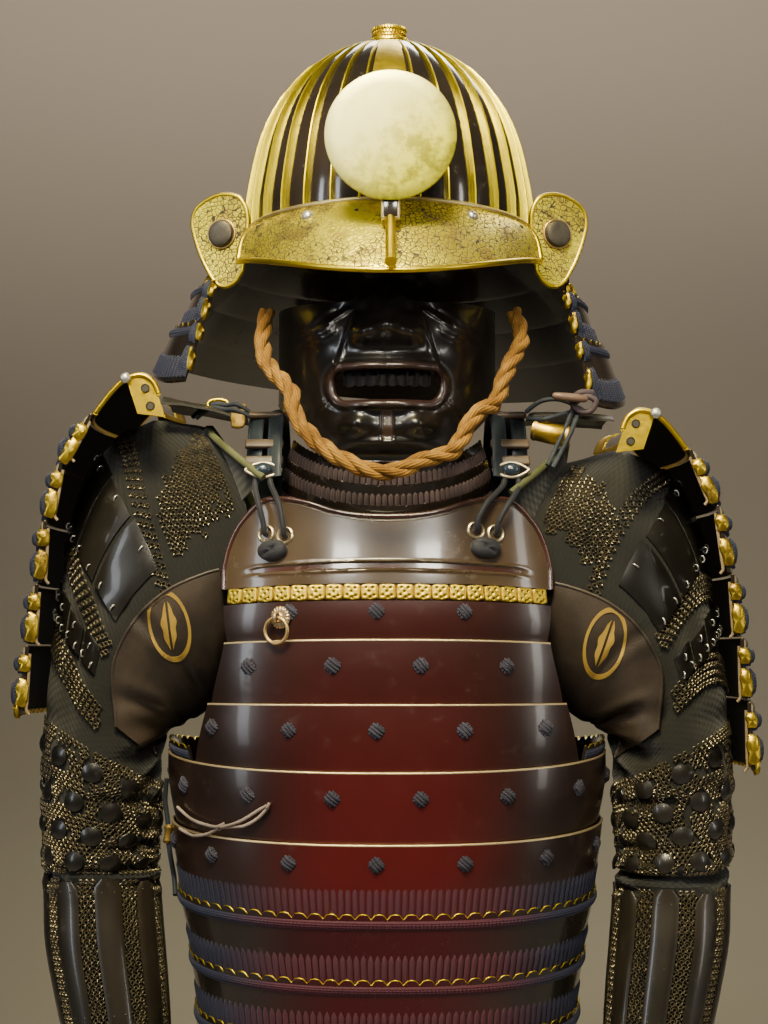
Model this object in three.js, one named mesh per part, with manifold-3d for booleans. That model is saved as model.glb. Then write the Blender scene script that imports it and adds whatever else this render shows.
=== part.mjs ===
// A samurai armour in its worn pose: ribbed helmet, half mask, lamellar cuirass with
// tassets, shoulder guards and armoured sleeves, hollow as it is on a wearer.
// Millimetres, +Z up. The front faces -Y and the wearer's left is +X. The origin is
// between the shoulder straps, on the line where the wearer's shoulders carry them.
import * as THREE from 'three';
import { mergeVertices } from 'three/addons/utils/BufferGeometryUtils.js';
import Module from 'manifold-3d';

const wasm = await Module();
wasm.setup();

// Driving dimensions
const plateThick = 2; // lacquered iron and rawhide lames
const clothThick = 3; // sleeve cloth with its backing
const lameStep = 3.6; // how far the top of a lame stands out over the one above
const lameOverlap = 6; // how far a lame reaches down behind the next one
const trunkCorner = 2.4; // squareness of the body's section, 2 is an ellipse
const sideSeam = 0.6; // degrees left open between the front and back halves
const helmetSide = 2; // the bowl's axis stands this far to the wearer's left
const helmetCentre = 5; // and this far behind the shoulders' line

// The cuirass round the body: height, half width, depth to the front and to the back,
// and how much higher an edge at that height runs at the sides
const trunkSizes = [
  { z: -30, width: 142, front: 92, back: 94, rise: -12 },
  { z: -76, width: 152, front: 101, back: 103, rise: -12 },
  { z: -142, width: 163, front: 115, back: 117, rise: -12 },
  { z: -188, width: 168, front: 120, back: 122, rise: -9 },
  { z: -238, width: 172, front: 123, back: 124, rise: 0 },
  { z: -290, width: 174.5, front: 125, back: 125, rise: 14 },
  { z: -345, width: 170, front: 124, back: 123, rise: 13 },
  { z: -397, width: 164.5, front: 121, back: 119, rise: 12 },
  { z: -447, width: 155, front: 118, back: 114, rise: 13 },
  { z: -490, width: 151, front: 115, back: 111, rise: 12 },
  { z: -545, width: 151, front: 115, back: 111, rise: 12 },
];

// Half width of the front and back plates where the armholes are cut away
const armholeCut = [
  { z: -142, x: 125 },
  { z: -188, x: 124 },
  { z: -238, x: 137 },
  { z: -298, x: 152 },
];

// Heights of the lames' top edges, from the first full lame to the waist's hem
const lameTops = { first: -157, second: -188, third: -238, fourth: -290, fifth: -345 };
const waistTops = { first: -397, second: -447, third: -490, hem: -535 };

// Upper outline of the breast plate and of the back plate: x, height of the edge
const breastOutline = [
  { x: 0, z: -91 },
  { x: 22, z: -90 },
  { x: 44, z: -86 },
  { x: 62, z: -80 },
  { x: 78, z: -76.5 },
  { x: 92, z: -76 },
  { x: 102, z: -80 },
  { x: 112, z: -90 },
  { x: 120, z: -101 },
  { x: 126, z: -116 },
  { x: 129.5, z: -132 },
];
const backOutline = [
  { x: 0, z: -46 },
  { x: 30, z: -44 },
  { x: 62, z: -38 },
  { x: 90, z: -36 },
  { x: 106, z: -48 },
  { x: 117, z: -72 },
  { x: 124, z: -108 },
];

// The helmet bowl's half width by height, and its depth to the front and the back
const bowlSizes = [
  { z: 150, width: 119 },
  { z: 172, width: 118.5 },
  { z: 200, width: 114 },
  { z: 228, width: 107.5 },
  { z: 254, width: 97 },
  { z: 278, width: 81 },
  { z: 296, width: 62 },
  { z: 310, width: 40 },
  { z: 317.5, width: 18 },
];
const bowlFront = 1.08; // front depth as a share of the half width
const bowlBack = 1.15;

// The sleeve in front view, wearer's left: where each ring crosses the inner and the
// outer side of the arm, its half depth, the depth of its centre and how far its
// front and back bow towards the body
const sleeveRings = [
  { innerX: 126, innerZ: -190, outerX: 147, outerZ: -10, depth: 71, y: 0, bow: 27 },
  { innerX: 134, innerZ: -226, outerX: 194, outerZ: -4, depth: 79, y: 0, bow: 19 },
  { innerX: 148, innerZ: -243, outerX: 238, outerZ: -34, depth: 81, y: 0, bow: 12 },
  { innerX: 167, innerZ: -253, outerX: 261, outerZ: -90, depth: 74, y: 0, bow: 4 },
  { innerX: 184, innerZ: -264, outerX: 272, outerZ: -160, depth: 65, y: 0, bow: 0 },
  { innerX: 189, innerZ: -295, outerX: 281, outerZ: -232, depth: 57, y: 0, bow: 0 },
  { innerX: 189, innerZ: -332, outerX: 284, outerZ: -300, depth: 53, y: 2, bow: 0 },
  { innerX: 192, innerZ: -362, outerX: 283, outerZ: -352, depth: 50, y: 4, bow: 0 },
  { innerX: 190, innerZ: -392, outerX: 280, outerZ: -393, depth: 49, y: 3, bow: 0 },
  { innerX: 186, innerZ: -430, outerX: 277, outerZ: -434, depth: 48, y: -4, bow: 0 },
  { innerX: 181, innerZ: -475, outerX: 266, outerZ: -482, depth: 45, y: -13, bow: 0 },
  { innerX: 178, innerZ: -522, outerX: 253, outerZ: -531, depth: 40, y: -22, bow: 0 },
  { innerX: 181, innerZ: -572, outerX: 242, outerZ: -582, depth: 34, y: -30, bow: 0 },
  { innerX: 187, innerZ: -616, outerX: 240, outerZ: -626, depth: 29, y: -36, bow: 0 },
];

const leftShoulderDrop = 30; // the wearer's left sleeve and guard hang this much lower

// The shoulder guards in front view: the front edge's x and z at each lame's top
const guardEdgeRight = [
  { x: 229, z: -10 },
  { x: 252, z: -48 },
  { x: 264, z: -94 },
  { x: 270, z: -144 },
  { x: 277, z: -192 },
  { x: 284, z: -246 },
];
const guardEdgeLeft = [
  { x: 234, z: -38 },
  { x: 255, z: -82 },
  { x: 266, z: -136 },
  { x: 273, z: -186 },
  { x: 278, z: -236 },
  { x: 283, z: -290 },
];
const guardHalfLength = 104; // along Y, from the middle to an end
const guardBulge = 14; // how far the middle stands out past the ends

// Tassets: seven laced panels round the waist, five lames each
const tassetCount = 7;
const tasset = { top: -536, firstLame: -560, pitch: 45, lames: 5, flare: 32, gap: 2.2 };

// The chin cord's route, chosen by hand: from the helmet's right side round the chin
const cordRadius = 6;
const cordRoute = [
  { x: -97, y: -64, z: 78 },
  { x: -100, y: -76, z: 52 },
  { x: -97, y: -86, z: 36 },
  { x: -88, y: -101, z: 22 },
  { x: -75, y: -116, z: 6 },
  { x: -72, y: -121, z: -11 },
  { x: -61, y: -131, z: -28 },
  { x: -46, y: -140, z: -42 },
  { x: -29, y: -145, z: -52 },
  { x: -10, y: -147, z: -59 },
  { x: 9, y: -147, z: -58 },
  { x: 29, y: -144, z: -49 },
  { x: 50, y: -139, z: -43 },
  { x: 60, y: -131, z: -27 },
  { x: 70, y: -124, z: -11 },
  { x: 84, y: -111, z: -3 },
  { x: 91, y: -103, z: 16 },
  { x: 100, y: -90, z: 36 },
  { x: 108, y: -76, z: 53 },
  { x: 103, y: -62, z: 78 },
];

// Colours
const finish = {
  blackLacquer: { color: 0x15110f, roughness: 0.22, metalness: 0.0 },
  brownLacquer: { color: 0x4a2a1c, roughness: 0.25, metalness: 0.0 },
  maroonLacquer: { color: 0x3b1513, roughness: 0.3, metalness: 0.0 },
  gilt: { color: 0xd9a52c, roughness: 0.35, metalness: 0.9 },
  brass: { color: 0x8f6a34, roughness: 0.45, metalness: 0.8 },
  blueLacing: { color: 0x1b2440, roughness: 0.9, metalness: 0.0 },
  purpleLacing: { color: 0x2c1b22, roughness: 0.9, metalness: 0.0 },
  strapLeather: { color: 0x2f3a40, roughness: 0.7, metalness: 0.0 },
  sleeveCloth: { color: 0x1c1e1a, roughness: 0.95, metalness: 0.0 },
  sleeveLeather: { color: 0x2c2320, roughness: 0.6, metalness: 0.0 },
  silver: { color: 0xc9c9c6, roughness: 0.3, metalness: 1.0 },
  rope: { color: 0xa0783c, roughness: 0.95, metalness: 0.0 },
};

const armour = new THREE.Group();

function addPiece(name, geometry, look) {
  const mesh = new THREE.Mesh(geometry, new THREE.MeshStandardMaterial(look));
  mesh.name = name;
  armour.add(mesh);
  return mesh;
}

// Values of a table's columns at one place between its rows
function valuesAt(table, column, place) {
  const ascending = table[table.length - 1][column] > table[0][column];
  const before = (row) => (ascending ? row[column] <= place : row[column] >= place);
  let index = table.findLastIndex(before);
  index = Math.max(0, Math.min(index, table.length - 2));
  const low = table[index];
  const high = table[index + 1];
  const share = THREE.MathUtils.clamp((place - low[column]) / (high[column] - low[column]), 0, 1);
  const values = {};
  for (const key of Object.keys(low)) {
    values[key] = THREE.MathUtils.lerp(low[key], high[key], share);
  }
  return values;
}

function signedPower(value, power) {
  return Math.sign(value) * Math.abs(value) ** power;
}

function spacedValues(from, to, count) {
  return Array.from({ length: count + 1 }, (_, i) => THREE.MathUtils.lerp(from, to, i / count));
}

// A closed geometry from corner points and triangles, with its faces turned outwards
function closedGeometry(points, triangles) {
  let volume = 0;
  for (const [a, b, c] of triangles) {
    volume += points[a].dot(new THREE.Vector3().crossVectors(points[b], points[c]));
  }
  const facing = volume < 0 ? triangles.map(([a, b, c]) => [a, c, b]) : triangles;
  const geometry = new THREE.BufferGeometry();
  geometry.setAttribute(
    'position',
    new THREE.Float32BufferAttribute(points.flatMap((p) => p.toArray()), 3),
  );
  geometry.setIndex(facing.flat());
  geometry.computeVertexNormals();
  return geometry;
}

// A wall between two grids of points, rows by columns. A ring's columns close on
// themselves and leave both ends of the tube open, a panel's four edges are closed.
function wallBetween(outer, inner, ring) {
  const rows = outer.length;
  const columns = outer[0].length;
  const spans = ring ? columns : columns - 1;
  const points = [...outer.flat(), ...inner.flat()];
  const triangles = [];
  const quad = (a, b, c, d) => triangles.push([a, b, c], [a, c, d]);
  const at = (side, row, column) => (side * rows + row) * columns + (column % columns);
  for (let row = 0; row < rows - 1; row += 1) {
    for (let column = 0; column < spans; column += 1) {
      quad(at(0, row, column), at(0, row + 1, column), at(0, row + 1, column + 1), at(0, row, column + 1));
      quad(at(1, row, column), at(1, row, column + 1), at(1, row + 1, column + 1), at(1, row + 1, column));
    }
  }
  for (let column = 0; column < spans; column += 1) {
    quad(at(0, 0, column), at(0, 0, column + 1), at(1, 0, column + 1), at(1, 0, column));
    const last = rows - 1;
    quad(at(0, last, column + 1), at(0, last, column), at(1, last, column), at(1, last, column + 1));
  }
  if (!ring) {
    for (let row = 0; row < rows - 1; row += 1) {
      quad(at(0, row + 1, 0), at(0, row, 0), at(1, row, 0), at(1, row + 1, 0));
      const end = columns - 1;
      quad(at(0, row, end), at(0, row + 1, end), at(1, row + 1, end), at(1, row, end));
    }
  }
  return closedGeometry(points, triangles);
}

function solidOf(geometry) {
  const bare = geometry.clone();
  bare.deleteAttribute('normal');
  bare.deleteAttribute('uv');
  const merged = mergeVertices(bare, 1e-4);
  return new wasm.Manifold(new wasm.Mesh({
    numProp: 3,
    vertProperties: new Float32Array(merged.attributes.position.array),
    triVerts: new Uint32Array(merged.index.array),
  }));
}

function geometryOf(solid) {
  const mesh = solid.getMesh();
  const geometry = new THREE.BufferGeometry();
  geometry.setAttribute('position', new THREE.Float32BufferAttribute(mesh.vertProperties, 3));
  geometry.setIndex(Array.from(mesh.triVerts));
  geometry.computeVertexNormals();
  return geometry;
}

// ---- Cuirass ----

// A point of the trunk: degrees round from the front, height, distance out of the form
function trunkPoint(angle, z, out) {
  const size = valuesAt(trunkSizes, 'z', z);
  const turn = THREE.MathUtils.degToRad(angle);
  const depth = Math.cos(turn) > 0 ? size.front : size.back;
  const x = (size.width + out) * signedPower(Math.sin(turn), 2 / trunkCorner);
  const y = -(depth + out) * signedPower(Math.cos(turn), 2 / trunkCorner);
  return new THREE.Vector3(x, y, z);
}

// Degrees round from the front at which the trunk is this wide
function trunkAngle(x, z) {
  const share = x / valuesAt(trunkSizes, 'z', z).width;
  return THREE.MathUtils.radToDeg(Math.asin(share ** (trunkCorner / 2)));
}

function raised(z, angle) {
  const { rise } = valuesAt(trunkSizes, 'z', z);
  return z + rise * (1 - Math.abs(Math.cos(THREE.MathUtils.degToRad(angle))));
}

// One lame round the trunk. Its top stands out over the lame above and its foot
// goes straight down behind the next lame's top.
function trunkLame(top, bottom, anglesAt, foot = lameOverlap) {
  const levels = [
    { z: top, out: lameStep },
    { z: bottom, out: 0 },
    { z: bottom - foot, out: -0.6 },
  ];
  const grid = (thick) => levels.map((level) => anglesAt(level.z).map(
    (angle) => trunkPoint(angle, raised(level.z, angle), level.out + thick),
  ));
  return wallBetween(grid(plateThick), grid(0), false);
}

function frontAngles(z) {
  const edge = trunkAngle(valuesAt(armholeCut, 'z', z).x, z);
  return spacedValues(-edge, edge, 12);
}

function backAngles(z) {
  const edge = trunkAngle(valuesAt(armholeCut, 'z', z).x, z);
  return spacedValues(180 - edge, 180 + edge, 12);
}

const halfRingSpans = 16;

function halfAngles(middle) {
  const reach = 90 - sideSeam / 2;
  return () => spacedValues(middle - reach, middle + reach, halfRingSpans);
}

// A plate with a shaped upper outline, on the front (side -1) or the back (side 1)
function outlinedPlate(outline, side, bottom) {
  const mirrored = outline.slice(1).reverse().map(({ x, z }) => ({ x: -x, z }));
  const columns = [...mirrored, ...outline];
  const grid = (thick) => [0, 0.33, 0.66, 1].map((share) => columns.map((edge) => {
    const foot = raised(bottom, trunkAngle(Math.abs(edge.x), bottom));
    const z = THREE.MathUtils.lerp(edge.z, foot, share);
    const angle = trunkAngle(Math.abs(edge.x), z) * Math.sign(edge.x);
    const front = trunkPoint(side < 0 ? angle : 180 - angle, z, thick);
    return new THREE.Vector3(edge.x, front.y, z);
  }));
  return wallBetween(grid(plateThick), grid(0), false);
}

addPiece('breast_plate', outlinedPlate(breastOutline, -1, -143.5), finish.brownLacquer);
addPiece('back_plate', outlinedPlate(backOutline, 1, -187), finish.brownLacquer);

// The row of gilt scale heads under the breast plate
function goldScaleRow() {
  const heights = [-144.3, lameTops.first + 0.5];
  const edge = 46;
  const grid = (out) => heights.map((z) => spacedValues(-edge, edge, 18).map((angle) => {
    const half = valuesAt(armholeCut, 'z', z).x - 4;
    const turn = (angle / edge) * trunkAngle(half, z);
    return trunkPoint(turn, raised(z, turn), out);
  }));
  return wallBetween(grid(4.5), grid(0.5), false);
}

addPiece('gold_scale_row', goldScaleRow(), finish.gilt);

const frontRows = [
  { name: 'front_lame_1', top: lameTops.first, bottom: lameTops.second, angles: frontAngles },
  { name: 'front_lame_2', top: lameTops.second, bottom: lameTops.third, angles: frontAngles },
  { name: 'front_lame_3', top: lameTops.third, bottom: lameTops.fourth, angles: frontAngles },
  { name: 'front_lame_4', top: lameTops.fourth, bottom: lameTops.fifth, angles: halfAngles(0) },
  { name: 'front_lame_5', top: lameTops.fifth, bottom: waistTops.first, angles: halfAngles(0) },
];
const backRows = [
  { name: 'back_lame_2', top: lameTops.second, bottom: lameTops.third, angles: backAngles },
  { name: 'back_lame_3', top: lameTops.third, bottom: lameTops.fourth, angles: backAngles },
  { name: 'back_lame_4', top: lameTops.fourth, bottom: lameTops.fifth, angles: halfAngles(180) },
  { name: 'back_lame_5', top: lameTops.fifth, bottom: waistTops.first, angles: halfAngles(180) },
];
for (const row of [...frontRows, ...backRows]) {
  addPiece(row.name, trunkLame(row.top, row.bottom, row.angles), finish.maroonLacquer);
}

const waistRows = [
  { number: 1, top: waistTops.first, bottom: waistTops.second, foot: lameOverlap },
  { number: 2, top: waistTops.second, bottom: waistTops.third, foot: lameOverlap },
  { number: 3, top: waistTops.third, bottom: waistTops.hem + 1, foot: 1 },
];
for (const row of waistRows) {
  for (const [side, middle] of [['front', 0], ['back', 180]]) {
    const geometry = trunkLame(row.top, row.bottom, halfAngles(middle), row.foot);
    addPiece(`waist_${side}_${row.number}`, geometry, finish.blueLacing);
  }
}

// Small laced plates under the arms, their columns in line with the half rings'
const sidePlate = { top: -276, bottom: -291, halfAngle: 31 };
const halfRingPitch = (180 - sideSeam) / halfRingSpans;

function sidePlateAngles(middle) {
  const steps = [0, 1, 2].map((span) => sideSeam / 2 + span * halfRingPitch);
  steps.push(sidePlate.halfAngle);
  return [...steps.toReversed().map((step) => middle - step), ...steps.map((step) => middle + step)];
}

for (const [name, middle] of [['side_plate_right', -90], ['side_plate_left', 90]]) {
  const geometry = trunkLame(sidePlate.top, sidePlate.bottom, () => sidePlateAngles(middle));
  addPiece(name, geometry, finish.blueLacing);
}

// ---- Shoulder straps ----

const strapSize = { inner: 84, outer: 113, thick: 4, slope: 5 };
const strapPath = [
  { y: 82, z: -62 },
  { y: 80.5, z: -40 },
  { y: 70, z: -18 },
  { y: 50, z: -4 },
  { y: 15, z: 2 },
  { y: -20, z: 1 },
  { y: -48, z: -8 },
  { y: -68, z: -24 },
  { y: -80, z: -42 },
  { y: -86, z: -58 },
];

// How the chest and back round away under the strap's width
const strapTrunkWidth = 148;

function strapCurve(x) {
  return (1 - (x / strapTrunkWidth) ** trunkCorner) ** (1 / trunkCorner);
}

function shoulderStrap(side) {
  const rows = strapPath.map((place, index) => {
    const before = strapPath[Math.max(0, index - 1)];
    const after = strapPath[Math.min(strapPath.length - 1, index + 1)];
    const along = new THREE.Vector2(after.y - before.y, after.z - before.z).normalize();
    return { place, normal: new THREE.Vector3(0, along.y, -along.x) };
  });
  const grid = (out) => rows.map(({ place, normal }) => [0, 0.5, 1].map((share) => {
    const x = THREE.MathUtils.lerp(strapSize.inner, strapSize.outer, share);
    const y = place.y * strapCurve(x) / strapCurve(strapSize.inner);
    const point = new THREE.Vector3(side * x, y, place.z - strapSize.slope * share);
    return point.addScaledVector(normal, -out);
  }));
  return wallBetween(grid(0), grid(strapSize.thick), false);
}

addPiece('shoulder_strap_right', shoulderStrap(-1), finish.strapLeather);
addPiece('shoulder_strap_left', shoulderStrap(1), finish.strapLeather);

// ---- Breast ring on its staple ----

const ring = { x: -80, z: -170, radius: 10, wire: 1.5, plate: 9, plateThick: 2, eye: 2.4, reach: 6.4 };

function stapleGeometry() {
  const profile = [
    [0, 0], [ring.plate, 0], [ring.plate, ring.plateThick], [4, ring.plateThick + 1.6],
    [0, ring.plateThick + 1.6],
  ].map(([r, h]) => new THREE.Vector2(r, h));
  const rose = new THREE.LatheGeometry(profile, 16);
  const lug = new THREE.BoxGeometry(4, 9, 8.4);
  lug.translate(0, 6, 0);
  const eye = new THREE.CylinderGeometry(ring.eye, ring.eye, 8, 16);
  eye.rotateZ(Math.PI / 2);
  eye.translate(0, ring.reach, 0);
  const body = solidOf(rose).add(solidOf(lug)).subtract(solidOf(eye));
  return geometryOf(body);
}

const ringPlace = trunkPoint(-trunkAngle(-ring.x, ring.z), ring.z, 0);
const ringNormal = trunkPoint(-trunkAngle(-ring.x, ring.z), ring.z, 1).sub(ringPlace).setZ(0).normalize();
const ringTurn = Math.atan2(ringNormal.x, -ringNormal.y);
const ringOut = plateThick + lameStep + 0.7;
const ringMount = new THREE.Group();
ringMount.position.copy(ringPlace).addScaledVector(ringNormal, ringOut);
ringMount.rotation.z = ringTurn;
armour.add(ringMount);

const staple = addPiece('ring_staple', stapleGeometry(), finish.brass);
staple.rotation.x = Math.PI;
ringMount.add(staple);

const ringGeometry = new THREE.TorusGeometry(ring.radius, ring.wire, 8, 18);
ringGeometry.rotateX(Math.PI / 2);
const breastRing = addPiece('breast_ring', ringGeometry, finish.brass);
breastRing.position.set(0, -ring.reach, -ring.radius);
ringMount.add(breastRing);

// ---- Tassets ----

function tassetPanel(middle) {
  const half = 180 / tassetCount - tasset.gap / 2;
  const angles = spacedValues(middle - half, middle + half, 4);
  const hem = tasset.firstLame - tasset.pitch * tasset.lames;
  const flareAt = (z) => tasset.flare * ((tasset.firstLame - z) / (tasset.firstLame - hem));
  const levels = [{ z: tasset.top, out: 0.5 }, { z: tasset.firstLame + 1, out: 0.5 }];
  for (let lame = 0; lame < tasset.lames; lame += 1) {
    const top = tasset.firstLame - lame * tasset.pitch;
    const foot = top - tasset.pitch + 1;
    levels.push({ z: top, out: flareAt(top) + lameStep });
    levels.push({ z: foot, out: flareAt(foot) + 0.5 });
  }
  const taper = (z) => 1 + 0.04 * Math.sin((z / hem) * Math.PI);
  const grid = (thick) => levels.map((level) => angles.map((angle) => {
    const spread = middle + (angle - middle) * taper(level.z) * 0.96;
    return trunkPoint(spread, level.z, level.out + thick);
  }));
  return wallBetween(grid(plateThick + 0.5), grid(0), false);
}

for (let index = 0; index < tassetCount; index += 1) {
  const middle = (360 / tassetCount) * index;
  addPiece(`tasset_${index + 1}`, tassetPanel(middle), finish.blueLacing);
}

// ---- Sleeves ----

// A point of the sleeve: ring row (may be a fraction), degrees round the arm with 0 on
// the inner side and 90 at the front, distance out of the cloth's outer face
function sleevePoint(side, row, degrees, out) {
  const size = valuesAt(sleeveRings.map((ringRow, index) => ({ ...ringRow, index })), 'index', row);
  const drop = side > 0 ? leftShoulderDrop * Math.max(0, 1 - row / 6) : 0;
  const inner = new THREE.Vector3(size.innerX, size.y, size.innerZ);
  const outer = new THREE.Vector3(size.outerX, size.y, size.outerZ - drop);
  const across = outer.clone().sub(inner);
  const halfWidth = across.length() / 2;
  across.normalize();
  const turn = THREE.MathUtils.degToRad(degrees);
  const point = inner.clone().add(outer).multiplyScalar(0.5);
  point.addScaledVector(across, -(halfWidth + out) * Math.cos(turn));
  point.y -= (size.depth + out) * Math.sin(turn);
  point.x -= size.bow * Math.sin(turn) ** 2;
  point.x *= side;
  return point;
}

const sleeveSides = 18;

function sleeveTube(side) {
  const turns = Array.from({ length: sleeveSides }, (_, i) => (360 / sleeveSides) * i);
  const grid = (out) => sleeveRings.map((_, row) => turns.map(
    (degrees) => sleevePoint(side, row, degrees, out),
  ));
  return wallBetween(grid(0), grid(-clothThick), true);
}

// A patch that lies on the sleeve, between two ring rows and two directions
function sleevePatch(side, rows, degrees, outAt, thick) {
  const grid = (out) => rows.map((row) => degrees.map(
    (turn, column) => sleevePoint(side, row, turn, outAt(column) + out),
  ));
  return wallBetween(grid(thick), grid(0), false);
}

const facing = { rows: [0.8, 1, 2, 3, 4, 4.6], degrees: spacedValues(20, 80, 3) };
const splints = { rows: [7.6, 8, 9, 10, 11, 12, 12.7], from: -18, to: 198, count: 5, thick: 2, height: 2.2 };

function forearmSplints(side) {
  const pitch = (splints.to - splints.from) / splints.count;
  const degrees = [];
  for (let index = 0; index < splints.count; index += 1) {
    const start = splints.from + index * pitch;
    degrees.push(start, start + pitch * 0.18, start + pitch * 0.22, start + pitch * 0.94);
  }
  const outAt = (column) => 0.6 + (column % 4 > 1 ? splints.height : 0);
  return sleevePatch(side, splints.rows, degrees, outAt, splints.thick);
}

function handPlate(side) {
  const rows = [
    { z: -634, half: 24, y: -66 },
    { z: -655, half: 30, y: -74 },
    { z: -685, half: 31, y: -76 },
    { z: -712, half: 28, y: -72 },
    { z: -728, half: 15, y: -66 },
  ];
  const centreX = 216;
  const grid = (back) => rows.map((row) => spacedValues(-1, 1, 6).map((share) => {
    const x = centreX + row.half * share;
    return new THREE.Vector3(side * x, row.y + 16 * share ** 2 + back, row.z);
  }));
  return wallBetween(grid(0), grid(plateThick), false);
}

for (const [name, side] of [['right', -1], ['left', 1]]) {
  addPiece(`sleeve_${name}`, sleeveTube(side), finish.sleeveCloth);
  const panel = sleevePatch(side, facing.rows, facing.degrees, () => 0.6, 1.5);
  addPiece(`sleeve_facing_${name}`, panel, finish.sleeveLeather);
  addPiece(`forearm_splints_${name}`, forearmSplints(side), finish.brownLacquer);
  addPiece(`hand_plate_${name}`, handPlate(side), finish.brownLacquer);
}

// ---- Shoulder guards ----

// The guard's outer face: place along Y from -1 to 1, edge point in front view
function guardPoint(side, along, x, z) {
  return new THREE.Vector3(side * (x + guardBulge * (1 - along ** 2)), guardHalfLength * along, z);
}

function guardLames(side, edge) {
  const levels = [];
  for (let index = 0; index < edge.length - 1; index += 1) {
    const top = edge[index];
    const next = edge[index + 1];
    levels.push({ x: top.x + 2.5, z: top.z });
    levels.push({ x: next.x, z: next.z + 1.5 });
  }
  const last = edge[edge.length - 1];
  levels.push({ x: last.x + 2.5, z: last.z + 0.5 }, { x: last.x + 1, z: last.z - 2 });
  const grid = (thick) => levels.map(({ x, z }) => spacedValues(-1, 1, 6).map(
    (along) => guardPoint(side, along, x + thick, z),
  ));
  return wallBetween(grid(3), grid(0), false);
}

// The bent top plate: a rounded ridge over the shoulder that turns down to the first lame
function guardTop(side, edge) {
  const levels = [
    { in: 50, up: 17 },
    { in: 46, up: 26 },
    { in: 36, up: 32 },
    { in: 23, up: 29 },
    { in: 11, up: 18 },
    { in: -1, up: 2 },
  ];
  const grid = (thick) => levels.map((level, index) => spacedValues(-1, 1, 6).map((along) => {
    const before = levels[Math.max(0, index - 1)];
    const after = levels[Math.min(levels.length - 1, index + 1)];
    const run = new THREE.Vector2(before.in - after.in, after.up - before.up).normalize();
    const x = edge[0].x - level.in + run.y * thick;
    return guardPoint(side, along * 0.99, x, edge[0].z + level.up - run.x * thick);
  }));
  return wallBetween(grid(0), grid(3), false);
}

for (const [name, side, edge] of [['right', -1, guardEdgeRight], ['left', 1, guardEdgeLeft]]) {
  addPiece(`shoulder_guard_top_${name}`, guardTop(side, edge), finish.blackLacquer);
  addPiece(`shoulder_guard_lames_${name}`, guardLames(side, edge), finish.blueLacing);
}

// ---- Helmet ----

// A point of the bowl: degrees round from the front, height, distance out
function bowlPoint(angle, z, out) {
  const turn = THREE.MathUtils.degToRad(angle);
  const half = valuesAt(bowlSizes, 'z', z).width + out;
  const depth = Math.cos(turn) > 0 ? bowlFront : bowlBack;
  const x = helmetSide + half * Math.sin(turn);
  return new THREE.Vector3(x, helmetCentre - half * depth * Math.cos(turn), z);
}

function bowlGeometry() {
  const angles = Array.from({ length: 32 }, (_, i) => i * 11.25);
  const grid = (out) => bowlSizes.map(({ z }) => angles.map(
    (angle) => bowlPoint(angle, z + Math.min(0, out) * ((z - 150) / 170), out),
  ));
  return wallBetween(grid(0), grid(-3), true);
}

addPiece('helmet_bowl', bowlGeometry(), finish.blackLacquer);

// The crown's fitting: a stepped base and a serrated rim round the air hole
const crown = { hole: 9, base: 17, rim: 14.5, bottom: 318.6, ledge: 323.5, top: 332.5 };
const crownProfile = [
  [crown.hole, crown.bottom], [crown.base, crown.bottom], [crown.base, crown.ledge],
  [crown.rim, crown.ledge], [crown.rim, crown.top], [crown.hole, crown.top],
  [crown.hole, crown.bottom],
].map(([r, z]) => new THREE.Vector2(r, z));
const crownGeometry = new THREE.LatheGeometry(crownProfile, 20);
crownGeometry.rotateX(Math.PI / 2);
const crownRing = addPiece('helmet_top_ring', crownGeometry, finish.gilt);
crownRing.position.set(helmetSide, helmetCentre, 0);

// The visor: its upper edge lies on the bowl's rim, its lower edge stands forward
const visor = { halfAngle: 70, top: 157, topDrop: 5, low: 90, lowEnds: 120, reach: 190, width: 131 };

function visorPoint(angle, share, lift) {
  const turn = THREE.MathUtils.degToRad(angle);
  const sine = Math.sin(turn);
  const cosine = Math.cos(turn);
  const rim = bowlSizes[0].width + 1.4;
  const topZ = visor.top - visor.topDrop * sine ** 2;
  const lowZ = THREE.MathUtils.lerp(visor.low, visor.lowEnds, (sine / 0.94) ** 2);
  const highY = helmetCentre - (rim * bowlFront + 1) * cosine;
  const lowY = helmetCentre - visor.reach * cosine;
  const high = new THREE.Vector3(helmetSide + rim * sine, highY, topZ);
  const low = new THREE.Vector3(helmetSide + visor.width * sine, lowY, lowZ);
  const point = high.clone().lerp(low, share);
  const arch = Math.sin(share * Math.PI) * 5;
  return point.add(new THREE.Vector3(sine * arch * 0.4, -cosine * arch * 0.4, arch * 0.9 + lift));
}

function visorGeometry() {
  const angles = spacedValues(-visor.halfAngle, visor.halfAngle, 20);
  const grid = (lift) => [0, 0.3, 0.65, 1].map((share) => angles.map(
    (angle) => visorPoint(angle, share, lift),
  ));
  return wallBetween(grid(0), grid(-2.4), false);
}

addPiece('helmet_visor', visorGeometry(), finish.gilt);

// Neck guard: lames that flare out from the bowl's rim round the sides and the back
const neckLevels = [
  { s: 0, z: 151, width: 121.5, front: 129, back: 141, y: 5 },
  { s: 1, z: 125, width: 139, front: 130, back: 152, y: 10 },
  { s: 2, z: 99, width: 158, front: 130, back: 166, y: 16 },
  { s: 3, z: 71, width: 176, front: 130, back: 182, y: 23 },
  { s: 4, z: 42, width: 199, front: 129, back: 200, y: 30 },
];
const neckLean = 12; // the laced lames hang this much lower on the wearer's left
const neckCorner = { drop: 28, from: 118, to: 62 }; // the lowest lame's front corners hang lower
const neckLames = [
  { top: 0, bottom: 1, start: 88 },
  { top: 1, bottom: 2, start: 86 },
  { top: 2, bottom: 3, start: 61 },
  { top: 3, bottom: 4, start: 57 },
];

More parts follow.
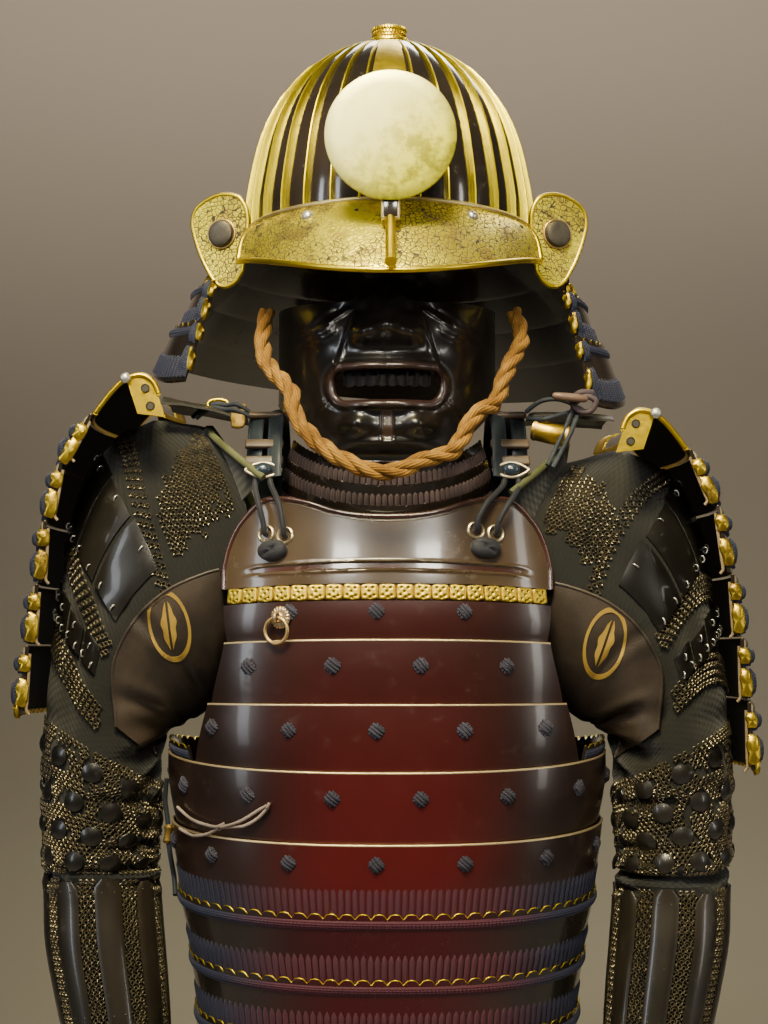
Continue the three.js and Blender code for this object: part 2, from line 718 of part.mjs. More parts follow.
function neckPoint(angle, level, out) {
  const size = valuesAt(neckLevels, 's', level);
  const turn = THREE.MathUtils.degToRad(angle);
  const depth = Math.cos(turn) > 0 ? size.front : size.back;
  const x = (size.width + out) * Math.sin(turn);
  const y = size.y - (depth + out) * Math.cos(turn);
  const forward = THREE.MathUtils.smoothstep(-Math.min(angle, 360 - angle), -neckCorner.from, -neckCorner.to);
  const corner = neckCorner.drop * forward * (Math.max(0, level - 2) / 2) ** 2;
  const hang = neckLean * (x / 200) * (level / 4) + corner;
  return new THREE.Vector3(helmetSide + x, y, size.z + out * 0.7 - hang);
}

neckLames.forEach((row, index) => {
  const angles = spacedValues(row.start, 360 - row.start, 20);
  const last = index === neckLames.length - 1;
  const levels = [
    { s: row.top, out: lameStep },
    { s: row.bottom, out: 0 },
    ...(last ? [] : [{ s: row.bottom + 0.15, out: 0 }]),
  ];
  const grid = (thick) => levels.map(({ s, out }) => angles.map(
    (angle) => neckPoint(angle, s, out + thick),
  ));
  const lame = wallBetween(grid(plateThick), grid(0), false);
  addPiece(`neck_guard_lame_${index + 1}`, lame, finish.blackLacquer);
});

// Turn-backs: ear-shaped plates beside the visor, each with a round boss
function turnBack(side) {
  const outline = new THREE.Shape();
  outline.moveTo(4, 2);
  outline.lineTo(0, 40);
  outline.quadraticCurveTo(-1, 56, 8, 64);
  outline.quadraticCurveTo(24, 72, 42, 60);
  outline.quadraticCurveTo(51, 54, 49, 40);
  outline.quadraticCurveTo(44, 16, 30, -4);
  outline.quadraticCurveTo(20, -16, 9, -6);
  outline.closePath();
  const plate = new THREE.ExtrudeGeometry(outline, { depth: 2.5, bevelEnabled: false, curveSegments: 4 });
  const boss = new THREE.CylinderGeometry(10.5, 12, 6, 16);
  boss.rotateX(Math.PI / 2);
  boss.translate(23, 34, 4.4);
  const joined = geometryOf(solidOf(plate).add(solidOf(boss)));
  joined.rotateX(Math.PI / 2);
  if (side < 0) {
    joined.scale(-1, 1, 1);
    joined.setIndex(Array.from(joined.index.array).reverse());
    joined.computeVertexNormals();
  }
  return joined;
}

for (const [name, side] of [['right', -1], ['left', 1]]) {
  const plate = addPiece(`turn_back_${name}`, turnBack(side), finish.gilt);
  plate.position.set(helmetSide + side * 116.5, -30, 115.5);
  plate.rotation.z = side * THREE.MathUtils.degToRad(18);
}

// Crest: the holder's block, post and prong on the visor, and the disc that slips over it
const crest = { x: 2.5, radius: 50.5, rim: 3, z: 196, back: -169 };
const prong = { width: 9, depth: 4, y: -160.5, bottom: 150, top: 186 };
const post = { radius: 4, topY: -161, topZ: 138, lowY: -199, lowZ: 93 };

function crestHolder() {
  const block = new THREE.BoxGeometry(15, 11.5, 19);
  block.translate(0, -161.5, 141.5);
  const blade = new THREE.BoxGeometry(prong.width, prong.depth, prong.top - prong.bottom);
  blade.translate(0, prong.y, (prong.top + prong.bottom) / 2);
  const run = new THREE.Vector3(0, post.lowY - post.topY, post.lowZ - post.topZ);
  const rod = new THREE.CylinderGeometry(post.radius, post.radius, run.length(), 12);
  rod.applyQuaternion(new THREE.Quaternion().setFromUnitVectors(
    new THREE.Vector3(0, 1, 0), run.clone().normalize(),
  ));
  rod.translate(0, (post.topY + post.lowY) / 2, (post.topZ + post.lowZ) / 2);
  return geometryOf(solidOf(block).add(solidOf(blade)).add(solidOf(rod)));
}

const holder = addPiece('crest_holder', crestHolder(), finish.gilt);
holder.position.x = crest.x;

function crestDisc() {
  const profile = [
    [0, 0], [crest.radius - 1, 0], [crest.radius, 1], [crest.radius, crest.rim - 1],
    [crest.radius - 1, crest.rim], [crest.radius * 0.6, crest.rim + 1.2], [0, crest.rim + 1.8],
  ].map(([r, h]) => new THREE.Vector2(r, h));
  const face = new THREE.LatheGeometry(profile, 36);
  face.rotateX(Math.PI);
  face.translate(0, crest.back, crest.z);
  const socket = new THREE.BoxGeometry(17, 14.5, 24);
  socket.translate(0, -162.25, 170);
  const slot = new THREE.BoxGeometry(prong.width + 1.2, prong.depth + 1.2, 40);
  slot.translate(0, prong.y, 170);
  return geometryOf(solidOf(face).add(solidOf(socket)).subtract(solidOf(slot)));
}

const disc = addPiece('crest_disc', crestDisc(), finish.gilt);
disc.position.x = crest.x;

// ---- Mask ----

const mask = { width: 92, halfAngle: 76, thick: 3.2 };
const maskLevels = [
  { z: -50, depth: 112 },
  { z: -34, depth: 120 },
  { z: 10, depth: 126 },
  { z: 50, depth: 120 },
  { z: 90, depth: 110 },
];

// Swellings of the face: where they are, how far they reach, how much they stand out
const maskForms = [
  { name: 'bridge', x: 0, z: 70, across: 9, up: 18, out: 16 },
  { name: 'nose tip', x: 0, z: 44, across: 14, up: 10, out: 30 },
  { name: 'nostril', x: 20, z: 42, across: 9, up: 8, out: 16 },
  { name: 'cheek', x: 52, z: 50, across: 16, up: 15, out: 12 },
  { name: 'upper lip', x: 16, z: 22, across: 22, up: 6, out: 8 },
  { name: 'lower lip', x: 14, z: -4, across: 22, up: 5, out: 9 },
  { name: 'chin', x: 0, z: -27, across: 22, up: 10, out: 14 },
  { name: 'jowl', x: 52, z: -2, across: 10, up: 22, out: 5 },
];

function maskSwelling(x, z) {
  return maskForms.reduce((sum, form) => {
    const away = Math.abs(x) - form.x;
    const spread = (away / form.across) ** 2 + ((z - form.z) / form.up) ** 2;
    return sum + form.out * Math.exp(-spread);
  }, 0);
}

function maskTop(x) {
  return 78 + 11 * Math.exp(-((x / 14) ** 2)) + 6 * (x / mask.width) ** 2;
}

function maskBottom(x) {
  return -48 + 58 * (Math.abs(x) / mask.width) ** 2.6;
}

// A point of the mask, a distance behind its outer face
function maskPoint(x, z, back) {
  const depth = valuesAt(maskLevels, 'z', z).depth;
  const y = -depth * Math.sqrt(1 - (x / mask.width) ** 2) - maskSwelling(x, z);
  return new THREE.Vector3(x * (1 - back / mask.width), y + back, z);
}

function maskGrid(back) {
  return spacedValues(0, 1, 14).map((share) => {
    return spacedValues(-mask.halfAngle, mask.halfAngle, 20).map((angle) => {
      const x = mask.width * Math.sin(THREE.MathUtils.degToRad(angle));
      return maskPoint(x, THREE.MathUtils.lerp(maskTop(x), maskBottom(x), share), back);
    });
  });
}

function mouthCutter() {
  const outline = new THREE.Shape();
  outline.moveTo(-41, 1);
  outline.quadraticCurveTo(-33, 18, -9, 22);
  outline.quadraticCurveTo(0, 19, 9, 22);
  outline.quadraticCurveTo(33, 18, 41, 1);
  outline.quadraticCurveTo(22, -2, 0, -1);
  outline.quadraticCurveTo(-22, -2, -41, 1);
  const cutter = new THREE.ExtrudeGeometry(outline, { depth: 130, bevelEnabled: false, curveSegments: 5 });
  cutter.rotateX(Math.PI / 2);
  cutter.translate(0, -50, 0);
  return cutter;
}

const maskSolid = solidOf(wallBetween(maskGrid(0), maskGrid(mask.thick), false));
addPiece('face_mask', geometryOf(maskSolid.subtract(solidOf(mouthCutter()))), finish.blackLacquer);

// The silvered upper teeth stand flat behind the mouth, held by the lip
const teeth = { half: 34, top: 28, edge: 9.5, back: 6.4, thick: 1.6 };

function maskTeeth() {
  const grid = (back) => [teeth.top, teeth.edge].map((z) => {
    return spacedValues(-teeth.half, teeth.half, 8).map((x) => {
      const face = maskPoint(x, teeth.edge, back);
      return new THREE.Vector3(face.x, face.y, z);
    });
  });
  return wallBetween(grid(teeth.back), grid(teeth.back + teeth.thick), false);
}

addPiece('mask_teeth', maskTeeth(), finish.silver);

// Throat guard: laced lames that hang from the mask's jaw
const throatLevels = [
  { z: -50, width: 80, front: 108 },
  { z: -66, width: 86, front: 104 },
  { z: -82, width: 90, front: 99 },
  { z: -104, width: 92, front: 95 },
];
const throatRise = 44; // the lames curve up towards the ears

function throatLame(top, bottom) {
  const angles = spacedValues(-66, 66, 12);
  const grid = (thick) => [{ z: top, out: 1.6 }, { z: bottom, out: 0 }].map(({ z, out }) => {
    const size = valuesAt(throatLevels, 'z', z);
    return angles.map((angle) => {
      const turn = THREE.MathUtils.degToRad(angle);
      const reach = out + thick;
      const x = (size.width + reach) * Math.sin(turn);
      const rise = throatRise * (1 - Math.cos(turn));
      return new THREE.Vector3(x, -(size.front + reach) * Math.cos(turn), z + rise);
    });
  });
  return wallBetween(grid(plateThick), grid(0), false);
}

[[-50.5, -65.6], [-66, -81.6], [-82, -104]].forEach(([top, bottom], index) => {
  addPiece(`throat_lame_${index + 1}`, throatLame(top, bottom), finish.purpleLacing);
});

// ---- Chin cord ----

const cordPath = new THREE.CatmullRomCurve3(cordRoute.map(({ x, y, z }) => new THREE.Vector3(x, y, z)));
const cordSection = new THREE.Shape();
for (let corner = 0; corner < 8; corner += 1) {
  const turn = (corner / 8) * 2 * Math.PI;
  const x = cordRadius * Math.cos(turn);
  const y = cordRadius * Math.sin(turn);
  if (corner === 0) {
    cordSection.moveTo(x, y);
  } else {
    cordSection.lineTo(x, y);
  }
}
cordSection.closePath();
const cordGeometry = new THREE.ExtrudeGeometry(cordSection, {
  steps: 32, bevelEnabled: false, extrudePath: cordPath,
});
addPiece('chin_cord', cordGeometry, finish.rope);

export default armour;
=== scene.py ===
import math
import random

import bmesh
import bpy
from mathutils import Matrix, Vector, noise


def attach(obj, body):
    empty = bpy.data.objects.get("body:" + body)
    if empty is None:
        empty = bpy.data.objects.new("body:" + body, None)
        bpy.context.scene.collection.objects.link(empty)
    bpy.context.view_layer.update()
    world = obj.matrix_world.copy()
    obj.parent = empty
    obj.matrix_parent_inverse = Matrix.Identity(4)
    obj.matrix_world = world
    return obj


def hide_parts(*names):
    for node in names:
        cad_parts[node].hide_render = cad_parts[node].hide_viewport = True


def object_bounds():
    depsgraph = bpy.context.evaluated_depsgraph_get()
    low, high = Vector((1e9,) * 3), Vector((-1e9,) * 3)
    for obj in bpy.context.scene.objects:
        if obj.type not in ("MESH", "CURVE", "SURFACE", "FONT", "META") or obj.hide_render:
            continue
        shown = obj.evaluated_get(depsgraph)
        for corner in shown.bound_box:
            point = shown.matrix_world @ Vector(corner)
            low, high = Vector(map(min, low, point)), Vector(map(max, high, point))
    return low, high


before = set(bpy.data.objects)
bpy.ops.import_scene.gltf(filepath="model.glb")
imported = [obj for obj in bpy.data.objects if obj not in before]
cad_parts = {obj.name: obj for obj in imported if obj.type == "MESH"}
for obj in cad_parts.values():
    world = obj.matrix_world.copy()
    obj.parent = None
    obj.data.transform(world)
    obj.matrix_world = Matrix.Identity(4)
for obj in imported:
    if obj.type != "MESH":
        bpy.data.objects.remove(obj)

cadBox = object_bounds()
mm = 0.001  # the tables below are in millimetres, as a maker measures
scene = bpy.context.scene
print("armour: frame loaded")

# camera
cameraSet = {"x": -2.5, "y": -1700, "z": -196, "tilt": 3.9, "lens": 71.72}
cameraData = bpy.data.cameras.new("frontCamera")
cameraData.sensor_width = 36
cameraData.lens = cameraSet["lens"]
camera = bpy.data.objects.new("frontCamera", cameraData)
camera.location = Vector((cameraSet["x"], cameraSet["y"], cameraSet["z"])) * mm
camera.rotation_euler = (math.radians(90 + cameraSet["tilt"]), 0, 0)
scene.collection.objects.link(camera)
scene.camera = camera


# small tools
class Flow:  # one node output that can take part in sums
    def __init__(self, finish, socket):
        self.finish = finish
        self.socket = socket

    def maths(self, kind, other=None):
        return self.finish.add("ShaderNodeMath", {"operation": kind}, {0: self, 1: other})

    def flipped(self, kind, other):
        return self.finish.add("ShaderNodeMath", {"operation": kind}, {0: other, 1: self})

    def __add__(self, other):
        return self.maths("ADD", other)

    def __sub__(self, other):
        return self.maths("SUBTRACT", other)

    def __rsub__(self, other):
        return self.flipped("SUBTRACT", other)

    def __mul__(self, other):
        return self.maths("MULTIPLY", other)

    __radd__ = __add__
    __rmul__ = __mul__

    def band(self, low, high):  # 0 below low, 1 above high, smooth between
        return self.finish.add("ShaderNodeMapRange", {"interpolation_type": "SMOOTHSTEP"},
                               {0: self, 1: low, 2: high, 3: 0.0, 4: 1.0})


class Finish:  # one material and the nodes that make it
    def __init__(self, name, roughness=0.5, metallic=0.0, **fixed):
        self.material = bpy.data.materials.new(name)
        self.material.use_nodes = True
        self.nodes = self.material.node_tree.nodes
        self.links = self.material.node_tree.links
        self.shader = self.nodes["Principled BSDF"]
        self.shader.inputs["Roughness"].default_value = roughness
        self.shader.inputs["Metallic"].default_value = metallic
        for socket, value in fixed.items():
            self.shader.inputs[socket].default_value = value
        self.kept = {}

    def add(self, kind, settings=None, values=None, output=0):
        node = self.nodes.new(kind)
        for key, value in (settings or {}).items():
            if key == "stops":
                for place, colour in value[2:]:
                    node.color_ramp.elements.new(place)
                for element, (place, colour) in zip(node.color_ramp.elements, sorted(value)):
                    element.position = place
                    element.color = (*colour, 1)
            else:
                setattr(node, key, value)
        for key, value in (values or {}).items():
            socket = node.inputs[key]
            if isinstance(value, Flow):
                self.links.new(value.socket, socket)
            elif value is not None:
                socket.default_value = value
        return Flow(self, node.outputs[output])

    def place(self, kind="Object"):
        if kind not in self.kept:
            self.kept[kind] = self.add("ShaderNodeTexCoord", output=kind)
        return self.kept[kind]

    def axis(self, which, kind="Object"):
        key = (which, kind)
        if key not in self.kept:
            self.kept[key] = self.add("ShaderNodeSeparateXYZ", None, {0: self.place(kind)}, which)
        return self.kept[key]

    def grain(self, scale, detail=3.0, rough=0.55):
        return self.add("ShaderNodeTexNoise", None, {
            "Vector": self.place(), "Scale": scale, "Detail": detail, "Roughness": rough})

    def cells(self, scale, feature="F1"):
        return self.add("ShaderNodeTexVoronoi", {"feature": feature}, {
            "Vector": self.place(), "Scale": scale, "Randomness": 1.0})

    def mix(self, share, first, second):
        node = self.nodes.new("ShaderNodeMix")
        node.data_type = "RGBA"
        for key, value in ((0, share), (6, first), (7, second)):
            if isinstance(value, Flow):
                self.links.new(value.socket, node.inputs[key])
            elif isinstance(value, (int, float)):
                node.inputs[key].default_value = value
            else:
                node.inputs[key].default_value = (*value, 1)
        return Flow(self, node.outputs[2])

    def surface(self):
        return Flow(self, self.shader.outputs["BSDF"])

    def stored(self, name):
        return self.add("ShaderNodeAttribute", {"attribute_name": name}, None, "Fac")

    def wear(self, **sockets):  # links or values for the shader's own sockets
        for name, value in sockets.items():
            socket = self.shader.inputs[name.replace("_", " ")]
            if isinstance(value, Flow):
                self.links.new(value.socket, socket)
            else:
                socket.default_value = value
        return self

    def relief(self, height, depth, strength=1.0, over=None):
        values = {"Height": height, "Distance": depth * mm, "Strength": strength}
        if over is not None:
            values["Normal"] = over
        return self.add("ShaderNodeBump", None, values)


def mixed(low, high, share):
    return low + (high - low) * share


def spread(low, high, count):
    return [mixed(low, high, i / count) for i in range(count + 1)]


def tableAt(table, place):  # a table's row of values at one place, smooth between its rows
    keys = [row[0] for row in table]
    rising = keys[-1] > keys[0]
    index = 0
    while index < len(keys) - 2 and (place > keys[index + 1]) == rising and place != keys[index + 1]:
        index += 1
    low, high = table[index], table[index + 1]
    span = high[0] - low[0]
    share = min(1, max(0, (place - low[0]) / span))
    before = table[max(0, index - 1)]
    after = table[min(len(table) - 1, index + 2)]
    values = []
    for column in range(1, len(low)):
        rise = high[column] - low[column]
        slopeLow = (high[column] - before[column]) / (high[0] - before[0]) * span if index else rise
        slopeHigh = (after[column] - low[column]) / (after[0] - low[0]) * span
        slopeHigh = rise if index == len(table) - 2 else slopeHigh
        if (slopeLow > 0) != (rise > 0):
            slopeLow = 0
        if (slopeHigh > 0) != (rise > 0):
            slopeHigh = 0
        square, cube = share ** 2, share ** 3
        values.append((2 * cube - 3 * square + 1) * low[column] + (cube - 2 * square + share) * slopeLow
                      + (3 * square - 2 * cube) * high[column] + (cube - square) * slopeHigh)
    return values


def smoothRoute(points, perSpan=6):  # a centripetal curve through the points
    ends = [points[0] * 2 - points[1], *points, points[-1] * 2 - points[-2]]
    route = []
    for index in range(1, len(ends) - 2):
        four = ends[index - 1:index + 3]
        times = [0.0]
        for a, b in zip(four, four[1:]):
            times.append(times[-1] + math.sqrt(max((b - a).length, 1e-6)))
        for step in range(perSpan):
            t = mixed(times[1], times[2], step / perSpan)
            level = four
            for depth in (1, 2, 3):
                level = [(level[i] * (times[i + depth] - t) + level[i + 1] * (t - times[i]))
                         / (times[i + depth] - times[i]) for i in range(len(level) - 1)]
            route.append(level[0])
    route.append(points[-1].copy())
    return route


def meshFrom(name, points, faces, uvs=None):  # points in millimetres
    mesh = bpy.data.meshes.new(name)
    mesh.from_pydata([tuple(p * mm) for p in points], [], faces)
    if uvs:
        layer = mesh.uv_layers.new(name="UVMap")
        for polygon in mesh.polygons:
            for loop, uv in zip(polygon.loop_indices, uvs[polygon.index]):
                layer.data[loop].uv = uv
    mesh.validate()
    return mesh


def smoothed(mesh, angle=38):
    mesh.polygons.foreach_set("use_smooth", [True] * len(mesh.polygons))
    mesh.set_sharp_from_angle(angle=math.radians(angle))
    return mesh


def addObject(name, mesh, *finishes):
    piece = bpy.data.objects.new(name, mesh)
    scene.collection.objects.link(piece)
    for finish in finishes:
        mesh.materials.append(finish.material)
    return piece


def settle(piece, nodes=(), body="armour"):  # the last calls on every piece
    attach(piece, body)
    if nodes:
        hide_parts(*nodes)
    return piece


def wallMesh(name, outer, inner, ring=False, angle=38, size=(1.0, 1.0), insideIndex=0):
    # a wall between two grids of points, rows by columns; its UVs are in metres of size
    rows, columns = len(outer), len(outer[0])
    spans = columns if ring else columns - 1
    points = [p for row in outer for p in row] + [p for row in inner for p in row]
    faces, uvs, slots = [], [], []

    def at(side, row, column):
        return (side * rows + row) * columns + column % columns

    def quad(corners, places, index):
        faces.append(corners)
        uvs.append([(u * size[0], v * size[1]) for u, v in places])
        slots.append(index)

    for row in range(rows - 1):
        for column in range(spans):
            u0, u1 = column / spans, (column + 1) / spans
            v0, v1 = row / (rows - 1), (row + 1) / (rows - 1)
            quad((at(0, row, column), at(0, row + 1, column), at(0, row + 1, column + 1),
                  at(0, row, column + 1)),
                 ((u0, v0), (u0, v1), (u1, v1), (u1, v0)), 0)
            quad((at(1, row, column), at(1, row, column + 1), at(1, row + 1, column + 1),
                  at(1, row + 1, column)),
                 ((u0, v0), (u1, v0), (u1, v1), (u0, v1)), insideIndex)
    for column in range(spans):
        u0, u1 = column / spans, (column + 1) / spans
        quad((at(0, 0, column), at(0, 0, column + 1), at(1, 0, column + 1), at(1, 0, column)),
             ((u0, 0), (u1, 0), (u1, 0), (u0, 0)), 0)
        last = rows - 1
        quad((at(0, last, column + 1), at(0, last, column), at(1, last, column), at(1, last, column + 1)),
             ((u1, 1), (u0, 1), (u0, 1), (u1, 1)), 0)
    if not ring:
        for row in range(rows - 1):
            v0, v1 = row / (rows - 1), (row + 1) / (rows - 1)
            quad((at(0, row + 1, 0), at(0, row, 0), at(1, row, 0), at(1, row + 1, 0)),
                 ((0, v1), (0, v0), (0, v0), (0, v1)), 0)
            end = columns - 1
            quad((at(0, row, end), at(0, row + 1, end), at(1, row + 1, end), at(1, row, end)),
                 ((1, v0), (1, v1), (1, v1), (1, v0)), 0)
    volume = sum(points[f[0]].dot(points[f[1]].cross(points[f[2]]))
                 + points[f[0]].dot(points[f[2]].cross(points[f[3]])) for f in faces)
    if volume < 0:
        faces = [tuple(reversed(f)) for f in faces]
        uvs = [list(reversed(u)) for u in uvs]
    mesh = meshFrom(name, points, faces, uvs)
    mesh.polygons.foreach_set("material_index", slots)
    return smoothed(mesh, angle)


def tubeMesh(name, routes, radius, sides=8, angle=60):  # closed tubes along routes
    points, faces, uvs = [], [], []
    for route in routes:
        start = len(points)
        side = None
        length = 0.0
        marks = []
        for index, point in enumerate(route):
            ahead = route[min(index + 1, len(route) - 1)] - route[max(index - 1, 0)]
            ahead.normalize()
            if index:
                length += (point - route[index - 1]).length
            if side is None:
                side = ahead.orthogonal().normalized()
            side = (side - ahead * side.dot(ahead)).normalized()
            other = ahead.cross(side)
            marks.append(length)
            size = radius(index / (len(route) - 1)) if callable(radius) else radius
            for corner in range(sides):
                turn = 2 * math.pi * corner / sides
                points.append(point + side * (size * math.cos(turn)) + other * (size * math.sin(turn)))
        for index in range(len(route) - 1):
            for corner in range(sides):
                a = start + index * sides + corner
                b = start + index * sides + (corner + 1) % sides
                faces.append((a, b, b + sides, a + sides))
                u0, u1 = corner / sides, (corner + 1) / sides
                uvs.append([(u0, marks[index] * mm), (u1, marks[index] * mm),
                            (u1, marks[index + 1] * mm), (u0, marks[index + 1] * mm)])
        faces.append(tuple(start + corner for corner in reversed(range(sides))))
        uvs.append([(0, 0)] * sides)
        end = start + (len(route) - 1) * sides
        faces.append(tuple(end + corner for corner in range(sides)))
        uvs.append([(0, 0)] * sides)
    return smoothed(meshFrom(name, points, faces, uvs), angle)


def latheMesh(name, profile, sides=48, angle=38):  # closed round the local Z axis
    points, faces, uvs = [], [], []
    for corner in range(sides):
        turn = 2 * math.pi * corner / sides
        points += [Vector((r * math.cos(turn), r * math.sin(turn), z)) for r, z in profile]
    count = len(profile)
    for corner in range(sides):
        ahead = (corner + 1) % sides
        for index in range(count):
            following = (index + 1) % count
            if profile[index][0] == 0 and profile[following][0] == 0:
                continue
            faces.append((corner * count + index, ahead * count + index,
                          ahead * count + following, corner * count + following))
            uvs.append([(corner / sides, index / count), ((corner + 1) / sides, index / count),
                        ((corner + 1) / sides, (index + 1) / count), (corner / sides, (index + 1) / count)])
    mesh = meshFrom(name, points, faces, uvs)
    bm = bmeshOf(mesh)
    bmesh.ops.remove_doubles(bm, verts=bm.verts, dist=1e-6)
    bmesh.ops.dissolve_degenerate(bm, edges=bm.edges, dist=1e-7)
    bmesh.ops.recalc_face_normals(bm, faces=bm.faces)
    bm.to_mesh(mesh)
    bm.free()
    return smoothed(mesh, angle)


def bmeshOf(mesh):
    bm = bmesh.new()
    bm.from_mesh(mesh)
    return bm


def placed(mesh, matrix):  # matrix in millimetres
    scaled = matrix.copy()
    scaled.translation = scaled.translation * mm
    mesh.transform(scaled)
    return mesh


def stand(place, out, up):  # a matrix with Z out of the surface and Y upwards
    z = out.normalized()
    x = up.cross(z).normalized()
    y = z.cross(x)
    matrix = Matrix((x, y, z)).transposed().to_4x4()
    matrix.translation = place
    return matrix


# repeating pieces: two Geometry Nodes trees
def treeSockets(tree, *names):
    for name, kind in (("Geometry", "Geometry"), *names):
        tree.interface.new_socket(name, in_out="INPUT", socket_type="NodeSocket" + kind)
    tree.interface.new_socket("Geometry", in_out="OUTPUT", socket_type="NodeSocketGeometry")
    return tree.nodes.new("NodeGroupInput"), tree.nodes.new("NodeGroupOutput")


def treeNode(tree, kind, values=None, **settings):
    node = tree.nodes.new(kind)
    for key, value in settings.items():
        setattr(node, key, value)
    for key, value in (values or {}).items():
        if isinstance(value, bpy.types.NodeSocket):
            tree.links.new(value, node.inputs[key])
        else:
            node.inputs[key].default_value = value
    return node


def makePlacingTree():  # one piece on every point, turned by the point's own directions
    tree = bpy.data.node_groups.new("placeOnPoints", "GeometryNodeTree")
    given, result = treeSockets(tree, ("Piece", "Object"), ("Wobble", "Float"), ("Seed", "Int"),
                                ("Finish", "Material"))
    read = {}
    for name in ("out", "up", "size"):
        read[name] = treeNode(tree, "GeometryNodeInputNamedAttribute", {"Name": name},
                              data_type="FLOAT_VECTOR")
    toOut = treeNode(tree, "FunctionNodeAlignRotationToVector", {"Vector": read["out"].outputs[0]}, axis="Z")
    toUp = treeNode(tree, "FunctionNodeAlignRotationToVector",
                    {"Rotation": toOut.outputs[0], "Vector": read["up"].outputs[0]}, axis="Y", pivot_axis="Z")
    less = treeNode(tree, "ShaderNodeMath", {0: given.outputs["Wobble"], 1: -1.0}, operation="MULTIPLY")
    turn = treeNode(tree, "FunctionNodeRandomValue", {2: less.outputs[0], 3: given.outputs["Wobble"],
                                                     "Seed": given.outputs["Seed"]}, data_type="FLOAT")
    about = treeNode(tree, "ShaderNodeCombineXYZ", {2: turn.outputs[1]})
    wobbled = treeNode(tree, "FunctionNodeRotateRotation", {0: toUp.outputs[0], 1: about.outputs[0]},
                       rotation_space="LOCAL")
    piece = treeNode(tree, "GeometryNodeObjectInfo", {"Object": given.outputs["Piece"]})
    put = treeNode(tree, "GeometryNodeInstanceOnPoints",
                   {"Points": given.outputs["Geometry"], "Instance": piece.outputs["Geometry"],
                    "Rotation": wobbled.outputs[0], "Scale": read["size"].outputs[0]})
    shade = treeNode(tree, "FunctionNodeRandomValue", {2: 0.0, 3: 1.0, "Seed": given.outputs["Seed"]},
                     data_type="FLOAT")
    noted = treeNode(tree, "GeometryNodeStoreNamedAttribute",
                     {"Geometry": put.outputs[0], "Name": "shade", "Value": shade.outputs[1]},
                     data_type="FLOAT", domain="INSTANCE")
    real = treeNode(tree, "GeometryNodeRealizeInstances", {0: noted.outputs[0]})
    painted = treeNode(tree, "GeometryNodeSetMaterial",
                       {0: real.outputs[0], "Material": given.outputs["Finish"]})
    tree.links.new(painted.outputs[0], result.inputs[0])
    return tree


def makeSweepTree():  # a round section along every route
    tree = bpy.data.node_groups.new("sweepRoutes", "GeometryNodeTree")
    given, result = treeSockets(tree, ("Radius", "Float"), ("Sides", "Int"), ("Finish", "Material"))
    route = treeNode(tree, "GeometryNodeMeshToCurve", {0: given.outputs["Geometry"]})
    section = treeNode(tree, "GeometryNodeCurvePrimitiveCircle",
                       {"Resolution": given.outputs["Sides"], "Radius": given.outputs["Radius"]},
                       mode="RADIUS")
    swept = treeNode(tree, "GeometryNodeCurveToMesh", {"Curve": route.outputs[0],
                                                      "Profile Curve": section.outputs[0], "Fill Caps": True})
    soft = treeNode(tree, "GeometryNodeSetShadeSmooth", {0: swept.outputs[0]})
    real = treeNode(tree, "GeometryNodeRealizeInstances", {0: soft.outputs[0]})
    painted = treeNode(tree, "GeometryNodeSetMaterial",
                       {0: real.outputs[0], "Material": given.outputs["Finish"]})
    tree.links.new(painted.outputs[0], result.inputs[0])
    return tree


placingTree = makePlacingTree()
sweepTree = makeSweepTree()


def grown(name, mesh, tree, values):  # the tree's result on this mesh, as a plain piece
    piece = bpy.data.objects.new(name, mesh)
    scene.collection.objects.link(piece)
    modifier = piece.modifiers.new("grow", "NODES")
    modifier.node_group = tree
    sockets = {item.name: item.identifier for item in tree.interface.items_tree if item.in_out == "INPUT"}
    for key, value in values.items():
        modifier[sockets[key]] = value
    ready = piece.evaluated_get(bpy.context.evaluated_depsgraph_get())
    result = bpy.data.meshes.new_from_object(ready)
    piece.modifiers.clear()
    piece.data = result
    result.name = name
    return piece


def placeMany(name, places, pieceMesh, finish, wobble=0.0, seed=1):  # places: point, out, up, size
    mesh = bpy.data.meshes.new(name + "Points")
    mesh.from_pydata([tuple(place[0] * mm) for place in places], [], [])
    for column, key in ((1, "out"), (2, "up"), (3, "size")):
        values = mesh.attributes.new(key, "FLOAT_VECTOR", "POINT")
        values.data.foreach_set("vector", [value for place in places for value in place[column]])
    model = bpy.data.objects.new(name + "Model", pieceMesh)
    piece = grown(name, mesh, placingTree,
                  {"Piece": model, "Wobble": wobble, "Seed": seed, "Finish": finish.material})
    bpy.data.objects.remove(model)
    return piece


def sweepMany(name, routes, radius, finish, sides=8):
    mesh = bpy.data.meshes.new(name + "Routes")
    points = [tuple(p * mm) for route in routes for p in route]
    edges, start = [], 0
    for route in routes:
        edges += [(start + i, start + i + 1) for i in range(len(route) - 1)]
        start += len(route)
    mesh.from_pydata(points, edges, [])
    return grown(name, mesh, sweepTree, {"Radius": radius * mm, "Sides": sides, "Finish": finish.material})


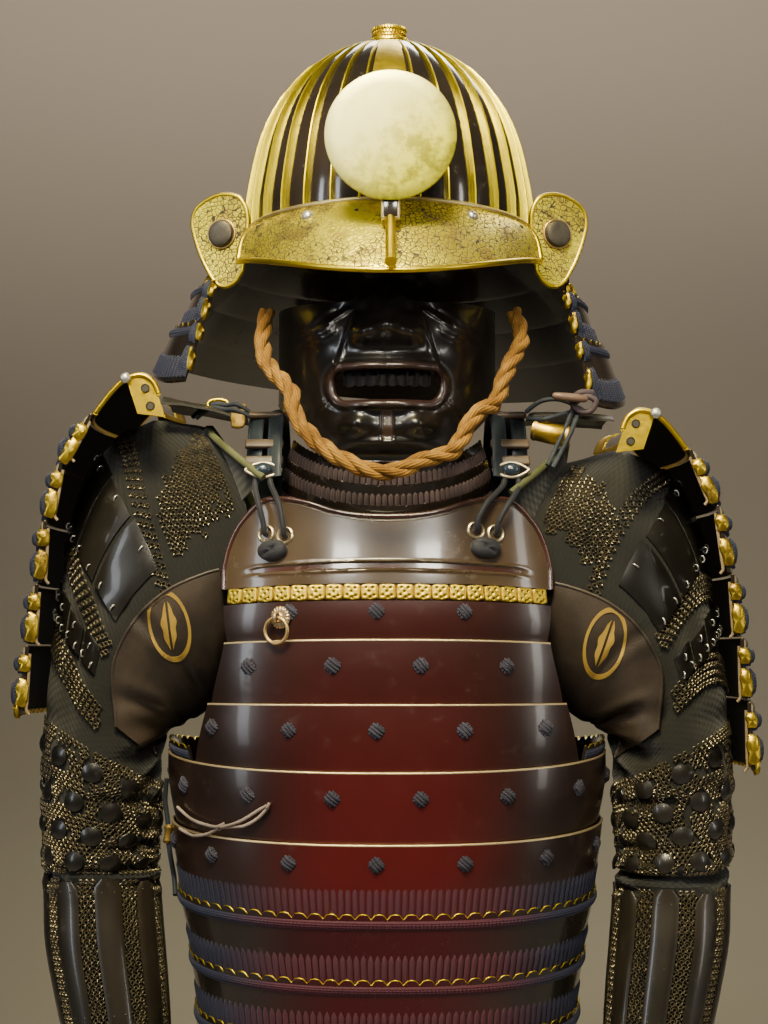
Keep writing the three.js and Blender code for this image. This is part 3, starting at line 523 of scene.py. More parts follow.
# finishes
def lacquer(name, dark, light, rough, coat=0.6, dust=0.35, spots=0.0, painted=(), glow=None):
    finish = Finish(name, roughness=rough)
    finish.wear(Coat_Roughness=0.08, IOR=1.5)
    cloud = finish.grain(9.0, 4.0)
    worn = finish.grain(60.0, 5.0, 0.7).band(0.56, 0.78)
    tone = finish.mix(cloud.band(0.35, 0.7), dark, light)
    tone = finish.mix(worn * dust, tone, tuple(min(1, c * 2.2 + 0.02) for c in light))
    if spots:
        chips = finish.cells(140.0).band(0.16, 0.05) * finish.grain(14.0).band(0.52, 0.66)
        tone = finish.mix(chips * spots, tone, (0.30, 0.22, 0.12))
    for attribute, colour in painted:
        tone = finish.mix(finish.stored(attribute), tone, colour)
    if glow:  # painted reflection: redder towards the middle and the foot of the cuirass, a red reflection painted into the lacquer
        middle = 1 - finish.axis(0).maths("ABSOLUTE").band(0.03, 0.125)
        low = 1 - finish.axis(2).band(-0.40, -0.17) * 0.75
        tone = finish.mix(middle * low * (0.75 + cloud.band(0.3, 0.7) * 0.25), tone, glow)
    ripple = finish.grain(26.0, 2.0)
    finish.wear(Base_Color=tone, Roughness=rough + worn * 0.22 + cloud * 0.06, Coat_Weight=coat - worn * 0.3)
    finish.wear(Normal=finish.relief(ripple + finish.grain(420.0, 2.0) * 0.05, 0.5, 0.35))
    return finish


def gilding(name, gold, shade, rough, patch=0.5, dark=(0.05, 0.035, 0.02), wearShare=0.25, metal=0.9,
            pits=""):
    finish = Finish(name, roughness=rough, metallic=metal)
    cloud = finish.grain(22.0, 5.0, 0.62)
    fine = finish.grain(240.0, 4.0, 0.65)
    rubbed = (cloud * 0.6 + fine * 0.4).band(0.55, 0.66) * wearShare
    tone = finish.mix(cloud.band(0.35, 0.68) * patch, gold, shade)
    tone = finish.mix(rubbed, tone, dark)
    # painted shade: the stored pits darken the dents of the gilding almost to black
    if pits:
        tone = finish.mix(finish.stored(pits), tone, (0.012, 0.008, 0.005))
    finish.wear(Base_Color=tone, Roughness=rough + fine * 0.18 + rubbed * 0.3, Metallic=metal - rubbed * 0.5)
    finish.wear(Normal=finish.relief(fine + cloud * 0.6, 0.35, 0.5))
    return finish


def netGilding(name, scale, net, cloudShare):  # gold leaf over leather with a fine dark net
    finish = Finish(name, roughness=0.34, metallic=0.75)
    cloud = finish.grain(16.0, 5.0, 0.6)
    drift = finish.grain(34.0, 3.0)
    where = finish.add("ShaderNodeVectorMath", {"operation": "ADD"},
                       {0: finish.place(), 1: finish.add("ShaderNodeVectorMath", {"operation": "SCALE"}, {
                           0: finish.add("ShaderNodeTexNoise", None,
                                         {"Vector": finish.place(), "Scale": 40.0},
                                         1), 3: 0.006})})
    crack = finish.add("ShaderNodeTexVoronoi", {"feature": "DISTANCE_TO_EDGE"},
                       {"Vector": where, "Scale": scale, "Randomness": 1.0})
    line = 1 - crack.band(0.03, 0.12)
    swirl = finish.add("ShaderNodeTexWave", {"wave_type": "RINGS", "rings_direction": "SPHERICAL"},
                       {"Vector": where, "Scale": 17.0, "Distortion": 7.0, "Detail": 2.0,
                        "Detail Scale": 1.6})
    vine = swirl.band(0.80, 0.93) * drift.band(0.45, 0.6)
    dark = line * net * cloud.band(0.33, 0.50)
    tone = finish.mix(cloud.band(0.4, 0.7), (0.88, 0.76, 0.035), (0.56, 0.44, 0.025))
    tone = finish.mix(finish.grain(52.0, 4.0).band(0.54, 0.66) * cloudShare, tone, (0.34, 0.20, 0.06))
    tone = finish.mix(vine * 0.55, tone, (0.20, 0.12, 0.05))
    tone = finish.mix(dark, tone, (0.03, 0.022, 0.015))
    finish.wear(Base_Color=tone, Metallic=0.75 - dark * 0.6, Roughness=0.3 + dark * 0.35 + drift * 0.12)
    finish.wear(Normal=finish.relief(crack.band(0.0, 0.16), 0.22, 0.7))
    return finish


def discLeaf(name):  # pale worn gold leaf, greener and thinner towards the lower left side of the wearer; the run from pale to deeper yellow across the disc is also a painted falloff of the light from above on the wearer's right
    finish = Finish(name, roughness=0.36, metallic=0.75)
    cloud, fleck = finish.grain(30.0, 5.0, 0.65), finish.grain(95.0, 4.0, 0.7)
    corner = (finish.axis(0) * 8.0 - (finish.axis(2) - 0.196) * 9.0 + 0.25).band(-0.15, 0.75)
    thin = (cloud * 0.6 + fleck * 0.4).band(0.44, 0.60) * corner
    # painted light: paler where the lamp's glow falls, deeper yellow away from it; the same run also limits
    # where the leaf is worn thin
    tone = finish.mix(corner, (0.82, 0.76, 0.30), (0.56, 0.52, 0.02))
    tone = finish.mix(thin * 0.9, tone, (0.20, 0.19, 0.003))
    tone = finish.mix(cloud.band(0.60, 0.74) * 0.4, tone, (0.62, 0.50, 0.16))
    finish.wear(Base_Color=tone, Roughness=0.34 + fleck * 0.16 + thin * 0.15)
    finish.wear(Normal=finish.relief(fleck + cloud * 0.8, 0.3, 0.5))
    return finish


def silk(name, base, bright, scale=1.0, faded=0.35, glow=None):
    # flat braid: chevrons from the piece's own UVs
    finish = Finish(name, roughness=0.72)
    finish.wear(Sheen_Weight=0.12, Sheen_Roughness=0.45, Specular_IOR_Level=0.3)
    across = finish.axis(0, "UV")
    along = finish.axis(1, "UV")
    lean = (across - 0.5).maths("ABSOLUTE")
    chevron = ((along * (520.0 * scale) + lean * 2.6).maths("FRACT") - 0.5).maths("ABSOLUTE") * 2
    shade = finish.stored("shade")
    fade = finish.grain(24.0, 4.0).band(0.45, 0.72) * faded
    tone = finish.mix(chevron.band(0.15, 0.9) * 0.55, base, bright)
    tone = finish.mix(fade, tone, tuple(min(1, c * 1.7 + 0.02) for c in bright))
    tone = finish.mix(shade * 0.3, tone, base)
    # painted reflection: a red cast over the middle of the lacing, standing in for a red reflection
    if glow:
        middle = 1 - finish.axis(0).maths("ABSOLUTE").band(0.07, 0.14)
        tone = finish.mix(middle * 0.8, tone, glow)
    finish.wear(Base_Color=tone, Roughness=0.62 + fade * 0.3)
    finish.wear(Normal=finish.relief(chevron + finish.grain(900.0, 2.0) * 0.3, 0.5, 0.8))
    return finish


def cloth(name, base, bright):  # plain weave
    finish, threads = Finish(name, roughness=0.9), 900.0
    finish.wear(Sheen_Weight=0.25, Sheen_Roughness=0.6, Specular_IOR_Level=0.2)
    warp = (finish.axis(0, "UV") * threads).maths("SINE")
    weft = (finish.axis(1, "UV") * threads).maths("SINE")
    weave = warp * weft
    fade = finish.grain(12.0, 5.0, 0.6).band(0.4, 0.72)
    tone = finish.mix(fade, base, bright)
    tone = finish.mix(weave.band(-0.5, 1.0) * 0.35, tone, tuple(c * 0.5 for c in base))
    finish.wear(Base_Color=tone)
    finish.wear(Normal=finish.relief(weave + finish.grain(300.0, 3.0), 0.3, 0.6))
    return finish


def hide(name, base, bright, rough, scale=1.0, shine=1.0):  # leather with a fine grain
    finish = Finish(name, roughness=rough)
    finish.wear(Specular_IOR_Level=0.4 * shine, Coat_Roughness=0.3)
    fold = finish.grain(14.0 * scale, 5.0, 0.6)
    pore = finish.cells(620.0 * scale, "DISTANCE_TO_EDGE")
    tone = finish.mix(fold.band(0.35, 0.7), base, bright)
    tone = finish.mix(finish.grain(90.0, 4.0).band(0.58, 0.75) * 0.4, tone, tuple(c * 0.4 for c in base))
    finish.wear(Base_Color=tone, Roughness=rough + fold * 0.12, Coat_Weight=(0.12 + fold * 0.05) * shine)
    finish.wear(Normal=finish.relief(pore.band(0.0, 0.25) * 0.4 + fold, 0.4, 0.5))
    return finish


def metal(name, bright, dull, rough, share=0.5):
    finish = Finish(name, roughness=rough, metallic=0.9)
    stain = finish.grain(70.0, 5.0, 0.65).band(0.42, 0.7)
    tone = finish.mix(stain * share, bright, dull)
    tone = finish.mix(finish.stored("shade") * 0.35, tone, dull)
    finish.wear(Base_Color=tone, Roughness=rough + stain * 0.25, Metallic=0.92 - stain * 0.3)
    finish.wear(Normal=finish.relief(finish.grain(500.0, 3.0), 0.1, 0.5))
    return finish


def ropeYarn(name):
    finish = Finish(name, roughness=0.85)
    finish.wear(Sheen_Weight=0.06, Sheen_Roughness=0.5, Specular_IOR_Level=0.15)
    across = finish.axis(0, "UV")
    along = finish.axis(1, "UV")
    yarn = ((across * 9.0 + along * 150.0).maths("FRACT") - 0.5).maths("ABSOLUTE") * 2
    fade = finish.grain(55.0, 4.0).band(0.35, 0.7)
    tone = finish.mix(fade, (0.19, 0.085, 0.012), (0.42, 0.215, 0.036))
    tone = finish.mix((1 - yarn.band(0.1, 0.55)) * 0.55, tone, (0.11, 0.055, 0.016))
    finish.wear(Base_Color=tone)
    finish.wear(Normal=finish.relief(yarn + finish.grain(800.0, 2.0) * 0.5, 0.5, 0.9))
    return finish


look = {
    "blackLacquer": lacquer("blackLacquer", (0.012, 0.009, 0.007), (0.030, 0.021, 0.016), 0.16, 0.8),
    "maskLacquer": lacquer("maskLacquer", (0.005, 0.004, 0.0035), (0.014, 0.010, 0.008), 0.27, 0.35, 0.10,
                           painted=(("lip", (0.026, 0.013, 0.011)), ("stain", (0.035, 0.020, 0.012)))),
    "bronzeLacquer": lacquer("bronzeLacquer", (0.040, 0.025, 0.014), (0.076, 0.050, 0.029), 0.20, 0.6, 0.12),
    # the last red colour given to the chestnut and waist lacquers is a painted reflection, not their own
    # colour
    "chestnutLacquer": lacquer("chestnutLacquer", (0.014, 0.007, 0.005), (0.024, 0.011, 0.009), 0.26, 0.35,
                               0.10,
                               glow=(0.105, 0.007, 0.008)),
    "waistLacquer": lacquer("waistLacquer", (0.010, 0.008, 0.007), (0.022, 0.016, 0.013), 0.22, 0.5, 0.2,
                            glow=(0.060, 0.006, 0.009)),
    "rimLacquer": lacquer("rimLacquer", (0.030, 0.012, 0.009), (0.058, 0.020, 0.014), 0.2, 0.8),
    "splintLacquer": lacquer("splintLacquer", (0.012, 0.010, 0.007), (0.034, 0.026, 0.018), 0.34, 0.3, 0.4,
                             0.4),
    "gilt": gilding("gilt", (0.86, 0.64, 0.02), (0.54, 0.38, 0.015), 0.28, metal=1.0),
    "discGilt": discLeaf("discGilt"),
    "ribGilt": gilding("ribGilt", (0.90, 0.74, 0.008), (0.58, 0.44, 0.006), 0.27, 0.5, (0.06, 0.04, 0.02),
                       0.15, 1.0),
    "headGilt": gilding("headGilt", (0.76, 0.54, 0.05), (0.36, 0.23, 0.03), 0.30, 0.9,
                        (0.016, 0.010, 0.006), 0.95,
                        1.0),
    "toothMetal": metal("toothMetal", (0.012, 0.010, 0.009), (0.006, 0.005, 0.005), 0.42, 1.0),
    "knotCord": silk("knotCord", (0.026, 0.024, 0.040), (0.075, 0.070, 0.105), 1.6, 0.4),
    "liningHide": hide("liningHide", (0.004, 0.004, 0.0035), (0.009, 0.0085, 0.007), 0.9, 1.0, 0.3),
    "paleGilt": gilding("paleGilt", (0.82, 0.68, 0.34), (0.50, 0.38, 0.16), 0.3, 0.6, (0.08, 0.05, 0.03),
                        0.3),
    "patchGilt": gilding("patchGilt", (0.24, 0.15, 0.03), (0.06, 0.04, 0.015), 0.5, 0.9,
                         (0.05, 0.035, 0.02), 0.8, 0.7),
    "guardGilt": gilding("guardGilt", (0.90, 0.62, 0.02), (0.56, 0.36, 0.015), 0.22, 0.6,
                         (0.12, 0.07, 0.02), 0.5, 1.0),
    "rollGilt": gilding("rollGilt", (0.70, 0.46, 0.04), (0.44, 0.26, 0.02), 0.3, 0.5, (0.12, 0.06, 0.02),
                        0.3, 1.0),
    "bandGilt": gilding("bandGilt", (0.42, 0.36, 0.24), (0.20, 0.165, 0.105), 0.46, 0.9, (0.05, 0.04, 0.03),
                        0.6, 0.5),
    "lensMetal": metal("lensMetal", (0.62, 0.52, 0.34), (0.26, 0.20, 0.13), 0.28),
    "roseBrass": metal("roseBrass", (0.56, 0.42, 0.26), (0.28, 0.19, 0.11), 0.36),
    "ballLacquer": lacquer("ballLacquer", (0.020, 0.030, 0.045), (0.040, 0.055, 0.075), 0.2, 0.7, 0.1),
    "dustyCord": silk("dustyCord", (0.010, 0.010, 0.015), (0.028, 0.028, 0.038), 1.1, 0.3),
    "darkCord": silk("darkCord", (0.012, 0.016, 0.026), (0.035, 0.045, 0.060), 1.6),
    "flapHide": hide("flapHide", (0.010, 0.009, 0.006), (0.028, 0.023, 0.016), 0.5),
    "claspHide": hide("claspHide", (0.055, 0.034, 0.022), (0.11, 0.072, 0.045), 0.4),
    "toggleHide": hide("toggleHide", (0.085, 0.045, 0.038), (0.22, 0.140, 0.095), 0.3),
    "badgeGilt": gilding("badgeGilt", (0.62, 0.40, 0.07), (0.40, 0.25, 0.05), 0.5, 0.8, (0.06, 0.04, 0.02),
                         0.6, 0.5),
    "plateLacquer": lacquer("plateLacquer", (0.007, 0.006, 0.005), (0.018, 0.015, 0.012), 0.34, 0.3, 0.4),
    "scaleGilt": gilding("scaleGilt", (0.78, 0.56, 0.05), (0.48, 0.32, 0.03), 0.36, 0.7, (0.08, 0.05, 0.02),
                         0.6,
                         1.0, "pit"),
    "edgeGilt": gilding("edgeGilt", (0.78, 0.62, 0.36), (0.50, 0.36, 0.18), 0.34, 0.5, (0.15, 0.09, 0.05),
                        0.2),
    "visorGilt": netGilding("visorGilt", 230.0, 1.0, 0.5),
    "turnGilt": netGilding("turnGilt", 250.0, 1.0, 0.5),
    "brass": metal("brass", (0.62, 0.42, 0.17), (0.26, 0.16, 0.08), 0.34),
    "darkIron": metal("darkIron", (0.10, 0.09, 0.075), (0.035, 0.028, 0.022), 0.42),
    "mail": metal("mail", (0.28, 0.235, 0.15), (0.045, 0.036, 0.024), 0.38, 1.0),
    "silver": metal("silver", (0.78, 0.77, 0.72), (0.40, 0.38, 0.34), 0.26, 0.4),
    "blueSilk": silk("blueSilk", (0.010, 0.012, 0.032), (0.028, 0.033, 0.078), 1.0, 0.2),
    # the last red colour given to the waist silk is a painted reflection, not its own colour
    "waistSilk": silk("waistSilk", (0.010, 0.012, 0.032), (0.028, 0.033, 0.078), 1.0, 0.2,
                      glow=(0.085, 0.010, 0.022)),
    "blueCord": silk("blueCord", (0.012, 0.016, 0.044), (0.036, 0.046, 0.110), 1.6, 0.2),
    "plumSilk": silk("plumSilk", (0.030, 0.017, 0.019), (0.075, 0.045, 0.048), 1.0, 0.5),
    "toggleSilk": silk("toggleSilk", (0.045, 0.030, 0.036), (0.095, 0.070, 0.080), 1.4),
    "paleCord": silk("paleCord", (0.20, 0.15, 0.13), (0.36, 0.29, 0.25), 2.0),
    "strapHide": hide("strapHide", (0.006, 0.011, 0.016), (0.016, 0.026, 0.033), 0.5),
    "facingHide": hide("facingHide", (0.026, 0.019, 0.014), (0.064, 0.046, 0.034), 0.42),
    "tanHide": hide("tanHide", (0.22, 0.155, 0.085), (0.36, 0.265, 0.150), 0.55),
    "oliveSilk": silk("oliveSilk", (0.050, 0.056, 0.018), (0.135, 0.140, 0.055), 1.2),
    "sleeveCloth": cloth("sleeveCloth", (0.004, 0.004, 0.003), (0.012, 0.011, 0.007)),
    "rope": ropeYarn("rope"),
}
print("armour: finishes made")


# chin cord
ropeSet = {"strands": 3, "strandRadius": 3.6, "turnRadius": 3.4, "twist": 58.0, "sides": 10}
ropeRoute = [(-97, -64, 78), (-100, -76, 52), (-97, -86, 36), (-88, -101, 22), (-75, -116, 6),
             (-72, -121, -11),
             (-61, -131, -28), (-46, -140, -42), (-29, -145, -52), (-10, -147, -59), (9, -147, -58),
             (29, -144, -49), (50, -139, -43), (60, -131, -27), (70, -124, -11), (84, -111, -3),
             (91, -103, 16),
             (100, -90, 36), (108, -76, 53), (103, -62, 78)]


def makeChinCord():
    centre = smoothRoute([Vector(p) for p in ropeRoute], 9)
    strands, length, side = [[] for _ in range(ropeSet["strands"])], 0.0, None
    for index, point in enumerate(centre):
        ahead = (centre[min(index + 1, len(centre) - 1)] - centre[max(index - 1, 0)]).normalized()
        if index:
            length += (point - centre[index - 1]).length
        side = side or ahead.orthogonal().normalized()
        side = (side - ahead * side.dot(ahead)).normalized()
        other = ahead.cross(side)
        slack = 1 + 0.10 * noise.noise(Vector((length * 0.03, 0.5, 2.0)))
        for strand, route in enumerate(strands):
            turn = 2 * math.pi * (strand / ropeSet["strands"] + length / ropeSet["twist"])
            route.append(point + (side * math.cos(turn)
                                  + other * math.sin(turn)) * ropeSet["turnRadius"] * slack)
    def thick(share):
        return ropeSet["strandRadius"] * (1 + 0.06 * math.sin(share * 95) * math.sin(share * 37))
    mesh = tubeMesh("chinCord", strands, thick, ropeSet["sides"], 70)
    rope = addObject("chinCord", mesh, look["rope"])
    hairs, draw = [], random.Random(11)
    for _ in range(520):  # loose fibres
        index = draw.randrange(6, len(centre) - 6)
        strand = strands[draw.randrange(3)]
        out = (strand[index] - centre[index]).normalized()
        ahead = (strand[index + 1] - strand[index - 1]).normalized()
        spot = strand[index] + out * (ropeSet["strandRadius"] * 0.9)
        lean = ahead * draw.uniform(-3.5, 3.5) + out * draw.uniform(0.3, 1.1)
        hairs.append([spot, spot + lean * 0.6, spot + lean + ahead * 0.6])
    fibres = sweepMany("chinCordFibres", hairs, 0.09, look["rope"], 3)
    settle(fibres)
    settle(rope, ["chin_cord"])
    [tuple(p * mm) for p in centre]


makeChinCord()
print("armour: chin cord made")


# helmet
bowlSet = {"sideways": 2, "back": 5, "front": 1.08, "rear": 1.15, "ribs": 32, "ribHeight": 4.4,
           "ribThick": 1.7,
           "sizes": [(150, 119), (172, 118.5), (200, 114), (228, 107.5), (254, 97), (278, 81), (296, 62),
                     (310, 40), (317.5, 18)]}


def bowlPoint(angle, z, out):
    turn = math.radians(angle)
    half = tableAt(bowlSet["sizes"], z)[0] + out
    depth = bowlSet["front"] if math.cos(turn) > 0 else bowlSet["rear"]
    return Vector((bowlSet["sideways"] + half * math.sin(turn),
                   bowlSet["back"] - half * depth * math.cos(turn), z))


def makeBowl():
    columns, heights = 128, [150, 151, 154, *spread(162, 300, 15), 307, 313, 317.5]
    def row(z, out):
        points = []
        for column in range(columns):
            angle = 360 * column / columns
            hollow = math.sin(math.radians(angle * 16)) ** 2
            points.append(bowlPoint(angle, z, out + (0.9 * hollow if out > -1 else 0)))
        return points
    outer = [row(z, 0) for z in heights]
    inner = [row(z - 3 * (z - 150) / 170, -3) for z in heights]
    bowl = addObject("helmetBowl", wallMesh("helmetBowl", outer, inner, True, 50, insideIndex=1),
                     look["blackLacquer"], look["rimLacquer"])
    settle(bowl, ["helmet_bowl"])


def makeRibs():  # one standing rib, turned round the crown and pressed to the bowl's oval
    tree = bpy.data.node_groups.new("ribRound", "GeometryNodeTree")
    given, result = treeSockets(tree, ("Count", "Int"), ("Front", "Float"), ("Rear", "Float"),
                                ("Finish", "Material"))
    line = treeNode(tree, "GeometryNodeMeshLine", {"Count": given.outputs["Count"]}, mode="OFFSET")
    line.inputs["Offset"].default_value = (0, 0, 0)
    index = treeNode(tree, "GeometryNodeInputIndex")
    step = treeNode(tree, "ShaderNodeMath", {0: index.outputs[0], 1: math.radians(360 / bowlSet["ribs"])},
                    operation="MULTIPLY")
    first = treeNode(tree, "ShaderNodeMath", {0: step.outputs[0], 1: math.radians(360 / bowlSet["ribs"])},
                     operation="ADD")
    turn = treeNode(tree, "ShaderNodeCombineXYZ", {2: first.outputs[0]})
    put = treeNode(tree, "GeometryNodeInstanceOnPoints",
                   {"Points": line.outputs[0], "Instance": given.outputs["Geometry"],
                    "Rotation": turn.outputs[0]})
    real = treeNode(tree, "GeometryNodeRealizeInstances", {0: put.outputs[0]})
    place = treeNode(tree, "GeometryNodeInputPosition")
    parts = treeNode(tree, "ShaderNodeSeparateXYZ", {0: place.outputs[0]})
    ahead = treeNode(tree, "ShaderNodeMath", {0: parts.outputs[1], 1: 0.0}, operation="LESS_THAN")
    share = treeNode(tree, "ShaderNodeMix", {0: ahead.outputs[0], 2: given.outputs["Rear"],
                                            3: given.outputs["Front"]})
    deep = treeNode(tree, "ShaderNodeMath", {0: parts.outputs[1], 1: share.outputs[0],
                                            2: bowlSet["back"] * mm}, operation="MULTIPLY_ADD")
    wide = treeNode(tree, "ShaderNodeMath", {0: parts.outputs[0], 1: bowlSet["sideways"] * mm},
                    operation="ADD")
    oval = treeNode(tree, "ShaderNodeCombineXYZ",
                    {0: wide.outputs[0], 1: deep.outputs[0], 2: parts.outputs[2]})
    moved = treeNode(tree, "GeometryNodeSetPosition", {0: real.outputs[0], "Position": oval.outputs[0]})
    painted = treeNode(tree, "GeometryNodeSetMaterial",
                       {0: moved.outputs[0], "Material": given.outputs["Finish"]})
    tree.links.new(painted.outputs[0], result.inputs[0])
    heights = [150.5, *spread(158, 300, 13), 307, 313.5]
    section = [(-0.5, -0.6), (-0.5, 0.72), (-0.36, 0.93), (0, 1), (0.36, 0.93), (0.5, 0.72), (0.5, -0.6)]
    rows = []
    for z in heights:
        half = tableAt(bowlSet["sizes"], z)[0]
        tall = bowlSet["ribHeight"] * (1 if z < 290 else max(0.35, 1 - (z - 290) / 36))
        rows.append([Vector((side * bowlSet["ribThick"] * (0.7 + half / 300), -(half + up * tall), z))
                     for side, up in section])
    points = [p for row in rows for p in row]
    faces, count = [], len(section)
    for row in range(len(rows) - 1):
        for corner in range(count):
            a, b = row * count + corner, row * count + (corner + 1) % count
            faces.append((a, b, b + count, a + count))
    faces.append(tuple(reversed(range(count))))
    faces.append(tuple(len(points) - count + i for i in range(count)))
    mesh = smoothed(meshFrom("helmetRib", points, faces), 45)
    ribs = grown("helmetRibs", mesh, tree, {"Count": bowlSet["ribs"] - 1, "Front": bowlSet["front"],
                                            "Rear": bowlSet["rear"], "Finish": look["ribGilt"].material})
    settle(ribs)


def makeFrontPlates():  # gilt plates up the middle of the front and the back
    for name, middle, reach in (("helmetFrontPlate", 0, 8.6), ("helmetBackPlate", 180, 8.6)):
        heights = spread(172, 309, 20)
        angles = spread(middle - reach, middle + reach, 10)
        def rows(out):
            return [[bowlPoint(a, z, out + 1.1 - 0.7 * ((a - middle) / reach) ** 2) for a in angles]
                    for z in heights]
        plate = addObject(name, wallMesh(name, rows(1.2), rows(-0.6)), look["gilt"])
        settle(plate)


def makeCrown():
    fit = {"hole": 9, "base": 17, "rim": 14.5, "x": bowlSet["sideways"], "y": bowlSet["back"]}
    profile = [(fit["hole"], 318.6), (fit["base"] - 0.8, 318.6), (fit["base"], 319.6), (16.4, 321.6),
               (15.2, 322.2), (15.6, 323.6), (fit["rim"] - 1.2, 324.6), (13.0, 326.4), (13.2, 328.4),
               (fit["rim"] - 0.7, 329.4), (fit["rim"] - 0.5, 331.8), (13.0, 332.5), (10.2, 332.5),
               (fit["hole"], 331.6)]
    ring = latheMesh("crownRing", profile, 64)
    placed(ring, Matrix.Translation((fit["x"], fit["y"], 0)))
    settle(addObject("crownRing", ring, look["gilt"]), ["helmet_top_ring"])
    petal = latheMesh("crownPetal", [(0, -0.9), (1.0, -0.7), (1.35, 0), (1.0, 0.8), (0, 1.1)], 8)
    places = []
    for row, (radius, z, count) in enumerate(((14.1, 330.9, 34), (13.6, 327.4, 30), (15.9, 321.0, 36))):
        for index in range(count):
            turn = 2 * math.pi * (index + 0.5 * row) / count
            out = Vector((math.sin(turn), -math.cos(turn), 0.25))
            spot = Vector((fit["x"] + radius * math.sin(turn), fit["y"] - radius * math.cos(turn), z))
            places.append((spot, out, Vector((0, 0, 1)), (1, 1.5, 0.8)))
    settle(placeMany("crownPetals", places, petal, look["gilt"], 0.1))


visorSet = {"halfAngle": 70, "top": 157, "topDrop": 5, "low": 90, "lowEnds": 120, "reach": 190, "width": 131,
            "rim": 120.4, "thick": 2.4}


def visorPoint(angle, share, lift):
    sine, cosine = math.sin(math.radians(angle)), math.cos(math.radians(angle))
    side, back = bowlSet["sideways"], bowlSet["back"]
    high = Vector((side + visorSet["rim"] * sine, back - (visorSet["rim"] * bowlSet["front"] + 1) * cosine,
                   visorSet["top"] - visorSet["topDrop"] * sine ** 2))
    low = Vector((side + visorSet["width"] * sine, back - visorSet["reach"] * cosine,
                  mixed(visorSet["low"], visorSet["lowEnds"], (sine / 0.94) ** 2)))
    arch = math.sin(share * math.pi) * 5
    return high.lerp(low, share) + Vector((sine * arch * 0.4, -cosine * arch * 0.4, arch * 0.9 + lift))


def makeVisor():
    reach = visorSet["halfAngle"]
    angles = spread(-reach, reach, 60)
    shares = spread(0, 1, 13)
    outer = [[visorPoint(a, s, 0) for a in angles] for s in shares]
    inner = [[visorPoint(a, s, -visorSet["thick"]) for a in angles] for s in shares]
    mesh = wallMesh("visor", outer, inner, insideIndex=1, size=(0.3, 0.07))
    settle(addObject("visor", mesh, look["visorGilt"], look["blackLacquer"]), ["helmet_visor"])
    lower = [visorPoint(a, 1, -0.6) for a in angles]
    ends = [[visorPoint(side * reach, s, -0.8) for s in shares] for side in (-1, 1)]
    edge = ends[0][:-1] + lower + list(reversed(ends[1][:-1]))
    settle(sweepMany("visorRim", [edge], 2.3, look["gilt"], 12))
    upper = [visorPoint(a, 0.03, 1.2) for a in angles]
    settle(sweepMany("visorTopRim", [upper], 2.0, look["paleGilt"], 10))
    dome = latheMesh("domeRivet", [(0, -1.5), (4.6, -1.5), (5.0, -0.6), (4.9, 0.9), (3.9, 2.7), (2.2, 3.9),
                                   (0, 4.4)], 20)
    small = latheMesh("smallRivet", [(0, -1), (2.0, -1), (2.0, 0.5), (1.2, 1.2), (0, 1.5)], 14)
    def on(angle, share, size):
        spot = visorPoint(angle, share, 0)
        right = visorPoint(angle + 1, share, 0) - spot
        down = visorPoint(angle, share + 0.02, 0) - spot
        out = right.cross(down)
        out = out if out.y < 0 else -out
        return (spot, out, -down, (size, size, size))
    settle(placeMany("visorRivets", [on(-31, 0.27, 1), on(31, 0.27, 1)], dome, look["silver"]))
    settle(placeMany("visorPins", [on(-58, 0.3, 1), on(58, 0.3, 1), on(-12, 0.22, 0.8), on(12, 0.22, 0.8)],
                     small, look["darkIron"]))


def quadratic(start, bend, end):
    steps = 8
    return [start.lerp(bend, i / steps).lerp(bend.lerp(end, i / steps), i / steps)
            for i in range(1, steps + 1)]


def makeTurnBacks():
    corner = [Vector(p) for p in ((4, 2, 0), (0, 40, 0))]
    outline = [corner[0], corner[1]]
    for bend, end in (((-1, 56), (8, 64)), ((24, 72), (42, 60)), ((51, 54), (49, 40)), ((44, 16), (30, -4)),
                      ((20, -16), (9, -6))):
        outline += quadratic(outline[-1], Vector((*bend, 0)), Vector((*end, 0)))
    for name, side in (("Right", -1), ("Left", 1)):
        centre = sum(outline, Vector()) / len(outline)
        def shaped(point, y):
            bow = ((point - centre).length / 40) ** 2 * 2.2  # dished a little towards the front
            flat = Vector((side * point.x, y - bow, point.y))
            turn = Matrix.Rotation(side * math.radians(18), 3, "Z")
            return turn @ flat + Vector((bowlSet["sideways"] + side * 116.5, -30, 115.5))
        rings = [centre.lerp(p, 1) for p in outline]
        rows = []
        for share in (0.02, 0.25, 0.5, 0.75, 0.9, 1.0):
            rows.append([centre.lerp(p, share) for p in rings])
        front = [[shaped(p, -2.5) for p in row] for row in rows]
        back = [[shaped(p, 0) for p in row] for row in rows]
        mesh = wallMesh("turnBack" + name, front, back, True, insideIndex=1)
        settle(addObject("turnBack" + name, mesh, look["turnGilt"], look["blackLacquer"]),
               ["turn_back_" + name.lower()])
        edge = [shaped(p, -1.3) for p in rings]
        settle(sweepMany("turnBackRim" + name, [edge + edge[:1]], 1.9, look["gilt"], 10))
        profile = [(0, 0), (12, 0), (12.2, 1.4), (11.2, 2.6), (10.9, 3.6), (10.2, 5.0), (8.0, 5.8), (4, 6.0),
                   (0, 6.0)]
        boss = latheMesh("turnBackBoss" + name, profile, 36)
        spot = shaped(Vector((23, 34, 0)), -2.3)
        out = Matrix.Rotation(side * math.radians(18), 3, "Z") @ Vector((0, -1, 0))
        placed(boss, stand(spot, out, Vector((0, 0, 1))))
        settle(addObject("turnBackBoss" + name, boss, look["darkIron"]))
        ring = [spot + out * 1.4 + Matrix.Rotation(turn, 3, out) @ Vector((0, 0, 12.0))
                for turn in spread(0, 2 * math.pi, 32)]
        settle(sweepMany("turnBackBossRing" + name, [ring], 0.9, look["brass"], 8))


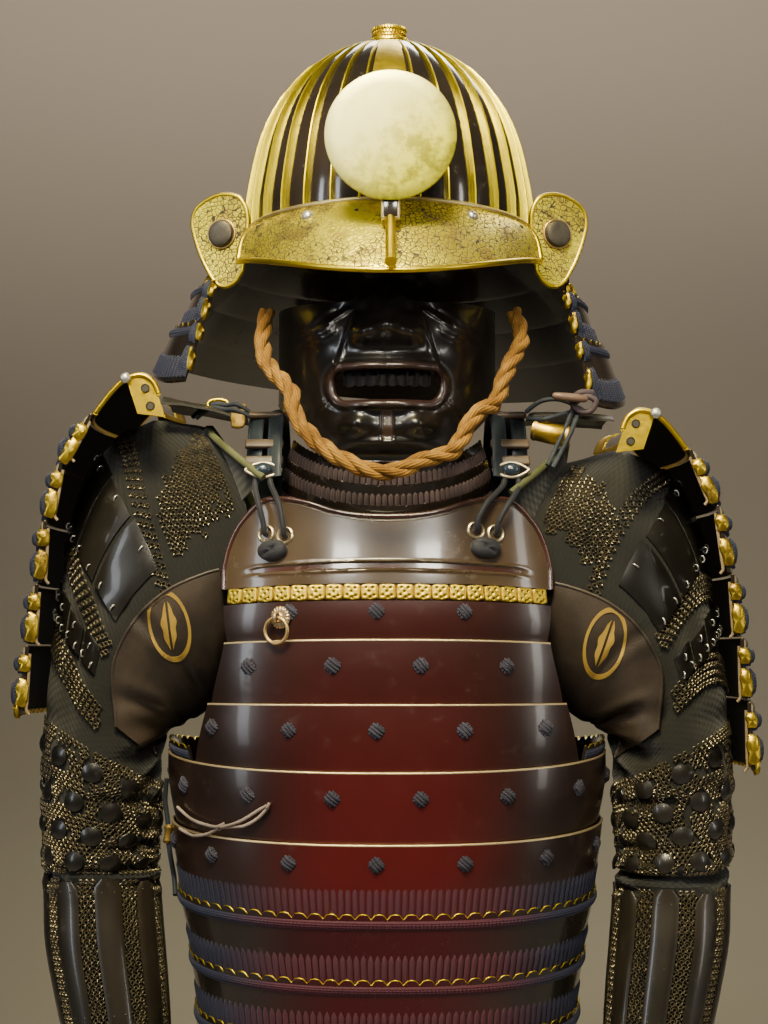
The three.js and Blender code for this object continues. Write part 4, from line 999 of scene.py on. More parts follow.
def makeCrest():
    disc = {"x": 2.5, "radius": 50.5, "z": 196, "back": -169}
    profile = [(0, 0), (49.0, 0), (50.2, 0.5), (50.5, 1.5), (50.2, 2.5), (49.2, 3.0), (40, 3.5), (26, 4.3),
               (0, 4.8)]
    face = latheMesh("crestDisc", profile, 128)
    placed(face, stand(Vector((disc["x"], disc["back"], disc["z"])), Vector((0, -1, 0)), Vector((0, 0, 1))))
    settle(addObject("crestDisc", face, look["discGilt"]), ["crest_disc"], "crest_disc")
    outer, inner = [], []
    for z in (158, 182):
        outer.append([Vector((disc["x"] + x, y, z))
                      for x, y in ((-8.5, -168.9), (8.5, -168.9), (8.5, -155), (-8.5, -155))])
        inner.append([Vector((disc["x"] + x, y, z))
                      for x, y in ((-5.1, -163.1), (5.1, -163.1), (5.1, -157.9), (-5.1, -157.9))])
    socket = wallMesh("crestSocket", outer, inner, True)
    settle(addObject("crestSocket", socket, look["brass"]), (), "crest_disc")
    block = boxMesh("crestBlock", (15, 11.5, 19), 1.4)
    placed(block, Matrix.Translation((disc["x"], -161.5, 141.5)))
    settle(addObject("crestBlock", block, look["paleGilt"]), ["crest_holder"])
    inset = boxMesh("crestInset", (11, 2.4, 15), 0.8)
    placed(inset, Matrix.Translation((disc["x"], -167.4, 141.5)))
    settle(addObject("crestInset", inset, look["blackLacquer"]))
    blade = boxMesh("crestProng", (9, 4, 36), 0.8)
    placed(blade, Matrix.Translation((disc["x"], -160.5, 168)))
    settle(addObject("crestProng", blade, look["brass"]))
    post = [Vector((disc["x"], -161, 138)).lerp(Vector((disc["x"], -199, 93)), s) for s in spread(0, 1, 4)]
    settle(addObject("crestPost", tubeMesh("crestPost", [post], 4.0, 24, 40), look["gilt"]))
    mouth = [post[-1] + (post[-1] - post[-2]).normalized() * step for step in (-1.6, 0.2)]
    settle(addObject("crestPostRim", tubeMesh("crestPostRim", [mouth], 4.6, 24, 40), look["gilt"]))


def boxMesh(name, size, bevel):
    mesh = bpy.data.meshes.new(name)
    bm = bmesh.new()
    bmesh.ops.create_cube(bm, size=1)
    bmesh.ops.scale(bm, vec=Vector(size) * mm, verts=bm.verts)
    bmesh.ops.bevel(bm, geom=bm.edges[:], offset=bevel * mm, segments=3, profile=0.5, affect="EDGES")
    bm.to_mesh(mesh)
    bm.free()
    return smoothed(mesh)


makeBowl()
makeRibs()
makeFrontPlates()
makeCrown()
makeVisor()
makeTurnBacks()
makeCrest()
print("armour: helmet made")


# cuirass
trunkSet = {"corner": 2.4, "seam": 0.6, "thick": 2, "step": 3.6, "overlap": 6,
            "sizes": [(-30, 142, 92, 94, -12), (-76, 152, 101, 103, -12), (-142, 163, 115, 117, -12),
                      (-188, 168, 120, 122, -9), (-238, 172, 123, 124, 0), (-290, 174.5, 125, 125, 14),
                      (-345, 170, 124, 123, 13), (-397, 164.5, 121, 119, 12), (-447, 155, 118, 114, 13),
                      (-490, 151, 115, 111, 12), (-545, 151, 115, 111, 12)],
            "armhole": [(-142, 125), (-188, 124), (-238, 137), (-298, 152)],
            "tops": [-157, -188, -238, -290, -345, -397, -447, -490, -535]}


def signedPower(value, power):
    return math.copysign(abs(value) ** power, value)


def trunkPoint(angle, z, out=0.0):
    width, front, back, _ = tableAt(trunkSet["sizes"], z)
    turn = math.radians(angle)
    depth = front if math.cos(turn) > 0 else back
    power = 2 / trunkSet["corner"]
    return Vector(((width + out) * signedPower(math.sin(turn), power),
                   -(depth + out) * signedPower(math.cos(turn), power), z))


def trunkAngle(x, z):
    share = min(1, x / tableAt(trunkSet["sizes"], z)[0])
    return math.degrees(math.asin(share ** (trunkSet["corner"] / 2)))


def raised(z, angle):
    return z + tableAt(trunkSet["sizes"], z)[3] * (1 - abs(math.cos(math.radians(angle))))


def arcAngles(z, middle=0.0):  # angles and lengths round the trunk from the middle, both ways
    table, length = [(middle, 0.0)], 0.0
    last = trunkPoint(middle, z)
    for step in range(1, 181):
        point = trunkPoint(middle + step * 0.5, z)
        length += (point - last).length
        table.append((middle + step * 0.5, length))
        last = point
    return table


def angleAtArc(table, length):
    middle = table[0][0]
    reach = abs(length)
    for (a0, l0), (a1, l1) in zip(table, table[1:]):
        if l1 >= reach:
            angle = mixed(a0, a1, (reach - l0) / (l1 - l0))
            break
    else:
        angle = table[-1][0]
    return angle if length >= 0 else 2 * middle - angle


def facingOut(surface, u, v, step=1.0):  # a surface's own outward and upward directions
    here = surface(u, v, 0.0)
    across = surface(u + step, v, 0.0) - surface(u - step, v, 0.0)
    up = surface(u, v - step, 0.0) - surface(u, v + step, 0.0)
    out = across.cross(up)
    if out.dot(surface(u, v, 1.0) - here) < 0:
        out = -out
    return here, out.normalized(), up.normalized()


def crossKnotMesh(width=11.4, height=10.0, radius=1.5, strands=3):  # cords crossed over one another
    routes = []
    for lean, lift in ((1, 0.2), (-1, 1.2)):
        for strand in range(strands):
            shift = (strand - (strands - 1) / 2) * radius * 1.85
            along = Vector((lean * (width / 2 - 1.6), height / 2 - 1.2, 0))
            side = Vector((-along.y, along.x, 0)).normalized() * shift
            route = []
            for place in spread(-1, 1, 4):
                bow = (1 - place ** 4) * 1.3
                route.append(side + along * place + Vector((0, 0, lift * (1 - place ** 2) + bow - 0.4)))
            routes.append(route)
    return tubeMesh("crossKnot", routes, radius, 6)


def lumpMesh(name, wide, tall, thick, rough, power=0.75, sides=14):  # a small uneven gilded head
    bm = bmesh.new()
    bmesh.ops.create_uvsphere(bm, u_segments=sides, v_segments=max(8, sides // 2), radius=1)
    for vert in bm.verts:
        x, y, z = vert.co
        flat = Vector((signedPower(x, power) * wide / 2, signedPower(y, power) * tall / 2,
                       signedPower(z, 0.8) * thick))
        lump = noise.noise(Vector((x * 2.6, y * tall * 0.16, z * 2.0))) + 0.6 * noise.noise(
            Vector((x * 5.0, y * tall * 0.36, 4.0)))
        vert.co = (flat + flat.normalized() * lump * rough) * mm
    mesh = bpy.data.meshes.new(name)
    bm.to_mesh(mesh)
    bm.free()
    return smoothed(mesh, 70)


def puffMesh(width, tall, out, strands=3):  # flat braids side by side, bowed outwards
    routes = []
    for strand in range(strands):
        x = (strand - (strands - 1) / 2) * width / strands
        routes.append([Vector((x, tall * v, out * (1 - (2 * v) ** 4) - 1.2)) for v in spread(-0.5, 0.5, 5)])
    return tubeMesh("lacePuff", routes, lambda s: width / strands * (0.48 + 0.10 * math.sin(s * math.pi)),
                    6, 80)


def ribMesh(width, height, tall):  # one stretch of flat braid standing on a lame
    points, faces, uvs = [], [], []
    section = [(-0.5, -0.3), (-0.4, 0.72), (0, 1), (0.4, 0.72), (0.5, -0.3)]
    shares, count = (0.0, 0.2, 1.0), len(section)
    rows = len(shares) - 1
    for row, share in enumerate(shares):
        size = 1 if row else 0.15  # its top comes out of the lame as a point
        points += [Vector((x * width * size, height * (0.5 - share), z * tall * size)) for x, z in section]
    for row in range(rows):
        for corner in range(count):
            a, b = row * count + corner, row * count + (corner + 1) % count
            faces.append((a, a + count, b + count, b))
            v0, v1 = shares[row] * height * mm, shares[row + 1] * height * mm
            u0, u1 = corner / (count - 1), (corner + 1) / (count - 1)
            uvs.append([(u0, v0), (u0, v1), (min(1, u1), v1), (min(1, u1), v0)])
    faces.append(tuple(range(count)))
    faces.append(tuple(rows * count + i for i in reversed(range(count))))
    uvs += [[(0.5, 0)] * count, [(0.5, 0)] * count]
    return smoothed(meshFrom("braidRib", points, faces, uvs), 70)


def scallop(u, shape):
    return shape["headTall"] * (math.sqrt(max(0.0, 1 - (2 * ((u / shape["pitch"]) % 1) - 1) ** 2)) - 1)


laceShape = {"pitch": 12.0, "headTall": 4.0, "bandTop": 4.6, "bandTall": 8.0, "bandOut": 2.0, "bandRib": 2.9,
             "ribPitch": 5.5, "ribWidth": 4.6, "ribTall": 1.9, "ribHeight": 22.0, "thick": 2.0,
             "goldRadius": 0.62}


def alongLame(start, end, step):  # places along a lame that keep the rhythm of its heads
    return [start, *[step * i for i in range(math.ceil(start / step + 0.3),
                                             math.floor(end / step - 0.3) + 1)], end]


def lacedLame(surface, start, end, height, ribs=True, foot=5.0, shape=laceShape, band=True, heads=True):
    # one laced lame as lists of parts; surface(u, drop, out) with u along and drop from the top edge
    def rise(u):  # how far the top edge falls between two heads
        return scallop(u, shape) if heads else 0.0
    us = alongLame(start, end, shape["pitch"] / 4)
    drops = [0, 1.5, 6.0, height] + ([height + foot] if foot else [])
    thick = shape["thick"]
    outer = [[surface(u, d - rise(u) * max(0.0, 1 - d / 6), thick) for u in us] for d in drops]
    inner = [[surface(u, d - rise(u) * max(0.0, 1 - d / 6), 0) for u in us] for d in drops]
    parts = {"wall": (outer, inner)}
    parts["gold"] = [surface(u, -rise(u), thick * 0.55) for u in us]
    if band:
        bandUs = alongLame(start + 0.6, end - 0.6, shape["bandRib"] / 2)
        low, tall = shape["bandTop"], shape["bandTall"]
        bandOuter, bandInner = [], []
        for share, swell, flat in ((0.14, 0.66, 0), (0.5, 1, 0.5), (0.86, 0.66, 1)):
            bandOuter.append([surface(u, low + tall * share, thick + swell * (
                shape["bandOut"] * (0.72 + 0.28 * math.cos(2 * math.pi * u / shape["bandRib"]))))
                for u in bandUs])
            bandInner.append([surface(u, low + tall * flat, thick - 0.5) for u in bandUs])
        parts["band"] = (bandOuter, bandInner)
    if ribs:
        places = []
        first = start + shape["ribPitch"] * 0.6
        steps = int((end - start - shape["ribPitch"]) / shape["ribPitch"]) + 1
        for step in range(steps):
            u = first + step * shape["ribPitch"] * (end - start - shape["ribPitch"]) / (
                max(1, steps - 1) * shape["ribPitch"]) if steps > 1 else first
            spot, out, up = facingOut(surface, u, height - shape["ribHeight"] / 2 + foot * 0.5)
            places.append((spot + out * thick, out, up, (1, 1, 1)))
        parts["ribs"] = places
    return parts


def wallGroup(name, walls, finish, nodes=(), angle=38, second=None):
    joined = bmesh.new()
    for outer, inner in walls:
        length = sum((b - a).length for a, b in zip(outer[0], outer[0][1:])) * mm
        tall = sum((b[0] - a[0]).length for a, b in zip(outer, outer[1:])) * mm
        mesh = wallMesh(name, outer, inner, False, angle, (length, tall), 1 if second else 0)
        joined.from_mesh(mesh)
        bpy.data.meshes.remove(mesh)
    mesh = bpy.data.meshes.new(name)
    joined.to_mesh(mesh)
    joined.free()
    smoothed(mesh, angle)
    piece = addObject(name, mesh, finish, *([second] if second else []))
    return settle(piece, nodes)


def settleLaced(name, rows, wallFinish, nodes, silkFinish="blueSilk", edge="gilt", shape=laceShape):
    wallGroup(name, [row["wall"] for row in rows], look[wallFinish], nodes, angle=50)
    settle(sweepMany(name + "Edges", [row["gold"] for row in rows], shape["goldRadius"], look[edge], 4))
    bands = [row["band"] for row in rows if "band" in row]
    if bands:
        wallGroup(name + "Bands", bands, look[silkFinish], angle=60)
    places = [place for row in rows for place in row.get("ribs", [])]
    if places:
        rib = ribMesh(shape["ribWidth"], shape["ribHeight"], shape["ribTall"])
        settle(placeMany(name + "Lacing", places, rib, look[silkFinish], 0.02, 3))


def outlinedPlate(outline, front, bottom, extra, columns=110, rows=22):
    reach = outline[-1][0]
    xs = [reach * math.sin(math.radians(t)) * 0.25 + reach * t / 90 * 0.75 for t in spread(-90, 90, columns)]
    def point(x, share, out):
        top = tableAt(outline, abs(x))[0]
        foot = raised(bottom, trunkAngle(abs(x), bottom))
        z = mixed(top, foot, share)
        angle = math.copysign(trunkAngle(abs(x), z), x)
        y = trunkPoint(angle if front else 180 - angle, z, out + (extra(x, z) if out > 0.5 else 0)).y
        return Vector((x, y, z))
    shares = sorted({*spread(0, 1, rows)})
    outer = [[point(x, s, 2) for x in xs] for s in shares]
    inner = [[point(x, s, 0) for x in xs] for s in shares]
    return outer, inner, point, xs


def grooveDepth(x, z):  # the long groove over the gilt scales, tapered at its ends
    middle = -129.4 - 4.2 * (abs(x) / 105) ** 2.2
    share = min(1, max(0, (113 - abs(x)) / 12))
    inside = max(0.0, 1 - abs(z - middle) / 2.6)
    lip = math.exp(-((abs(z - middle) - 3.7) / 0.75) ** 2) * 1.1
    return share * (lip - 1.75 * min(1, inside * 2.6))


def makeBreastPlate():
    outline = [(0, -91), (22, -90), (44, -86), (62, -80), (78, -76.5), (92, -76), (102, -80), (112, -90),
               (120, -101), (126, -116), (129.5, -132)]
    outer, inner, point, xs = outlinedPlate(outline, True, -143.5, grooveDepth, 66, 60)
    plate = addObject("breastPlate", wallMesh("breastPlate", outer, inner, angle=60), look["bronzeLacquer"])
    settle(plate, ["breast_plate"])
    inlay = []
    for out in (0.75, 0.3):  # dark lacquer lying in the groove
        inlay.append([[point(x, (tableAt(outline, abs(x))[0] + 129.4 + 4.2 * (abs(x) / 105) ** 2.2 + rise
                                 * min(1, (112 - abs(x)) / 16)) / (tableAt(outline, abs(x))[0] - raised(
                                     -143.5, trunkAngle(abs(x), -143.5))), 0) + Vector((0, -out, 0))
                       for x in spread(-108, 108, 54)] for rise in (-2.1, -1.0, 0, 1.0, 2.1)])
    wallGroup("breastGroove", [tuple(inlay)], look["rimLacquer"], angle=60)
    top = [point(x, 0.0, 1.2) for x in xs]
    down = [[point(side * 129.5, s, 1.2) for s in spread(0, 1, 6)] for side in (-1, 1)]
    edge = list(reversed(down[0]))[:-1] + top + down[1][1:]
    settle(sweepMany("breastRim", [edge], 2.5, look["rimLacquer"], 12))
    inset = [point(x, 0.0, 2.4) + Vector((0, 0, -3.4 if abs(x) < 118 else -2)) for x in xs[7:-7]]
    settle(sweepMany("breastRimLine", [inset], 0.7, look["bronzeLacquer"], 8))


def makeBackPlate():
    outline = [(0, -46), (30, -44), (62, -38), (90, -36), (106, -48), (117, -72), (124, -108)]
    outer, inner, point, xs = outlinedPlate(outline, False, -187, lambda x, z: 0, 50, 14)
    plate = addObject("backPlate", wallMesh("backPlate", outer, inner, angle=60), look["bronzeLacquer"])
    settle(plate, ["back_plate"])
    top = [point(x, 0.0, 1.2) for x in xs]
    down = [[point(side * 124, s, 1.2) for s in spread(0, 1, 6)] for side in (-1, 1)]
    edge = list(reversed(down[0]))[:-1] + top + down[1][1:]
    settle(sweepMany("backRim", [edge], 2.5, look["rimLacquer"], 12))


def makeGoldScales():
    count, level = 19, -150.4
    model = bpy.data.meshes.new("goldScale")
    bm = bmesh.new()
    bmesh.ops.create_grid(bm, x_segments=18, y_segments=18, size=0.5)
    pitLayer = bm.verts.layers.float.new("pit")
    holes = [(-0.18, 0.26), (0.17, 0.24), (-0.02, 0.02), (-0.24, -0.2), (0.22, -0.22), (0.02, -0.33)]
    for vert in bm.verts:
        x, y = vert.co.x, vert.co.y
        round4 = max(0.0, 1 - max(abs(2 * x), abs(2 * y)) ** 5)
        far = max(abs(2 * x), abs(2 * y))
        ring = math.hypot(2 * x, 2 * y)
        pull = 1 - 0.30 * max(0.0, ring - 1)
        pit = sum(math.exp(-((x - hx) ** 2 + (y - hy) ** 2) / 0.0035) for hx, hy in holes)
        lump = 0.35 * noise.noise(Vector((x * 7, y * 7, 3.1)))
        tall = (2.6 + lump) * round4 ** 0.4 - min(1.0, pit) * 1.6
        # the pit mask follows the dents and marks where painted shade goes
        vert[pitLayer] = min(1.0, pit * 1.2) * (far < 0.9)
        vert.co = Vector((x * pull * 14.4, y * pull * 13.2, tall if far < 0.99 else -0.6))
    bm.to_mesh(model)
    bm.free()
    solid = closedBelow(model, -1.0)
    places, table = [], arcAngles(level)
    def surface(u, v, out):
        return trunkPoint(u, raised(level - v, u), 0.9 + out)
    reach = trunkAngle(tableAt(trunkSet["armhole"], level)[0] - 1, level)
    for index in range(count):
        place = mixed(-1, 1, (index + 0.5) / count) * arcLength(table, reach)
        spot, out, up = facingOut(surface, angleAtArc(table, place), 0.0, 0.5)
        places.append((spot + out * 1.0, out, up, (1, 1, 1)))
    settle(placeMany("goldScales", places, solid, look["scaleGilt"], 0.09, 5), ["gold_scale_row"])
    low, strip = [-144.6, -156.2], []
    for out in (0.9, -0.2):
        strip.append([[trunkPoint(t * reach, raised(z, t * reach), out + 0.6) for t in spread(-1, 1, 60)]
                      for z in low])
    wallGroup("scaleBacking", [tuple(strip)], look["rimLacquer"])


def closedBelow(mesh, depth):  # a flat-backed copy of an open sheet, closed all round
    bm = bmeshOf(mesh)
    edges = [e for e in bm.edges if e.is_boundary]
    grown = bmesh.ops.extrude_edge_only(bm, edges=edges)
    low = [v for v in grown["geom"] if isinstance(v, bmesh.types.BMVert)]
    for vert in low:
        vert.co.z = depth
    border = [e for e in bm.edges if e.is_boundary]
    bmesh.ops.edgeloop_fill(bm, edges=border)
    bmesh.ops.recalc_face_normals(bm, faces=bm.faces)
    for vert in bm.verts:
        vert.co *= mm
    bm.to_mesh(mesh)
    bm.free()
    return smoothed(mesh, 50)


def trunkLameGrid(top, bottom, angles, foot):
    def out(drop):
        full = top - bottom
        share = drop / full
        return mixed(trunkSet["step"], 0, min(1, share)) + 1.2 * math.sin(min(1, share) * math.pi) - (
            0.6 if share > 1 else 0)
    drops = [0, 0.8, *spread(4, top - bottom, 5), top - bottom + foot]
    grids = []
    for thick in (trunkSet["thick"], 0):
        grids.append([[trunkPoint(a, raised(top - d, a), out(d) + thick) for a in angles(top - d)]
                      for d in drops])
    return tuple(grids)


def makeTrunkLames():
    tops = trunkSet["tops"]
    knots, lines = [], []
    reach = 90 - trunkSet["seam"] / 2
    for side, middle in (("front", 0), ("back", 180)):
        for number in range(1, 6):
            if side == "back" and number == 1:
                continue
            top, bottom = tops[number - 1], tops[number]
            whole = number > 3
            def angles(z):
                half = reach if whole else trunkAngle(tableAt(trunkSet["armhole"], z)[0], z)
                return spread(middle - half, middle + half, 60)
            grid = trunkLameGrid(top, bottom, angles, trunkSet["overlap"])
            wallGroup("%sLame%d" % (side, number), [grid], look["chestnutLacquer"],
                      ["%s_lame_%d" % (side, number)], angle=50)
            if number > 1:
                lines.append([trunkPoint(a, raised(top, a) + 0.3, trunkSet["step"] + 1.2)
                              for a in angles(top)])
            depth = (14, 19, 19, 19, 14)[number - 1]
            if number == 1:
                depth = 8
            z = top - depth
            table = arcAngles(z, middle)
            first = (-8 if number % 2 else 25) if side == "front" else (0 if number % 2 else 33)
            limit = arcLength(table, angles(z)[-1]) - 7
            for step in range(-6, 7):
                place = first + 66 * step
                if abs(place) > limit:
                    continue
                def surface(u, v, out):
                    share = (top - (z - v)) / (top - bottom)
                    lift = (mixed(trunkSet["step"], 0, share) + 1.2 * math.sin(share * math.pi)
                            + trunkSet["thick"])
                    return trunkPoint(u, raised(z - v, u), lift + out)
                spot, out, up = facingOut(surface, angleAtArc(table, place), 0.0, 0.6)
                size = 0.94 + 0.12 * noise.noise(Vector((place * 0.1, z * 0.1, middle)))
                knots.append((spot, out, up, (size, size, 1)))
    settle(sweepMany("lameEdges", lines, 1.15, look["edgeGilt"], 6))
    settle(placeMany("crossKnots", knots, crossKnotMesh(), look["knotCord"], 0.12, 7))


def arcLength(table, angle):
    for (a0, l0), (a1, l1) in zip(table, table[1:]):
        if a1 >= angle:
            return mixed(l0, l1, (angle - a0) / (a1 - a0))
    return table[-1][1]


def ringSurface(top, middle, tilt=None):  # a trunk row seen as length along, drop and distance out
    table = arcAngles(top, middle)
    def surface(u, drop, out):
        angle = angleAtArc(table, u)
        z = top - drop
        lean = trunkSet["step"] * (1 - min(1, drop / tilt)) if tilt else 0
        return trunkPoint(angle, raised(z, angle), lean + out)
    limit = arcLength(table, middle + 90 - trunkSet["seam"] / 2)
    return surface, limit


def makeWaist():
    tops = trunkSet["tops"]
    for side, middle in (("front", 0), ("back", 180)):
        rows, nodes = [], []
        for number in (1, 2, 3):
            top, bottom = tops[4 + number], tops[5 + number]
            surface, limit = ringSurface(top, middle, top - bottom)
            foot = trunkSet["overlap"] if number < 3 else 1
            rows.append(lacedLame(surface, -limit, limit, top - bottom, foot=foot))
            nodes.append("waist_%s_%d" % (side, number))
        settleLaced("waist" + side.title(), rows, "waistLacquer", nodes, "waistSilk")
        top, bottom = tops[4], tops[5]
        surface, limit = ringSurface(top, middle, top - bottom)
        places = []
        steps = int(2 * limit / laceShape["ribPitch"])
        for step in range(steps):
            u = mixed(-limit + 3, limit - 3, step / (steps - 1))
            spot, out, up = facingOut(surface, u, top - bottom - 9.5)
            places.append((spot + out * trunkSet["thick"], out, up, (1, 1, 1)))
        rib = ribMesh(laceShape["ribWidth"], 25, laceShape["ribTall"])
        settle(placeMany("footLacing" + side.title(), places, rib, look["waistSilk"], 0.02, 4))


def makeSidePlates():
    for name, middle in (("Right", -90), ("Left", 90)):
        top, bottom = -276, -291
        surface, _ = ringSurface(top, middle, top - bottom)
        table = arcAngles(top, middle)
        limit = arcLength(table, middle + 31)
        row = lacedLame(surface, -limit, limit, top - bottom, False, foot=6)
        settleLaced("sidePlate" + name, [row], "blackLacquer", ["side_plate_" + name.lower()])


tassetShape = dict(laceShape, bandRib=3.5, ribPitch=6.2, ribWidth=5.2)
tassetSet = {"count": 7, "first": -560, "pitch": 45, "lames": 5, "flare": 32, "gap": 2.2}


def makeTassets():
    hem = tassetSet["first"] - tassetSet["pitch"] * tassetSet["lames"]
    for index in range(tassetSet["count"]):
        middle = 360 / tassetSet["count"] * index
        half = 180 / tassetSet["count"] - tassetSet["gap"] / 2
        def point(angle, z, out):
            flare = tassetSet["flare"] * max(0, (tassetSet["first"] - z) / (tassetSet["first"] - hem))
            taper = 0.96 * (1 + 0.04 * math.sin(z / hem * math.pi))
            return trunkPoint(middle + (angle - middle) * taper, z, flare + out)
        rows, cords = [], []
        for lame in range(tassetSet["lames"]):
            top = tassetSet["first"] - lame * tassetSet["pitch"]
            length = (point(middle + half, top, 0) - point(middle, top, 0)).length
            def surface(u, drop, out):
                lean = trunkSet["step"] * (1 - min(1, drop / tassetSet["pitch"])) + 0.5
                return point(middle + half * u / length, top - drop, lean + out)
            last = lame == tassetSet["lames"] - 1
            rows.append(lacedLame(surface, -length, length, tassetSet["pitch"] - 1,
                                  foot=0.5 if last else 3, shape=tassetShape))
        for u in spread(-0.8, 0.8, 6):
            for shift in (-1, 1):
                route = [point(middle + half * (u + shift * 0.04), z, 3.2) for z in spread(-533, -572, 6)]
                cords.append(route)
        name = "tasset%d" % (index + 1)
        settleLaced(name, rows, "blackLacquer", ["tasset_%d" % (index + 1)], shape=tassetShape)
        settle(sweepMany(name + "Cords", cords, 2.0, look["blueCord"], 6))


makeBreastPlate()
makeBackPlate()
makeGoldScales()
makeTrunkLames()
makeWaist()
makeSidePlates()
makeTassets()
print("armour: cuirass made")


# neck guard, mask and throat guard
neckSet = {"lean": 12, "corner": 28, "cornerFrom": 118, "cornerTo": 62,
           "levels": [(0, 151, 121.5, 129, 141, 5), (1, 125, 139, 130, 152, 10),
                                  (2, 99, 158, 130, 166, 16), (3, 71, 176, 130, 182, 23),
                                  (4, 42, 199, 129, 200, 30)],
           "starts": [88, 86, 61, 57]}


def neckPoint(angle, level, out):
    z, width, front, back, y = tableAt(neckSet["levels"], min(4, level))
    turn = math.radians(angle)
    depth = front if math.cos(turn) > 0 else back
    x = (width + out) * math.sin(turn)
    forward = smoothStep(-min(angle, 360 - angle), -neckSet["cornerFrom"], -neckSet["cornerTo"])
    corner = neckSet["corner"] * forward * (max(0, level - 2) / 2) ** 2
    hang = neckSet["lean"] * (x / 200) * (level / 4) + corner
    over = max(0, level - 4) * 20
    return Vector((bowlSet["sideways"] + x, y - (depth + out) * math.cos(turn), z + out * 0.7 - hang - over))


def makeNeckGuard():
    rows, insides, puffs = [], [], []
    for index, start in enumerate(neckSet["starts"]):
        angles = spread(start, 180, 90)
        arcs, length = [(start, 0.0)], 0.0
        for a, b in zip(angles, angles[1:]):
            length += (neckPoint(b, index + 0.5, 2) - neckPoint(a, index + 0.5, 2)).length
            arcs.append((b, length))
        tall = (neckPoint(180, index + 1, 0) - neckPoint(180, index, 0)).length
        def surface(u, drop, out, index=index, arcs=arcs, length=length, tall=tall):
            reach = length - abs(u)
            angle = next((mixed(a0, a1, (reach - l0) / (l1 - l0))
                          for (a0, l0), (a1, l1) in zip(arcs, arcs[1:]) if l1 >= reach), 180.0)
            angle = angle if u <= 0 else 360 - angle
            share = drop / tall
            lean = trunkSet["step"] * (1 - min(1, max(0, share)))
            return neckPoint(angle, index + share, lean + out)
        shape = dict(laceShape, ribHeight=tall * 0.5, bandTall=6.0, bandTop=4.4)
        rows.append((lacedLame(surface, -length, length, tall, foot=0 if index == 3 else 3.5, shape=shape),
                     shape, "neck_guard_lame_%d" % (index + 1)))
        edge = []
        for step, (share, size) in enumerate(((0.22, 0.72), (0.66, 1.0))):
            drop = tall * share
            for side in (-1, 1):
                spot, out, up = facingOut(surface, side * (length - 0.8), drop)
                forward = (surface(side * length, drop, 1)
                           - surface(side * (length - 2), drop, 1)).normalized()
                wide = 1 + 0.2 * noise.noise(Vector((index * 3.1, step * 1.7, side)))
                edge.append((spot + out * 1.2 + forward * 0.6, forward, up, (wide, size * tall / 27, 1.0)))
                puffs.append((spot + out * 2.8 - forward * 5.0, out, up, (1, size * tall / 27, 1)))
        insides += edge
    for row, shape, node in rows:
        name = "neckLame" + node[-1]
        settleLaced(name, [row], "blackLacquer", [node], shape=shape)
    head = lumpMesh("edgeHead", 6.8, 14.5, 2.4, 1.9, 0.8)
    settle(placeMany("neckEdgeHeads", insides, head, look["headGilt"], 0.12, 9))
    settle(placeMany("neckEdgePuffs", puffs, puffMesh(9, 15, 1.6), look["blueCord"], 0.03, 12))


maskSet = {"width": 92, "reach": 76, "thick": 3.2, "lipCentre": 10.0, "lipTall": 11.3, "lipWide": 42.0,
           "upperCorner": 7.5,
           "levels": [(-50, 112), (-34, 120), (10, 126), (50, 120), (90, 110)],
           "forms": [  # x, z, across, up, out
               (0, 74, 11, 15, 15), (0, 53, 15, 10, 27), (20, 50, 8.5, 8, 13), (57, 58, 17, 15, 13),
               (16, 25, 26, 8, 7), (14, -6, 24, 5, 6), (25, -20, 11, 9, 11), (0, -24, 22, 10, 5),
               (52, -2, 11, 22, 4), (0, -34, 26, 3.2, 5)]}


def smoothStep(value, low, high):
    share = min(1.0, max(0.0, (value - low) / (high - low)))
    return share * share * (3 - 2 * share)


def lipDistance(x, z):  # distance out from the mouth's edge, in the plane of the face
    up = z - maskSet["lipCentre"]
    corner = maskSet["upperCorner"] if up > 0 else maskSet["lipTall"]
    dx = abs(x) - (maskSet["lipWide"] - corner)
    dz = abs(up) - (maskSet["lipTall"] - corner)
    return math.hypot(max(dx, 0), max(dz, 0)) + min(max(dx, dz), 0) - corner


def ridge(distance, width):
    return math.exp(-(distance / width) ** 2)


